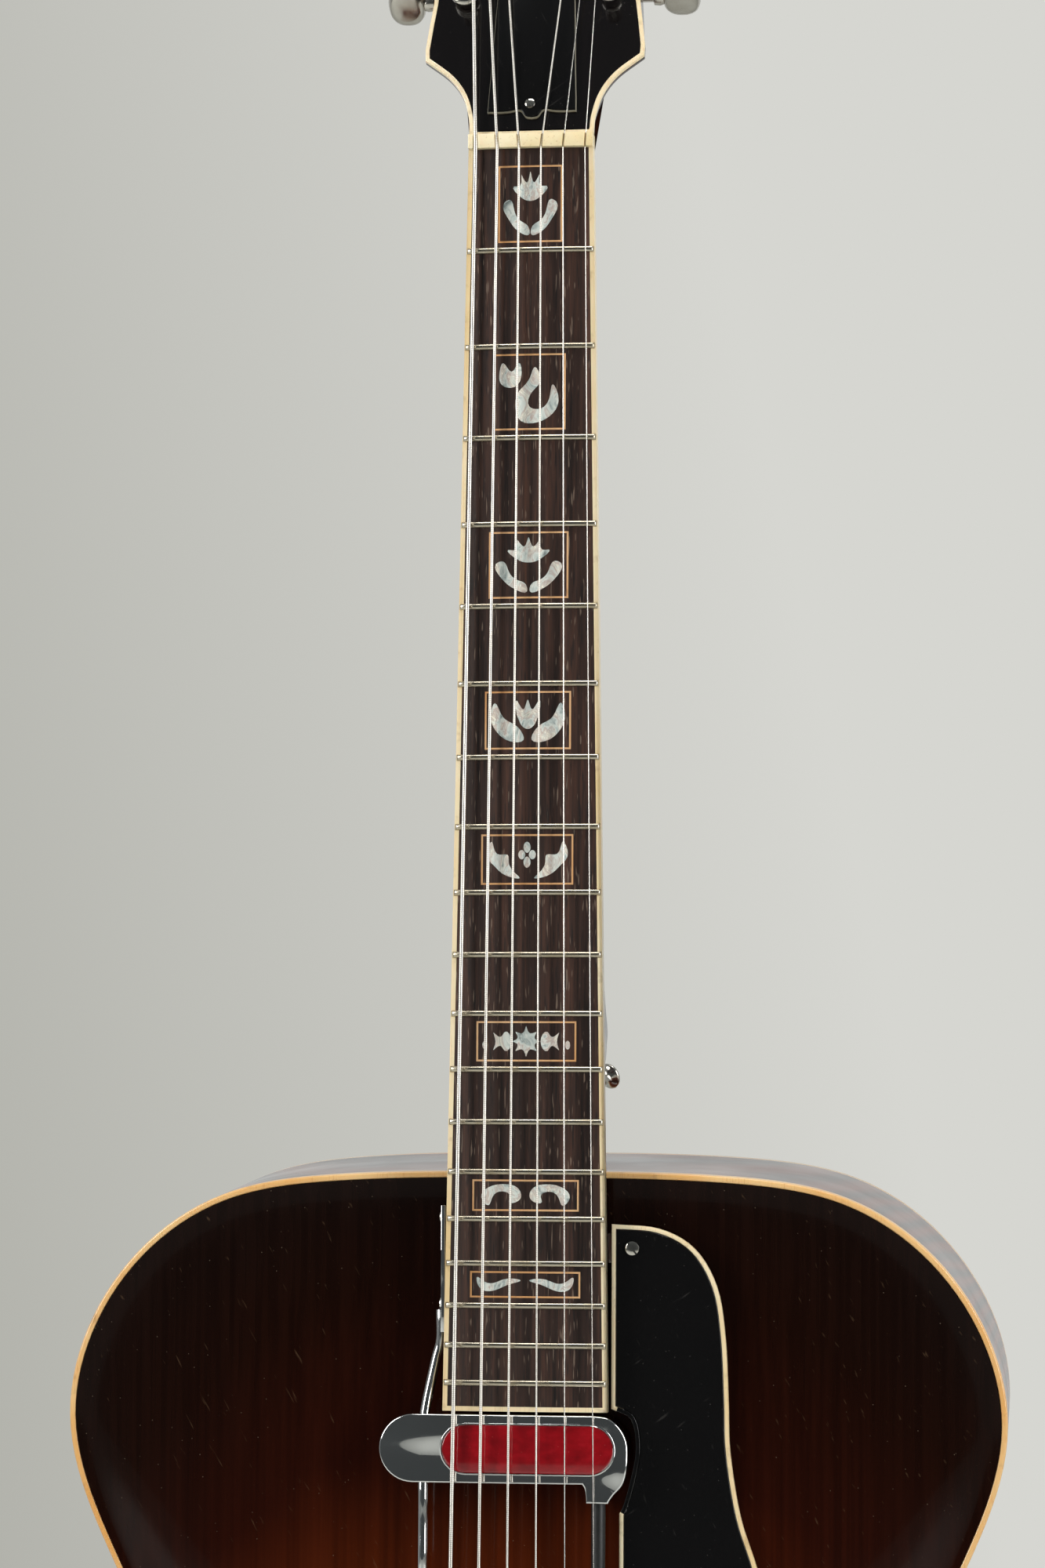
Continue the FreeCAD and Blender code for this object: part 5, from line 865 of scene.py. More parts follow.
SPRUCE = BurstLacquer("sunburst_spruce", "spruce_top")
MAPLE = FlamedLacquer("dark_flamed_maple", "maple_body")
NECK_WOOD = FlamedLacquer("dark_neck_lacquer", "neck_wood", "180a07", "331409", 18.0)
INSIDE = RawWood("bare_inside_wood", "inside_wood")
ROSEWOOD = OpenPored("oiled_rosewood", "rosewood")
IVOROID = Ivoroid("aged_ivoroid", "ivoroid")
ORANGE_LINE = Ivoroid("orange_line_ivoroid", "ivoroid", "dcb48a", "c08a56", "a06a3c")
AMBER_IVOROID = Ivoroid("ambered_ivoroid", "ivoroid", "e6c48c", "d69c52", "bd7f40")
PEARL = Shell("mother_of_pearl", "pearl")
BONE = Bone("yellowed_bone", "bone")
FRET_METAL = Metal("nickel_silver_frets", "nickel_silver", "c2b9a6", "8f7a50", 0.20, 0.36, 0.5)
NICKEL = Metal("worn_nickel", "nickel", "cbc6bc", "9a8f7d", 0.12, 0.30, 0.35)
STRING_STEEL = Metal("drawn_string_steel", "steel", "e2ded6", "c2bcae", 0.16, 0.26, 0.12)
STEEL = Metal("plain_steel", "steel", "c4c4c2", "8b8782", 0.18, 0.34, 0.25)
WINDING = Winding("wound_wire", "wound_string")
BRASS = Metal("plated_brass", "brass", "c2a468", "8a6c3a", 0.22, 0.40, 0.5)
CHROME = Metal("bright_chrome", "nickel", "dcdcda", "b5b2ac", 0.04, 0.12, 0.15, 0.8)
BLACK_GLOSS = Moulded("polished_black_lacquer", "black_gloss", "0d0a0a", "8a8078", 0.06, 0.5, 0.25, 0.07)
BLACK_PLASTIC = Moulded("polished_black_plastic", "black_plastic", "0b0a0a", "8a8580", 0.08, 0.4, 0.25, 0.06)
PLY = Moulded("worn_pale_ply", "black_plastic", "8d8878", "b5b0a0", 0.3, 0.1, 0.1, 0.05)
COIL_BLACK = Moulded("taped_coil_black", "coil_black", "100d0d", "3a3230", 0.4, 0.0, 0.1, 0.1)
RED_PANE = Glazing("red_pane", "red_window")
RUBBER = Rubber("black_rubber", "rubber_black")


def board_half(down: float, inset: float = 0.0) -> float:
    """Half of the fingerboard's width so far below the nut."""
    return 21.5 + (55.5 - 43.0) / 428.3 / 2 * down - inset


def board_drop(across: float) -> float:
    """How far the fingerboard's round has fallen so far from its middle."""
    return 304.8 - math.sqrt(304.8**2 - across**2)


def fret_down(number: float) -> float:
    """How far a fret lies below the nut."""
    return SCALE_LENGTH * (1 - 2 ** (-number / 12))


def screw_head(seat: Vector, along: Vector, radius: float, turn: float = 0.6, height: float = 0.9) -> Form:
    """A domed screw head with a slot.

    Args:
        seat: where it sits.
        along: the way it faces.
        radius: its radius.
        turn: how its slot is turned.
        height: how high it stands.

    Returns:
        The form.
    """
    wide = radius * 0.13
    form = Form()
    for side in (1, -1):
        arc = [math.acos(wide / radius) * (2 * i / 10 - 1) for i in range(11)]
        rings = []
        for share, rise in ((1.0, 0.0), (1.0, 0.35), (0.92, 0.72), (0.68, 0.94), (0.3, 1.0)):
            edge = [Vector((max(math.cos(a) * share, wide / radius), math.sin(a) * share, 0)) * radius for a in arc]
            rings.append([Vector((point.x * side, point.y * side, rise * height)) for point in edge])
        half = Form().loft(rings)
        form.add(half)
    form.lathe([(0, 0), (0, radius * 0.96), (height * 0.42, radius * 0.96), (height * 0.42, 0)], Vector(),
               Vector((0, 0, 1)), 20)
    aim = along.to_track_quat("Z", "Y").to_matrix().to_4x4()
    form.bm.transform(Matrix.Translation(seat) @ aim @ Matrix.Rotation(turn, 4, "Z"))
    return form


@dataclass
class CarvedBody:
    """The hollow body: carved top and back, rim and bindings."""

    length: float = 533.0
    upper: float = 320.0
    waist: float = 256.0
    lower: float = 432.0
    depth: float = 85.7
    edge: float = 5.0
    binding: float = 2.2
    wall: float = 2.3
    top_arch: float = 18.0
    back_arch: float = 16.0
    hole_length: float = 148.0
    hole_width: float = 30.0
    hole_out: float = 82.0
    hole_drop: float = 6.0
    hole_stem: float = 8.0

    def __post_init__(self) -> None:
        """Draw the outline once."""
        shares = ((self.upper, 0.43, 0.003), (self.upper, 0.665, 0.016), (self.upper, 0.905, 0.073),
                  (self.upper, 1.0, 0.158), (self.upper, 0.905, 0.252), (self.waist, 1.0, 0.36),
                  (self.lower, 0.78, 0.49), (self.lower, 1.0, 0.70), (self.lower, 0.93, 0.84),
                  (self.lower, 0.60, 0.965))
        half = [Vector((width / 2 * share, 0, -self.length * down)) for width, share, down in shares]
        knots = [Vector((0, 0, 0)), *half, Vector((0, 0, -self.length)), *[Vector((-k.x, 0, k.z)) for k in half[::-1]]]
        self.points, ways = closed_spline(knots, 11)
        self.inward = [Vector((way.z, 0, -way.x)) for way in ways]

    def outline(self, inset: float, depth: float, share: float = 1.0) -> Points:
        """The outline drawn in by an inset and shrunk about the bridge.

        Args:
            inset: how far it is drawn in.
            depth: how deep it lies.
            share: its size beside the whole.

        Returns:
            The ring's corners.
        """
        ring = []
        for point, inward in zip(self.points, self.inward):
            spot = point + inward * inset
            down = -spot.z / self.length
            if share < 0.875 and 0.158 < down < 0.70:
                along = (down - 0.158) / (0.70 - 0.158)
                straight = self.upper / 2 * (1 - along) + self.lower / 2 * along
                fill = max(straight - abs(spot.x), 0) * min((0.875 - share) * 1.6, 1)
                spot.x += math.copysign(fill, spot.x)
            ring.append(Vector((spot.x * share, depth, SADDLE + (spot.z - SADDLE) * share)))
        return ring

    def arch(self, share: float) -> float:
        """How high the carved arch stands at a share of the outline."""
        shares = (0.0, 0.12, 0.24, 0.36, 0.50, 0.61, 0.72, 0.80, 0.875, 0.92, 0.955, 0.98, 1.0)
        rises = (0.968, 0.967, 0.955, 0.895, 0.785, 0.635, 0.445, 0.255, 0.085, 0.0, -0.03, -0.018, 0.0)
        return float(np.interp(share, shares, rises))

    def plate(self, arch: float) -> Form:
        """A carved plate: its flat glued side, its edge, and its arch with the recurve.

        Args:
            arch: how high the arch stands.

        Returns:
            The form, facing the front.
        """
        shares = [1.0, 0.99, 0.98, 0.968, 0.955, 0.94, 0.92, 0.90, 0.875, 0.85, 0.82, 0.79, 0.755, 0.72, 0.68, 0.64,
                  0.60, 0.55, 0.50, 0.45, 0.40, 0.34, 0.28, 0.22, 0.16, 0.10, 0.05]
        inset = self.binding + 0.05
        knots = [Vector((share, self.arch(share), 0)) for share in shares]
        smooth = [Vector(knots[0])] + [(a + b * 2 + c) / 4 for a, b, c in zip(knots, knots[1:], knots[2:])] + [knots[-1]]
        rings = [self.outline(inset, self.edge, share) for share in (0.5, 0.885)]
        rings += [self.outline(inset, self.edge)]
        rings += [self.outline(inset, -arch * knot.y, knot.x) for knot in smooth]
        inner = [self.outline(inset, self.edge - (arch - 0.4) * (self.arch(share) + 0.02), share)
                 for share in (0.80, 0.70, 0.60, 0.50, 0.36, 0.24, 0.12)]
        form = Form()
        verts = form.ring(inner[-1])
        form.cap(verts)
        for points in inner[-2::-1] + [self.outline(inset, self.edge, 0.885)] + rings[2:]:
            verts = form.grow(verts, points)
        form.cap(verts)
        return form

    def hole_cutters(self) -> list[Form]:
        """The stems, eyes and nicks of both sound holes."""
        line = ((-0.27, 0.385), (-0.10, 0.455), (0.13, 0.455), (0.29, 0.37), (0.25, 0.21), (0.0, 0.0), (-0.25, -0.21),
                (-0.29, -0.37), (-0.13, -0.455), (0.10, -0.46), (0.30, -0.40))
        eyes = ((-0.27, 0.335, 0.165), (0.30, -0.335, 0.21))
        stems, upper, lower, nicks = Form(), Form(), Form(), Form()
        for side in (-1, 1):
            middle = Vector((side * self.hole_out, -30.0, SADDLE - self.hole_drop))
            spots = [middle + Vector((side * across * self.hole_width, 0, up * self.hole_length)) for across, up in line]
            path = open_spline(spots, 8)
            left, right = [], []
            for number, spot in enumerate(path):
                way = (path[min(number + 1, len(path) - 1)] - path[max(number - 1, 0)]).normalized()
                swell = 0.16 + 0.84 * math.sin(math.pi * number / (len(path) - 1))
                out = Vector((way.z, 0, -way.x)) * (self.hole_stem / 2 * swell)
                left.append(spot + out)
                right.append(spot - out)
            stems.prism(left + right[::-1], Vector((0, 40, 0)))
            for form, (across, up, radius) in zip((upper, lower), eyes):
                seat = middle + Vector((side * across * self.hole_width, 0, up * self.hole_length))
                form.lathe([(0, 0), (0, radius * self.hole_width), (40, radius * self.hole_width), (40, 0)], seat,
                           Vector((0, 1, 0)), 32)
            nick = [Vector((x, 0, z)) for x, z in ((-7.5, 0.6), (0, 1.8), (7.5, 0.6), (7.5, -0.6), (0, -1.8), (-7.5, -0.6))]
            nicks.prism([middle + Vector((point.x, 0, point.z)) for point in nick], Vector((0, 40, 0)))
        return [stems, upper, lower, nicks]

    def band(self, start: float, height: float, wall: float) -> Form:
        """A band along the outline, its wall inside it."""
        rings = [self.outline(0, start), self.outline(0, start + height), self.outline(wall, start + height),
                 self.outline(wall, start), self.outline(0, start)]
        form = Form()
        form.loft(rings, capped=False)
        bmesh.ops.remove_doubles(form.bm, verts=form.bm.verts[:], dist=1e-4)
        return form

    def build(self) -> None:
        """Make and dress every piece of the body."""
        top = settle(self.plate(self.top_arch), "carved_top", SPRUCE, place=BODY, replaces=("top_plate",))
        carve(top, self.hole_cutters(), BODY)
        back_place = BODY @ Matrix.Translation((0, self.depth, 0)) @ Matrix.Scale(-1, 4, (0, 1, 0))
        settle(self.plate(self.back_arch), "carved_back", MAPLE, place=back_place, replaces=("back_plate",))
        rim = self.band(self.edge, self.depth - self.edge * 2, self.wall)
        settle(rim, "bent_rim", MAPLE, place=BODY, replaces=("rim",))
        front = self.band(0, self.edge, self.binding)
        front.round(0.7, 3, 60, lambda spot: spot.y < 1.0)
        back = self.band(self.depth - self.edge, self.edge, self.binding)
        back.round(0.7, 3, 60, lambda spot: spot.y > self.depth - 1.0)
        settle(front.add(back), "body_edge_bindings", AMBER_IVOROID, place=BODY, replaces=("body_bindings",))
        for node in ("neck_block", "tail_block", "linings", "tone_bars"):
            dress(node, INSIDE)


@dataclass
class SlimNeck:
    """The neck with its heel, tongue, headstock blank and truss rod."""

    flat: float = 6.0
    depth_nut: float = 21.5
    depth_joint: float = 25.5
    heel_length: float = 76.0
    heel_reach: float = 34.0
    heel_width: float = 51.0
    cap_width: float = 30.0
    back: float = 101.7
    tongue_end: float = 419.3

    def section(self, down: float, depth: float, top: float, swell: float, wide: float | None = None) -> Points:
        """One section of the neck.

        Args:
            down: how far below the nut it lies.
            depth: how deep its back lies.
            top: how deep its flat lies.
            swell: from 0 for the shaft's round to 1 for the heel's full form.
            wide: its half width, where it isn't the fingerboard's.

        Returns:
            The corners, from the bass edge round the back to the treble edge.
        """
        half = board_half(down) if wide is None else wide
        rise = depth - top
        radius = (half**2 + rise**2) / (2 * rise)
        reach = math.asin(min(half / radius, 1.0))
        if rise > half:
            reach = math.pi - reach
        power = 2.0 + 2.2 * swell
        points = []
        for step in range(25):
            t = -1 + 2 * step / 24
            arc = Vector((radius * math.sin(reach * t), depth - radius * (1 - math.cos(reach * t)), 0))
            turn = math.pi / 2 * (1 - t)
            low = top + rise * abs(math.sin(turn)) ** (2 / power)
            fall = min(max((low - 15.3) / (self.back - 15.3), 0), 1)
            side = (self.heel_width / 2) * (1 - fall) + self.cap_width / 2 * fall
            side = half * (1 - swell) + side * swell
            full = Vector((side * math.copysign(abs(math.cos(turn)) ** (2 / power), t), low, 0))
            spot = arc.lerp(full, min(swell * 1.6, 1))
            points.append(Vector((spot.x, spot.y, -down)))
        return points

    def shaft(self) -> Form:
        """The shaft from the headstock to the heel, then the heel to the body."""
        rings = []
        for up in (32, 28, 24, 20, 16, 12, 8, 4, 0):
            depth = (21.5, 21.5, 21.65, 21.95, 22.4, 23.0, 23.6, 24.3, 25.0)[up // 4]
            rings.append(self.section(-up, depth, self.flat + 0.30 * up, 0.0, 21.5 + 0.12 * up))
        start, cap = JOINT - self.heel_length, JOINT - self.heel_reach
        for step in range(1, 13):
            down = start * step / 12
            rings.append(self.section(down, self.depth_nut + (self.depth_joint - self.depth_nut) * step / 12,
                                      self.flat, 0.0))
        bend = open_spline([Vector((start, self.depth_joint, 0)), Vector((start + 18, 32.5, 0)),
                            Vector((start + 31, 46.5, 0)), Vector((start + 38, 66.0, 0)),
                            Vector((cap - 0.6, 86.0, 0)), Vector((cap, self.back, 0))], 5)
        for spot in bend[1:]:
            swell = min((spot.y - self.depth_joint) / 45.0, 1.0) ** 0.8
            rings.append(self.section(spot.x, spot.y, self.flat, swell))
        rings.append(self.section(JOINT + 20, self.back, self.flat, 1.0))
        form = Form().loft(rings)
        bmesh.ops.recalc_face_normals(form.bm, faces=form.bm.faces[:])
        whole = [*form.bm.verts, *form.bm.edges, *form.bm.faces]
        wall = BODY.to_3x3() @ Vector((0, 0, 1))
        made = bmesh.ops.bisect_plane(form.bm, geom=whole, plane_co=BODY.translation, plane_no=wall, clear_inner=True)
        edges = [item for item in made["geom_cut"] if isinstance(item, bmesh.types.BMEdge)]
        bmesh.ops.holes_fill(form.bm, edges=edges)
        return form

    def tongue(self) -> Form:
        """The tongue that carries the fingerboard's end over the body."""
        rings = []
        for down, low in ((JOINT - 4, 13.2), (JOINT, 13.2), (self.tongue_end, 11.0)):
            half = board_half(down, 0.6)
            rings.append([Vector((-half, 6, -down)), Vector((-half, low, -down)), Vector((half, low, -down)),
                          Vector((half, 6, -down))])
        return Form().loft(rings).round(0.8, 2, 60, lambda spot: spot.y > 9)

    def build(self) -> None:
        """Make and dress the neck and its rod."""
        form = self.shaft().add(self.tongue())
        rings = []
        for deep, lean in ((0.0, 0.0), (1.6, 0.0), (14.0, 1.0)):
            ring = []
            for spot in Headstock().outline(deep):
                share = lean * (1 - min(max((spot.z - 28) / 22, 0), 1))
                ring.append(spot + Vector((-2.4 * share * spot.x / 38, 0, 7.6 * share)))
            rings.append(ring)
        head = Form().loft(rings)
        bmesh.ops.recalc_face_normals(head.bm, faces=head.bm.faces[:])
        head.round(0.9, 2, 50, lambda spot: spot.y > 10)
        form.add(head, HEAD)
        settle(form, "neck_and_heel", NECK_WOOD, replaces=("neck",), sharp=38)
        dress("truss_rod", STEEL)
        nut = from_cad("truss_rod_nut").round(0.4, 2, 30)
        settle(nut, "hexagonal_rod_nut", BRASS, body="rod_nut", replaces=("truss_rod_nut",))


@dataclass
class Headstock:
    """The headstock's black face, its binding and the truss rod's cover."""

    binding: float = 1.6
    thickness: float = 1.5

    def outline(self, depth: float) -> Points:
        """The headstock's outline in its own frame.

        Args:
            depth: how deep it lies.

        Returns:
            The corners, treble side first.
        """
        sweep = open_spline([Vector((21.5, 0, 0)), Vector((21.9, 0, 6.5)), Vector((24.3, 0, 15.0)),
                             Vector((29.2, 0, 22.3)), Vector((38.0, 0, 29.6))], 6)
        side = [Vector((38.2, 0, 33.6)), Vector((37.0, 0, 44.0)), Vector((36.0, 0, 51.6)), Vector((33.2, 0, 95.0)),
                Vector((30.9, 0, 137.6)), Vector((30.2, 0, 155.0))]
        crown = open_spline([Vector((30.0, 0, 160.0)), Vector((27.0, 0, 167.0)), Vector((20.0, 0, 167.8)),
                             Vector((10.0, 0, 169.6)), Vector((0, 0, 172.0))], 5)
        right = sweep + side + crown
        left = [Vector((-point.x, 0, point.z)) for point in reversed(right[:-1])]
        return [Vector((point.x, depth, point.z)) for point in right + left]

    def cover(self, thick: float, spread: float = 0.0) -> Form:
        """One ply of the cover over the rod's nut, so thick and spread by so much all round."""
        shares = ((0.0, 0.0), (0.14, 0.008), (0.27, 0.044), (0.55, 0.036), (0.95, 0.036), (1.0, 0.06), (0.95, 0.3),
                  (0.90, 0.6), (0.80, 0.86), (0.45, 0.98), (0.0, 1.0))
        right = open_spline([Vector(((15.0 + spread) * across, 0, 5.8 - spread + (70 + spread * 2) * up))
                             for across, up in shares], 4)
        loop = right + [Vector((-point.x, 0, point.z)) for point in reversed(right[1:-1])]
        form = Form().prism([point + Vector((0, -self.thickness, 0)) for point in loop], Vector((0, -thick, 0)))
        return form.round(0.15, 2, 50, lambda spot: spot.y < -self.thickness - thick / 2)

    def build(self) -> None:
        """Make and dress the face, the edge and the cover."""
        plate, edge = bound_plate(self.outline(-self.thickness), self.binding, self.thickness)
        edge.round(0.4, 2, 60, lambda spot: spot.y < -self.thickness + 0.1)
        settle(plate, "headstock_face", BLACK_GLOSS, place=HEAD, replaces=("headstock_overlay",))
        settle(edge, "headstock_edge", IVOROID, place=HEAD, replaces=("headstock_binding",))
        settle(self.cover(1.8), "rod_cover", BLACK_PLASTIC, place=HEAD, replaces=("truss_rod_cover",))
        settle(self.cover(0.9, 0.3), "rod_cover_pale_ply", PLY, place=HEAD)
        screws = Form()
        for across, up, turn in ((-0.6, 10.6, 0.5), (0.0, 70.0, 1.9)):
            screws.add(screw_head(Vector((across, -3.3, up)), Way.FRONT.vector, 1.8, turn))
        settle(screws, "rod_cover_screws", NICKEL, place=HEAD)


def bound_plate(points: Points, inset: float, thickness: float) -> tuple[Form, Form]:
    """Inset an outline and make a plate and the binding round it.

    Args:
        points: the outer outline, flat and facing the front.
        inset: how wide the binding is.
        thickness: how far both are pushed to the back.

    Returns:
        The plate and the binding.
    """
    parts = []
    for keep_ring in (False, True):
        form = Form()
        form.cap(form.ring(points))
        form.bm.normal_update()
        made = bmesh.ops.inset_region(form.bm, faces=form.bm.faces[:], thickness=inset, use_even_offset=True,
                                      use_boundary=True)
        ring = set(made["faces"])
        drop = [face for face in form.bm.faces if (face in ring) != keep_ring]
        bmesh.ops.delete(form.bm, geom=drop, context="FACES")
        base = form.bm.faces[:]
        made = bmesh.ops.extrude_face_region(form.bm, geom=base, use_keep_orig=True)
        fresh = [item for item in made["geom"] if isinstance(item, bmesh.types.BMVert)]
        bmesh.ops.translate(form.bm, verts=fresh, vec=(0, thickness, 0))
        bmesh.ops.recalc_face_normals(form.bm, faces=form.bm.faces[:])
        parts.append(form)
    return parts[0], parts[1]


@dataclass
class Fingerboard:
    """The bound fingerboard with its frets, inlays and nut."""

    length: float = 428.3
    binding: float = 1.6
    thickness: float = 6.0
    fret_count: int = 19
    frame_gap: float = 2.6
    first_gap: float = 6.0
    frame_line: float = 0.6
    frame_half: float = 10.65
    frame_slope: float = 0.0205

    def strip(self, inset: float, end: float, lift: float = 0.0) -> Form:
        """The board's block with its round face, drawn in at its sides and its end."""
        rings = []
        for down in (0.0, end):
            half = board_half(down, inset)
            across = [half * (2 * i / 24 - 1) for i in range(25)]
            face = [Vector((x, board_drop(x) - lift, -down)) for x in across]
            rings.append(face + [Vector((half, self.thickness, -down)), Vector((-half, self.thickness, -down))])
        return Form().loft(rings)

    def edge(self) -> Form:
        """The binding along both sides and across the end."""
        form = Form()
        for side in (-1, 1):
            rings = []
            for down in (0.0, self.length):
                outer = board_half(down) * side
                inner = board_half(min(down, self.length - self.binding), self.binding) * side
                low = down if down == 0.0 else self.length
                low_in = low if down == 0.0 else self.length - self.binding
                rings.append([Vector((outer, board_drop(outer), -low)), Vector((inner, board_drop(inner), -low_in)),
                              Vector((inner, self.thickness, -low_in)), Vector((outer, self.thickness, -low))])
            form.loft(rings)
        last = self.length - self.binding
        half, half_in = board_half(self.length), board_half(last, self.binding)
        rings = []
        for i in range(17):
            x, x_in = half * (2 * i / 16 - 1), half_in * (2 * i / 16 - 1)
            rings.append([Vector((x, board_drop(x), -self.length)), Vector((x_in, board_drop(x_in), -last)),
                          Vector((x_in, self.thickness, -last)), Vector((x, self.thickness, -self.length))])
        form.loft(rings)
        return form

    def fret(self, number: int) -> Form:
        """One fret: a rounded crown over the board's round, its ends sloped."""
        down, half = fret_down(number), board_half(fret_down(number), 0.3)
        section = [(-1.05, 0.0), (-0.98, 0.42), (-0.72, 0.78), (-0.36, 0.96), (0.0, 1.02), (0.36, 0.96), (0.72, 0.78),
                   (0.98, 0.42), (1.05, 0.0)]
        rings = []
        for share, rise in ((-1.0, 0.35), (-0.992, 0.75), (-0.975, 0.97), *((i / 8, 1.0) for i in range(-7, 8)),
                            (0.975, 0.97), (0.992, 0.75), (1.0, 0.35)):
            x = half * share
            rings.append([Vector((x, board_drop(x) + 0.02 - high * rise, -down + along)) for along, high in section])
        return Form().loft(rings)

    def drape(self, form: Form, lift: float) -> Form:
        """Lay a flat form on the board's round, a hair proud of it."""
        form.slice_across([i * 1.6 for i in range(-12, 13)])
        return form.shift(lambda spot: Vector((spot.x, spot.y + board_drop(spot.x) - lift, spot.z)))

    def inlay_room(self, number: int) -> tuple[float, float, float]:
        """A frame's half width and its top and bottom below the nut."""
        top = fret_down(number - 1) + (self.frame_gap if number > 1 else self.first_gap)
        bottom = fret_down(number) - self.frame_gap
        return self.frame_half + self.frame_slope * (top + bottom) / 2, top, bottom

    def build(self) -> None:
        """Make and dress the board and all that is set in it."""
        settle(self.strip(self.binding, self.length - self.binding), "rosewood_board", ROSEWOOD,
               replaces=("fingerboard",))
        settle(self.edge(), "board_edge", IVOROID, replaces=("fingerboard_binding",))
        frets = Form()
        for number in range(1, self.fret_count + 1):
            frets.add(self.fret(number))
        settle(frets, "crowned_frets", FRET_METAL, replaces=("frets",))
        lines, pearl = Form(), Form()
        for number in MOTIFS:
            half, top, bottom = self.inlay_room(number)
            outer = [Vector((x, 0, -z)) for x, z in ((-half, top), (half, top), (half, bottom), (-half, bottom))]
            plate, border = bound_plate(outer, self.frame_line, 0.5)
            plate.bm.free()
            lines.add(self.drape(border, 0.025))
            middle, wide, tall = -(top + bottom) / 2, (half - self.frame_line) * 2, bottom - top - self.frame_line * 2
            for loop, mirrored in MOTIFS[number]:
                for side in ((1, -1) if mirrored else (1,)):
                    knots = [Vector((side * across * wide, 0, middle + up * tall)) for across, up in loop]
                    leaf = Form().prism(closed_spline(knots, 4)[0], Vector((0, 0.5, 0)))
                    pearl.add(self.drape(leaf, 0.03))
        settle(lines, "inlay_line_frames", ORANGE_LINE, replaces=("inlay_frames",))
        settle(pearl, "pearl_motifs", PEARL, replaces=("pearl_inlays",))
        settle(from_cad("nut").round(0.25, 2, 40), "string_nut", BONE, replaces=("nut",))


LOTUS = ((0.0, 0.04), (0.12, 0.07), (0.27, 0.24), (0.17, 0.25), (0.15, 0.40), (0.06, 0.29), (0.0, 0.44),
                (-0.06, 0.29), (-0.15, 0.40), (-0.17, 0.25), (-0.27, 0.24), (-0.12, 0.07))
HEART_LEAF = ((0.02, -0.42), (0.18, -0.38), (0.36, -0.20), (0.43, 0.02), (0.34, 0.06), (0.26, -0.10),
                     (0.14, -0.24), (0.04, -0.30))
WING = ((0.05, -0.36), (0.22, -0.38), (0.38, -0.20), (0.45, 0.10), (0.40, 0.32), (0.30, 0.06), (0.18, -0.06),
               (0.10, -0.16))
TULIP = ((0.0, -0.16), (0.09, -0.06), (0.13, 0.36), (0.05, 0.20), (0.0, 0.38), (-0.05, 0.20), (-0.13, 0.36),
                (-0.09, -0.06))
UPPER_PETAL = ((0.0, 0.14), (0.04, 0.25), (0.0, 0.38), (-0.04, 0.25))
LOWER_PETAL = ((0.0, 0.06), (0.04, -0.05), (0.0, -0.18), (-0.04, -0.05))
SIDE_PETAL = ((0.02, 0.10), (0.06, 0.20), (0.10, 0.10), (0.06, 0.0))
ACANTHUS = ((0.08, -0.40), (0.24, -0.34), (0.38, -0.12), (0.46, 0.12), (0.40, 0.38), (0.34, 0.12),
                   (0.22, 0.10), (0.20, -0.12))
ROSETTE = ((0.0, 0.42), (0.04, 0.22), (0.11, 0.26), (0.09, 0.08), (0.14, 0.0), (0.09, -0.08), (0.11, -0.26),
                  (0.04, -0.22), (0.0, -0.42), (-0.04, -0.22), (-0.11, -0.26), (-0.09, -0.08), (-0.14, 0.0),
                  (-0.09, 0.08), (-0.11, 0.26), (-0.04, 0.22))
SIDE_LEAF = ((0.15, 0.0), (0.22, 0.26), (0.27, 0.12), (0.34, 0.24), (0.32, 0.0), (0.34, -0.24),
                    (0.27, -0.12), (0.22, -0.26))
DOT = ((0.43, 0.02), (0.456, -0.10), (0.43, -0.22), (0.404, -0.10))
SCROLL = ((-0.12, -0.40), (0.12, -0.42), (0.34, -0.30), (0.42, -0.06), (0.34, 0.10), (0.28, -0.12),
                 (0.12, -0.24), (0.0, -0.20), (0.04, 0.0), (0.16, 0.16), (0.08, 0.34), (0.0, 0.18), (-0.16, 0.0),
                 (-0.20, -0.24))
BLOSSOM = ((-0.40, 0.10), (-0.26, 0.06), (-0.12, 0.20), (-0.16, 0.40), (-0.26, 0.28), (-0.38, 0.40),
                  (-0.44, 0.24))
HOOK = ((0.04, 0.0), (0.08, 0.28), (0.20, 0.40), (0.36, 0.28), (0.43, -0.08), (0.36, -0.36), (0.32, -0.06),
               (0.22, 0.14), (0.15, -0.02), (0.16, -0.24), (0.07, -0.20))
WAVE = ((0.04, 0.18), (0.16, 0.26), (0.28, 0.08), (0.38, 0.12), (0.45, 0.32), (0.44, -0.05), (0.34, -0.30),
               (0.24, -0.18), (0.14, 0.02))
MOTIFS = {
    1: ((LOTUS, False), (HEART_LEAF, True)),
    3: ((SCROLL, False), (BLOSSOM, False)),
    5: ((LOTUS, False), (HEART_LEAF, True)),
    7: ((TULIP, False), (WING, True)),
    9: ((UPPER_PETAL, False), (LOWER_PETAL, False), (SIDE_PETAL, True), (ACANTHUS, True)),
    12: ((ROSETTE, False), (SIDE_LEAF, True), (DOT, True)),
    15: ((HOOK, True),),
    17: ((WAVE, True),),
}


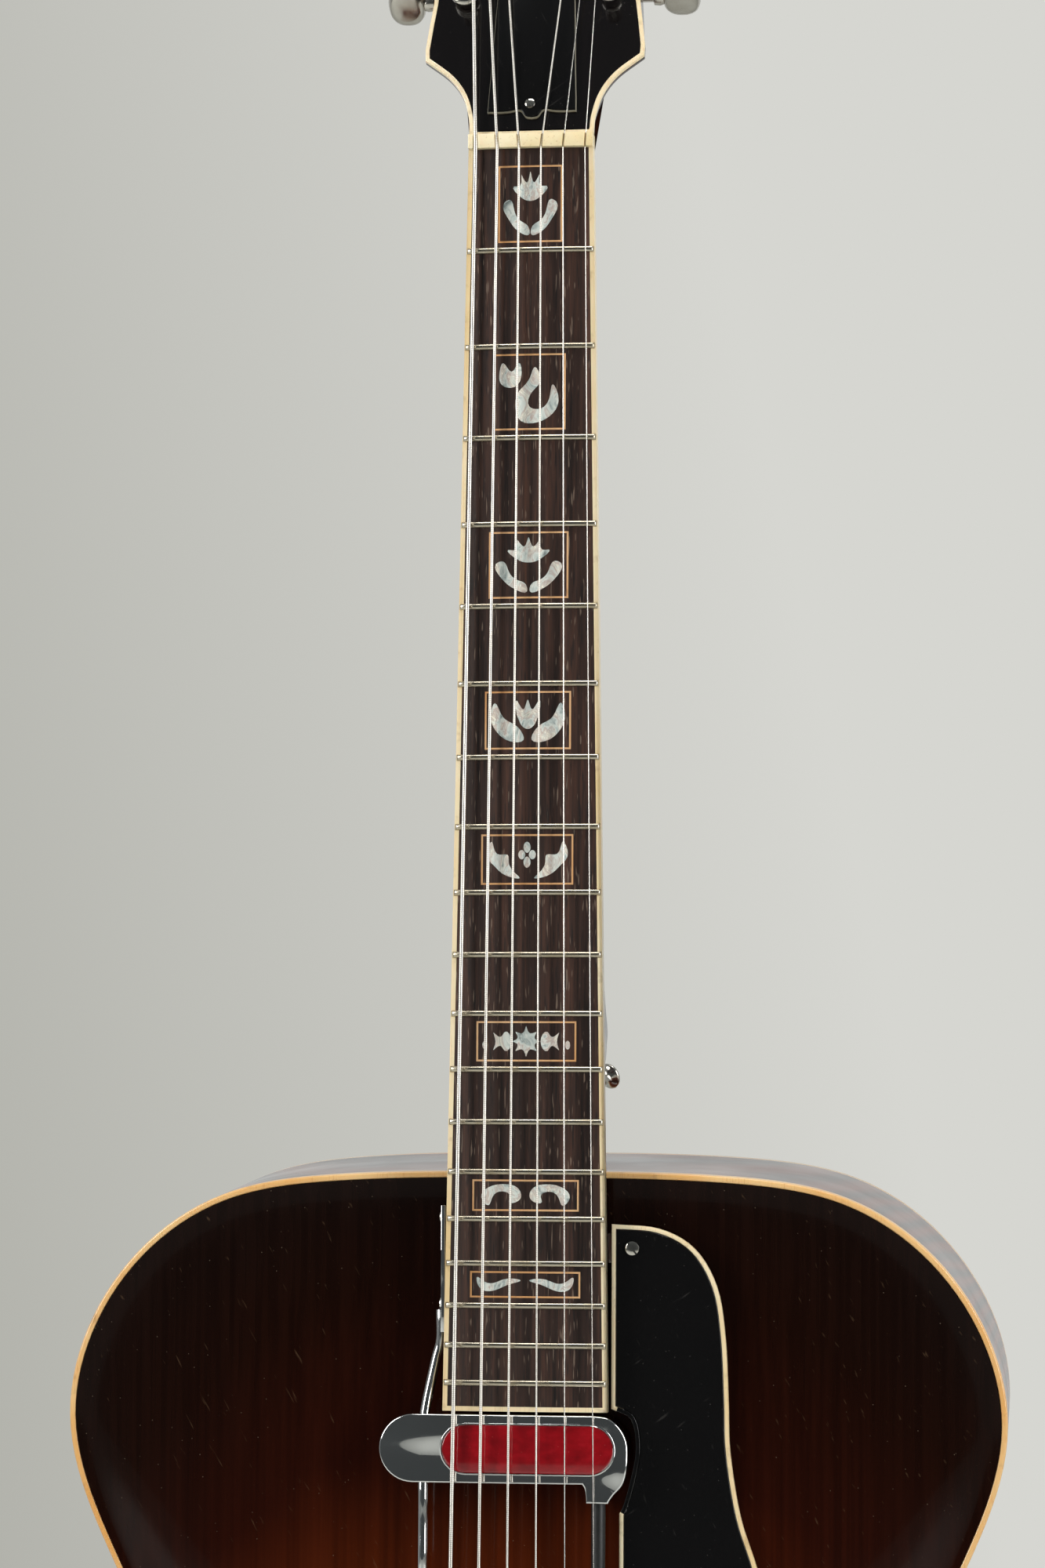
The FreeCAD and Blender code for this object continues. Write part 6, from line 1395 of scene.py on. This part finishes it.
@dataclass
class Tuners:
    """Six tuners: a plate with screws, a geared post with its wraps, and a key with its worm."""

    first: float = 56.0
    pitch: float = 41.0
    inset: float = 11.0
    gear_middle: float = 17.9
    worm_rise: float = 7.5
    gap: float = 5.8
    button: tuple[float, float, float] = (13.2, 16.0, 7.6)
    turns: tuple[float, ...] = (68, 16, 70, 86, 30, 58)

    def places(self) -> list[tuple[int, float, float]]:
        """Each tuner's side, how far out its post stands, and how far up the headstock."""
        found = []
        for side in (-1, 1):
            for index in range(3):
                up = self.first + self.pitch * index
                share = (up - 29.6) / (172.0 - 29.6)
                half = (75.2 * (1 - share) + 60.0 * share) / 2
                found.append((side, half - self.inset, up))
        return found

    def post(self, number: int, side: int, across: float, up: float) -> None:
        """Make one post with its wheel and the string's wraps.

        Args:
            number: the tuner's number.
            side: -1 for the bass side and 1 for the treble side.
            across: how far out the post stands.
            up: how far up the headstock it stands.
        """
        seat = Vector((across * side, -20.5, up))
        back = Way.BACK.vector
        form = Form().lathe([(0.0, 0.0), (0.0, 2.4), (0.5, 3.0), (5.0, 3.0), (6.4, 2.75), (11.0, 2.75), (13.0, 3.0),
                             (39.6, 3.0), (39.6, 0.0)], seat, back, 28)
        wheel = Form()
        points = []
        for tooth in range(14):
            for radius, step in ((3.9, 0.0), (4.9, 0.18), (4.9, 0.34), (3.9, 0.52)):
                turn = math.tau * (tooth + step - 0.02) / 14
                points.append(Vector((seat.x + radius * math.cos(turn), 16.45, up + radius * math.sin(turn))))
        wheel.prism(points, Vector((0, 2.9, 0)))
        form.add(wheel)
        settle(form, f"string_post_{number}", NICKEL, f"tuner_post_{number}", HEAD, (f"tuner_post_{number}",))
        string = number - 1 if side < 0 else 5 - (number - 4)
        radius = STRING_RADII[string]
        turns = 2.4 if string < 4 else 4.3
        ring = [seat + Vector((3.05 + radius + radius * math.cos(t), 8.6 + radius * math.sin(t), 0))
                for t in (math.tau * i / 8 for i in range(8))]
        wraps = Form().coil(ring, seat, back, radius * 2.04, turns, 22)
        finish = WINDING if string < 4 else STRING_STEEL
        settle(wraps, f"string_wraps_{number}", finish, f"tuner_post_{number}", HEAD)

    def key(self, number: int, side: int, across: float, up: float) -> None:
        """Make one key: its shaft, worm and oval button.

        Args:
            number: the tuner's number.
            side: -1 for the bass side and 1 for the treble side.
            across: how far out the post stands.
            up: how far up the headstock it stands.
        """
        middle = Vector((across * side, self.gear_middle, up + self.worm_rise))
        out = Vector((side, 0, 0))
        reach = self.inset + self.gap
        form = Form().lathe([(-6.5, 0), (-6.5, 1.8), (-4.5, 1.8), (-4.5, 1.75), (4.5, 1.75), (4.5, 1.8),
                             (reach - 3.4, 1.8), (reach - 3.0, 2.9), (reach - 0.9, 3.1), (reach + 0.3, 2.7),
                             (reach + 1.2, 2.2), (reach + 1.2, 0)], middle, out, 22)
        section = [middle + Vector((-4.0 * side + x, 0, z)) for x, z in ((-0.55, 1.6), (-0.2, 2.4), (0.2, 2.4),
                                                                        (0.55, 1.6))]
        form.add(Form().coil(section, middle, out, 1.95, 4.1, 18))
        long, high, thick = (length / 2 for length in self.button)
        centre = middle + out * (reach + long)
        turn = Matrix.Rotation(math.radians(self.turns[number - 1]), 3, "X")
        rings = []
        for rise, share in ((-1.0, 0.60), (-0.93, 0.80), (-0.72, 0.93), (-0.3, 1.0), (0.3, 1.0), (0.72, 0.93),
                            (0.93, 0.80), (1.0, 0.60)):
            rings.append([centre + turn @ Vector((long * share * math.copysign(abs(math.cos(t)) ** 0.85, math.cos(t)),
                                                  thick * rise,
                                                  high * share * math.copysign(abs(math.sin(t)) ** 0.85, math.sin(t))))
                          for t in (math.tau * i / 40 for i in range(40))])
        form.add(Form().loft(rings))
        settle(form, f"tuner_button_{number}", NICKEL, f"tuner_key_{number}", HEAD, (f"tuner_key_{number}",))

    def build(self) -> None:
        """Make and dress all the tuners."""
        plates = from_cad("tuner_plates").round(0.35, 2, 50)
        settle(plates, "tuner_base_plates", NICKEL, replaces=("tuner_plates",), sharp=50)
        screws, collars = Form(), Form()
        for number, (side, across, up) in enumerate(self.places(), start=1):
            for high in (up - 11.6, up + 14.6):
                screws.add(screw_head(Vector((across * side, 15.2, high)), Way.BACK.vector, 1.7, number * 0.7 + high))
            seat = Vector((across * side, -1.5, up))
            collars.lathe([(0.0, 3.1), (0.0, 5.2), (0.35, 5.2), (0.8, 4.9), (1.2, 4.3), (1.5, 3.9), (1.5, 3.1),
                           (0.0, 3.1)], seat, Way.FRONT.vector, 32)
            self.post(number, side, across, up)
            self.key(number, side, across, up)
        settle(screws, "tuner_plate_screws", NICKEL, place=HEAD)
        settle(collars, "post_collars", NICKEL, place=HEAD, replaces=("tuner_bushings",))


@dataclass
class Strings:
    """Six strings from their posts over the nut and the saddle to the tailpiece."""

    spread_nut: float = 37.6
    spread_bridge: float = 50.8
    lift_nut: float = 1.4
    lift_bridge: float = 6.0

    def path(self, index: int) -> Points:
        """The middle of one string, rounded where it bends.

        Args:
            index: the string, the lowest first.

        Returns:
            The points of its path.
        """
        radius = STRING_RADII[index]
        share = index / 5 - 0.5
        at_nut = Vector((self.spread_nut * share, 0, 0))
        at_nut.y = board_drop(at_nut.x) - self.lift_nut - radius
        at_saddle = Vector((self.spread_bridge * share, 0, -SCALE_LENGTH))
        at_saddle.y = board_drop(at_saddle.x) - self.lift_bridge - radius
        places = Tuners().places()
        side, across, up = places[index if index < 3 else 3 + (5 - index)]
        post = HEAD @ Vector((side * (across - 3.0 - radius - 0.3), -1.5 - 19.0 * 0.45, up))
        bar = TAIL @ Vector((self.spread_bridge * share, 0, 143.88 + 7.5))
        path = [post]
        for before, corner, after in ((post, at_nut, at_saddle), (at_nut, at_saddle, bar)):
            into, out = (before - corner).normalized() * 1.6, (after - corner).normalized() * 1.6
            for t in (0.0, 0.25, 0.5, 0.75, 1.0):
                path.append((corner + into).lerp(corner, t).lerp(corner.lerp(corner + out, t), t))
        return path + [bar]

    def build(self) -> None:
        """Make and dress the strings."""
        wound, plain = Form(), Form()
        for index, radius in enumerate(STRING_RADII):
            form = wound if index < 4 else plain
            path = self.path(index)
            form.tube(path, radius, 14)
        settle(wound, "wound_string_set", WINDING, replaces=("wound_strings",), sharp=60)
        settle(plain, "plain_string_set", STRING_STEEL, replaces=("plain_strings",), sharp=60)


@dataclass
class Bridge:
    """The rosewood bridge: base, threaded studs, thumbwheels and saddle."""

    crown: float = -17.28
    base_height: float = 10.0
    wheel_lift: float = 3.0
    wheel_thickness: float = 2.6
    wheel_radius: float = 8.0
    stud_radius: float = 2.0
    spread: float = 74.0

    def wheel(self, side: int) -> Form:
        """One thumbwheel with a milled edge and a bore."""
        back = self.crown - self.base_height - self.wheel_lift
        seat = Vector((side * self.spread / 2, back, SADDLE))
        form = Form()
        outer = []
        for tooth in range(44):
            for share, step in ((0.965, 0.0), (1.0, 0.3), (1.0, 0.55), (0.965, 0.85)):
                turn = math.tau * (tooth + step) / 44
                outer.append(Vector((math.cos(turn), 0, math.sin(turn))) * (self.wheel_radius * share))
        inner = [Vector((point.x, 0, point.z)).normalized() * (self.stud_radius + 0.1) for point in outer]
        rings = []
        for points, depth, share in ((inner, 0.0, 1.0), (outer, 0.0, 0.93), (outer, -0.4, 1.0),
                                     (outer, 0.4 - self.wheel_thickness, 1.0), (outer, -self.wheel_thickness, 0.93),
                                     (inner, -self.wheel_thickness, 1.0), (inner, 0.0, 1.0)):
            rings.append([seat + Vector((point.x * share, depth, point.z * share)) for point in points])
        return form.loft(rings, capped=False)

    def stud(self, side: int) -> Form:
        """One threaded stud."""
        seat = Vector((side * self.spread / 2, self.crown - self.base_height + 5.0, SADDLE))
        form = Form().lathe([(0, 0), (0, 1.62), (14.1, 1.62), (14.5, 1.3), (14.5, 0)], seat, Way.FRONT.vector, 20)
        thread = [seat + Vector((x, y - 0.4, 0)) for x, y in ((1.5, -0.32), (1.98, -0.06), (1.98, 0.06), (1.5, 0.32))]
        return form.add(Form().coil(thread, seat, Way.FRONT.vector, 0.7, 19.2, 18))

    def build(self) -> None:
        """Make and dress the bridge."""
        settle(from_cad("bridge_base").round(0.9, 3, 25), "bridge_foot", ROSEWOOD, replaces=("bridge_base",))
        settle(self.stud(-1).add(self.stud(1)), "threaded_studs", BRASS, place=BODY, replaces=("bridge_studs",))
        for side, name in ((-1, "bass"), (1, "treble")):
            settle(self.wheel(side), f"milled_wheel_{name}", BRASS, f"wheel_{name}", BODY, (f"thumbwheel_{name}",), 30)
        settle(from_cad("bridge_saddle").round(0.35, 2, 30), "saddle_beam", ROSEWOOD, "saddle",
               replaces=("bridge_saddle",))


@dataclass
class Tailpiece:
    """The plated trapeze tailpiece, its hinge and its bracket."""

    def build(self) -> None:
        """Make and dress the tailpiece."""
        settle(from_cad("tailpiece_frame").round(0.5, 3, 35), "trapeze_frame", NICKEL, replaces=("tailpiece_frame",))
        settle(from_cad("tailpiece_bracket").round(0.3, 2, 50), "hinge_bracket", NICKEL, replaces=("tailpiece_bracket",))
        seat = Vector((-15.3, -3.4, -533.0 - 1.6))
        pin = Form().lathe([(-0.4, 0), (-0.4, 1.1), (0.0, 1.4), (30.6, 1.4), (31.0, 1.1), (31.0, 0)], seat,
                           Way.TREBLE.vector, 16)
        settle(pin, "hinge_pin", STEEL, place=BODY, replaces=("tailpiece_pin",))
        ends = Form()
        for index in range(6):
            seat = TAIL @ Vector((50.8 * (index / 5 - 0.5), 0.4, 143.88 + 3.6))
            ends.lathe([(-1.5, 0), (-1.5, 1.2), (-1.1, 1.9), (1.1, 1.9), (1.5, 1.2), (1.5, 0)], seat,
                       Way.TREBLE.vector, 16)
        settle(ends, "string_ball_ends", BRASS)
        screws = Form()
        for across, deep in ((-9.0, 22.0), (9.0, 22.0), (-9.0, 56.0), (9.0, 56.0)):
            screws.add(screw_head(Vector((across, deep, -533.0 - 1.6)), Way.DOWN.vector, 2.6, across + deep, 1.1))
        settle(screws, "bracket_screws", NICKEL, place=BODY)


@dataclass
class Pickguard:
    """The floating pickguard, its binding, bracket and screws."""

    left: float = 28.2
    top: float = 366.0
    bottom: float = 601.0
    width: float = 57.0
    front: float = 8.3
    thickness: float = 2.4
    binding: float = 1.5

    def outline(self) -> Points:
        """The guard's outline: a smooth outer side, then the notch for the pickup."""
        shares = ((0.0, 0.0), (0.28, 0.006), (0.49, 0.034), (0.622, 0.088), (0.672, 0.16), (0.69, 0.25), (0.70, 0.32),
                  (0.76, 0.41), (0.86, 0.485), (0.96, 0.58), (1.0, 0.70), (0.97, 0.83), (0.86, 0.94), (0.70, 1.0),
                  (0.30, 0.995), (0.05, 0.96), (0.05, 0.90))
        tall = self.bottom - self.top
        spots = [Vector((self.left + self.width * across, self.front, -(self.top + tall * down)))
                 for across, down in shares]
        outer = open_spline(spots[:15], 5) + spots[15:]
        notch = ((31.05, 462.2), (32.6, 459.0), (35.0, 450.2), (36.57, 440.65), (34.9, 431.0), (28.2, 427.5))
        inner = open_spline([Vector((across, self.front, -down)) for across, down in notch], 4)
        return outer + inner

    def build(self) -> None:
        """Make and dress the guard."""
        plate, edge = bound_plate(self.outline(), self.binding, self.thickness)
        plate.add(edge.part(lambda spot: spot.x > self.left + 1.0 and -462.0 < spot.z < -427.8
                            and spot.x < 40.0))
        settle(plate.round(0.25, 1, 60, lambda spot: spot.y < self.front + 0.1), "guard_plate", BLACK_PLASTIC,
               replaces=("pickguard",))
        edge.round(0.45, 2, 60, lambda spot: spot.y < self.front + 0.1)
        settle(edge, "guard_edge", IVOROID, replaces=("pickguard_binding",))
        settle(from_cad("pickguard_bracket").round(0.3, 2, 50), "guard_bracket", NICKEL, replaces=("pickguard_bracket",))
        screws = Form()
        for across, down in ((35.2, 374.0), (62.0, 550.0)):
            screws.add(screw_head(Vector((across, self.front, -down)), Way.FRONT.vector, 2.5, across, 1.2))
        settle(screws, "guard_screws", NICKEL)


def stadium(across: float, up: float, length: float, height: float, front: float, steps: int = 14) -> Points:
    """The outline of a long plate with round ends.

    Args:
        across: its middle across.
        up: its middle up.
        length: its whole length.
        height: its whole height.
        front: how deep it lies.
        steps: how many faces each end has.

    Returns:
        The corners.
    """
    straight, radius = (length - height) / 2, height / 2
    loop = []
    for end, first in ((1, -90), (-1, 90)):
        for step in range(steps + 1):
            turn = math.radians(first + 180 * step / steps)
            loop.append(Vector((across + end * straight + radius * math.cos(turn), front,
                                up + radius * math.sin(turn))))
    return loop


@dataclass
class Pickup:
    """The floating pickup: its chromed housing, red window, coil, lead and rod."""

    middle: float = -440.65
    centre: float = -7.0
    window: float = 1.2
    length: float = 83.5
    height: float = 22.7
    front: float = -1.6
    thickness: float = 9.6
    spout: float = 24.63
    lead_end: float = 570.0
    rod_out: float = -34.7
    rod_depth: float = 5.2

    def housing_outline(self) -> Points:
        """The housing's outline: a round bass end and a treble end that falls into the spout."""
        radius = self.height / 2
        right, left = self.centre + self.length / 2, self.centre - self.length / 2
        low = self.middle - radius
        bass = [Vector((left + radius + radius * math.cos(t), 0, self.middle + radius * math.sin(t)))
                for t in (math.pi / 2 + math.pi * i / 22 for i in range(23))]
        under = open_spline([Vector((19.6, 0, low)), Vector((20.4, 0, low - 1.4)), Vector((20.8, 0, low - 3.8)),
                             Vector((20.93, 0, low - 6.2))], 4)
        tip = [Vector((28.33, 0, low - 6.2))]
        side = open_spline([Vector((28.6, 0, low - 5.4)), Vector((30.2, 0, low - 3.2)), Vector((32.9, 0, low - 0.2)),
                            Vector((34.2, 0, low + 3.6)), Vector((right, 0, low + 9.5)),
                            Vector((34.3, 0, low + 14.6)), Vector((31.9, 0, low + 19.0)),
                            Vector((28.2, 0, low + 21.9)), Vector((right - 11.4, 0, low + self.height))], 4)
        return [Vector((point.x, self.front, point.z)) for point in bass + under + tip + side]

    def housing(self) -> Form:
        """The housing as a block with its front edges rounded."""
        form = Form().prism(self.housing_outline(), Vector((0, self.thickness, 0)))
        form.round(2.9, 8, 50, lambda spot: spot.y < self.front + 0.1)
        return form

    def lip(self) -> Form:
        """The thin raised lip round the window."""
        outer, inner = (58.9, 17.1), (58.0, 16.2)
        rings = []
        for (length, height), depth in ((outer, 0.1), (outer, -0.06), ((58.7, 16.9), -0.14), ((58.2, 16.4), -0.14),
                                        (inner, -0.25), (inner, 1.2), (outer, 1.2), (outer, 0.1)):
            rings.append(stadium(self.window, self.middle, length, height, self.front + depth))
        return Form().loft(rings, capped=False)

    def lead(self) -> Form:
        """The lead: a tapered sleeve at the spout, then the plain cable."""
        deep = self.front + self.thickness / 2
        start = self.middle - self.height / 2 - 6.2
        spots = [(start + 3.0, 2.3), (start, 2.38), (start - 2, 2.4), (start - 14, 2.38), (start - 26, 2.3),
                 (start - 27, 2.15)]
        low = start - 27
        while low > -self.lead_end + 2:
            spots.append((low, 2.1))
            low -= 4.0
        spots.append((-self.lead_end, 2.1))
        rings = [[Vector((self.spout + radius * math.cos(t), deep + radius * math.sin(t), z))
                  for t in (math.tau * i / 20 for i in range(20))] for z, radius in spots]
        return Form().loft(rings)

    def rod(self) -> Form:
        """The rod with its bend, and the strip on the neck's side."""
        side = -board_half(400.0) - 0.3
        meet = Vector((side - 1.75, 8.5, 0))
        knots = [Vector((self.rod_out, self.rod_depth, -566.0)), Vector((self.rod_out, self.rod_depth, -450.0)),
                 Vector((self.rod_out, self.rod_depth, -436.0)), Vector((self.rod_out + 0.7, self.rod_depth, -428.0)),
                 Vector((meet.x - 1.6, 7.8, -412.0)), Vector((meet.x, meet.y, -405.0)), Vector((meet.x, meet.y, -395.0))]
        form = Form().tube(open_spline(knots, 8), 1.72, 16)
        strip = [Vector((side - 1.6, y, z)) for y, z in ((5.5, -402.5), (11.5, -402.5), (11.5, -360.0), (5.5, -360.0))]
        form.add(Form().prism(strip, Vector((1.6, 0, 0))).round(0.3, 2, 50))
        return form

    def build(self) -> None:
        """Make and dress the pickup, which slides on its rod."""
        housing = settle(self.housing(), "chrome_housing", CHROME, "pickup", replaces=("pickup_housing",), sharp=50)
        mouth = Form().prism(stadium(self.window, self.middle, 58.0, 16.2, self.front - 2), Vector((0, 3.4, 0)))
        chamber = Form().prism(stadium(self.window, self.middle, 51.3, 13.3, self.front - 1), Vector((0, 9.3, 0)))
        carve(housing, [mouth, chamber], NECK, 50)
        settle(self.lip(), "window_lip", CHROME, "pickup")
        rings = [stadium(self.window, self.middle, 57.8 - share, 16.0 - share, self.front + depth)
                 for share, depth in ((0, 1.4), (0, 0.25), (0.5, 0.05), (1.6, -0.05))]
        settle(Form().loft(rings), "red_window_pane", RED_PANE, "pickup", replaces=("pickup_window",))
        coil = Form().prism(stadium(self.window, self.middle, 50.0, 12.0, self.front + 1.4), Vector((0, 6.8, 0))).round(0.4, 2)
        settle(coil, "wound_coil", COIL_BLACK, "pickup", replaces=("pickup_coil",))
        cable = settle(self.lead(), "pickup_cable", RUBBER, body="", replaces=("pickup_lead",))
        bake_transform(cable)
        settle(self.rod(), "pickup_slide_rod", CHROME, replaces=("pickup_rod",))
        screws = Form()
        side = -board_half(400.0) - 0.3 - 1.6
        for low in (-364.0, -393.0):
            screws.add(screw_head(Vector((side, 8.5, low)), Way.BASS.vector, 1.9, low, 0.8))
        settle(screws, "strip_screws", NICKEL)




@dataclass
class Controls:
    """The control box on the guard, with its knob and its output jack."""

    knob: tuple[float, float, float] = (46.0, -2.5, -585.0)

    def build(self) -> None:
        """Make and dress the controls."""
        settle(from_cad("control_box").round(0.8, 3, 50), "control_case", BLACK_PLASTIC, replaces=("control_box",))
        seat = Vector((56.2, 2.9, -590.4))
        jack = Form().lathe([(0, 3.25), (0, 4.0), (19.6, 4.0), (19.9, 4.0), (21.4, 4.0), (22.0, 3.6), (22.0, 3.25),
                             (0, 3.25)], seat, Way.TREBLE.vector, 32)
        settle(jack, "jack_barrel", NICKEL, replaces=("output_jack",))
        out, wide = 9.0, 9.0
        rings = []
        for far, share, ribs in ((0.0, 1.0, 1), (0.4, 1.0, 1), (6.6, 0.93, 1), (7.4, 0.90, 1), (8.2, 0.83, 0),
                                 (8.7, 0.70, 0), (8.75, 0.5, 0), (8.5, 0.35, 0), (8.45, 0.1, 0)):
            ring = []
            for step in range(72):
                turn = math.tau * step / 72
                rib = 0.975 if ribs and step % 3 == 0 else 1.0
                ring.append(Vector((self.knob[0] + wide * share * rib * math.cos(turn), self.knob[1] - 0.3 - far,
                                    self.knob[2] + wide * share * rib * math.sin(turn))))
            rings.append(ring)
        form = Form().loft(rings)
        form.lathe([(-2.0, 0), (-2.0, 3.0), (4.0, 3.0), (4.0, 0)], Vector((self.knob[0], self.knob[1] - 0.4,
                                                                         self.knob[2])), Way.FRONT.vector, 20)
        settle(form, "ribbed_knob", BLACK_PLASTIC, "knob", replaces=("control_knob",), sharp=25)
        mark = Form().prism([Vector((self.knob[0] + x, self.knob[1] - 0.3 - 8.80, self.knob[2] + z))
                             for x, z in ((-0.45, 3.2), (0.45, 3.2), (0.45, 6.2), (-0.45, 6.2))], Vector((0, 0.6, 0)))
        settle(mark, "knob_pointer", IVOROID, "knob")
        LOG.info("knob reaches %.1f mm out", out)


@dataclass
class StrapButtons:
    """The strap button on the heel and the end pin."""

    height: float = 10.5

    def button(self, seat: Vector, along: Vector, share: float = 1.0) -> Form:
        """One turned button on its shank, at a share of its full size."""
        profile = ((-6.0, 0), (-6.0, 2.2), (0.0, 2.2), (0.0, 4.5), (0.5, 4.76), (1.2, 4.3), (2.2, 3.3), (3.4, 2.95),
                   (5.4, 2.95), (6.6, 3.5), (7.6, 4.7), (8.3, 5.4), (8.8, 5.6), (9.5, 5.4), (10.1, 4.7), (10.4, 3.4),
                   (self.height, 0))
        return Form().lathe([(rise * share, radius * share) for rise, radius in profile], seat, along, 36)

    def build(self) -> None:
        """Make and dress both buttons."""
        heel = self.button(Vector((15.6, 74.6, -318.02)), Vector((0.55, 0.75, 0.36)).normalized(), 0.84)
        pin = self.button(Vector((0, 43.0, -534.6)), Way.DOWN.vector)
        heel.add(pin, BODY)
        settle(heel, "strap_button_pair", NICKEL, replaces=("strap_buttons",))


@dataclass
class Studio:
    """The pale floor, soft lamps, backdrop light and the camera."""

    floor: float = -0.99
    lens: float = 95.966
    place: tuple[float, float, float] = (0.1732368, -1.3953099, -0.3369818)
    tilt: float = 0.08424889
    yaw: float = 0.12469825
    roll: float = -0.00516015

    def lamp(self, name: str, at: tuple[float, float, float], aim: tuple[float, float, float], wide: float,
             high: float, power: float) -> None:
        """Hang one soft lamp.

        Args:
            name: the lamp's name.
            at: where it hangs.
            aim: what it points at.
            wide: its width.
            high: its height.
            power: its power.
        """
        data = bpy.data.lights.new(name, "AREA")
        data.shape, data.size, data.size_y, data.energy = "RECTANGLE", wide, high, power
        lamp = bpy.data.objects.new(name, data)
        lamp.location = at
        lamp.rotation_euler = (Vector(aim) - Vector(at)).to_track_quat("-Z", "Y").to_euler()
        bpy.context.scene.collection.objects.link(lamp)

    def backdrop(self) -> None:
        """Give the world a pale grey for the eye and for gloss, darker to one side and lighter to the other as a
        painted falloff of light on the backdrop, and a soft light for the rest.
        """
        world = bpy.data.worlds.new("studio")
        bpy.context.scene.world = world
        world.use_nodes = True
        tree = world.node_tree
        tree.nodes.clear()
        add, link = tree.nodes.new, tree.links.new
        output, mixer = add("ShaderNodeOutputWorld"), add("ShaderNodeMixShader")
        seen, fill = add("ShaderNodeBackground"), add("ShaderNodeBackground")
        way, split, ramp = add("ShaderNodeTexCoord"), add("ShaderNodeMapping"), add("ShaderNodeValToRGB")
        split.inputs["Rotation"].default_value = (0.0, math.radians(12.0), 0.0)
        painted_falloff_axis = add("ShaderNodeSeparateXYZ")
        stretch = add("ShaderNodeMapRange")
        link(way.outputs["Generated"], split.inputs[0])
        link(split.outputs[0], painted_falloff_axis.inputs[0])
        link(painted_falloff_axis.outputs["X"], stretch.inputs["Value"])
        stretch.inputs["From Min"].default_value = -0.26
        stretch.inputs["From Max"].default_value = -0.03
        link(stretch.outputs[0], ramp.inputs[0])
        # Painted light: the eye's backdrop grey runs from darker on one side to lighter on the other, a painted falloff
        # of the studio light.
        ramp.color_ramp.elements[0].color = tint("b2b2ab")
        ramp.color_ramp.elements[1].color = tint("d6d6d1")
        link(ramp.outputs[0], seen.inputs["Color"])
        depth, room = add("ShaderNodeMapRange"), add("ShaderNodeValToRGB")
        around = add("ShaderNodeSeparateXYZ")
        link(way.outputs["Generated"], around.inputs[0])
        link(around.outputs["Y"], depth.inputs["Value"])
        depth.inputs["From Min"].default_value = -1.0
        link(depth.outputs[0], room.inputs[0])
        stops = room.color_ramp.elements
        stops.new(0.25)
        stops.new(0.55)
        for stop, (at, code) in zip(stops, ((0.0, "424546"), (0.25, "64686a"), (0.55, "a3a6a6"), (1.0, "d2d4d2"))):
            stop.position, stop.color = at, tint(code)
        link(room.outputs[0], fill.inputs["Color"])
        path, either = add("ShaderNodeLightPath"), add("ShaderNodeMath")
        either.operation = "MAXIMUM"
        link(path.outputs["Is Camera Ray"], either.inputs[0])
        link(path.outputs["Is Transmission Ray"], either.inputs[1])
        link(either.outputs[0], mixer.inputs[0])
        link(fill.outputs[0], mixer.inputs[1])
        link(seen.outputs[0], mixer.inputs[2])
        link(mixer.outputs[0], output.inputs[0])

    def ground(self) -> None:
        """Lay the floor."""
        form = Form()
        size = 2600.0
        form.cap(form.ring([Vector((-size, -size, self.floor * 1000)), Vector((size, -size, self.floor * 1000)),
                            Vector((size, size, self.floor * 1000)), Vector((-size, size, self.floor * 1000))]))
        floor = bpy.data.objects.new("floor", form.mesh("floor", NECK))
        bpy.context.scene.collection.objects.link(floor)
        graph = Graph("pale_floor")
        cloud = graph.noise((3, 3, 3), 3.0)
        floor.data.materials.append(graph.close(graph.blend(cloud, tint("c6c7c2"), tint("cfd0cb")), 0.6))

    def camera(self) -> None:
        """Set the camera where the photograph was taken from."""
        data = bpy.data.cameras.new("eye")
        data.sensor_fit, data.sensor_width, data.lens = "AUTO", 36.0, self.lens
        data.clip_start, data.clip_end = 0.05, 60.0
        eye = bpy.data.objects.new("eye", data)
        bpy.context.scene.collection.objects.link(eye)
        turn = (Matrix.Rotation(self.yaw, 3, "Z") @ Matrix.Rotation(self.tilt, 3, "X")
                @ Matrix.Rotation(self.roll, 3, "Y"))
        right, ahead, up = turn.col[0], turn.col[1], turn.col[2]
        facing = Matrix((right, up, -ahead)).transposed().to_4x4()
        eye.matrix_world = Matrix.Translation(self.place) @ facing
        bpy.context.scene.camera = eye

    def build(self) -> None:
        """Set up the studio."""
        self.backdrop()
        self.ground()
        self.camera()
        self.lamp("left_box", (-1.6, -1.2, 0.35), (0.0, 0.0, -0.35), 0.8, 1.6, 34.0)
        self.lamp("right_box", (1.7, -1.0, 0.1), (0.05, 0.0, -0.4), 0.7, 1.6, 30.0)
        self.lamp("top_box", (0.1, -0.45, 1.8), (0.0, 0.0, -0.3), 1.4, 0.6, 20.0)
        view = bpy.context.scene.view_settings
        view.view_transform = "Standard"


def main() -> None:
    """Build the guitar's looks piece by piece, then the studio."""
    logging.basicConfig(level=logging.INFO, format="%(message)s")
    for part in (CarvedBody(), SlimNeck(), Headstock(), Fingerboard(), Tuners(), Strings(), Bridge(), Tailpiece(),
                 Pickguard(), Pickup(), Controls(), StrapButtons(), Studio()):
        part.build()
        LOG.info("built %s", type(part).__name__)


if __name__ == "__main__":
    main()
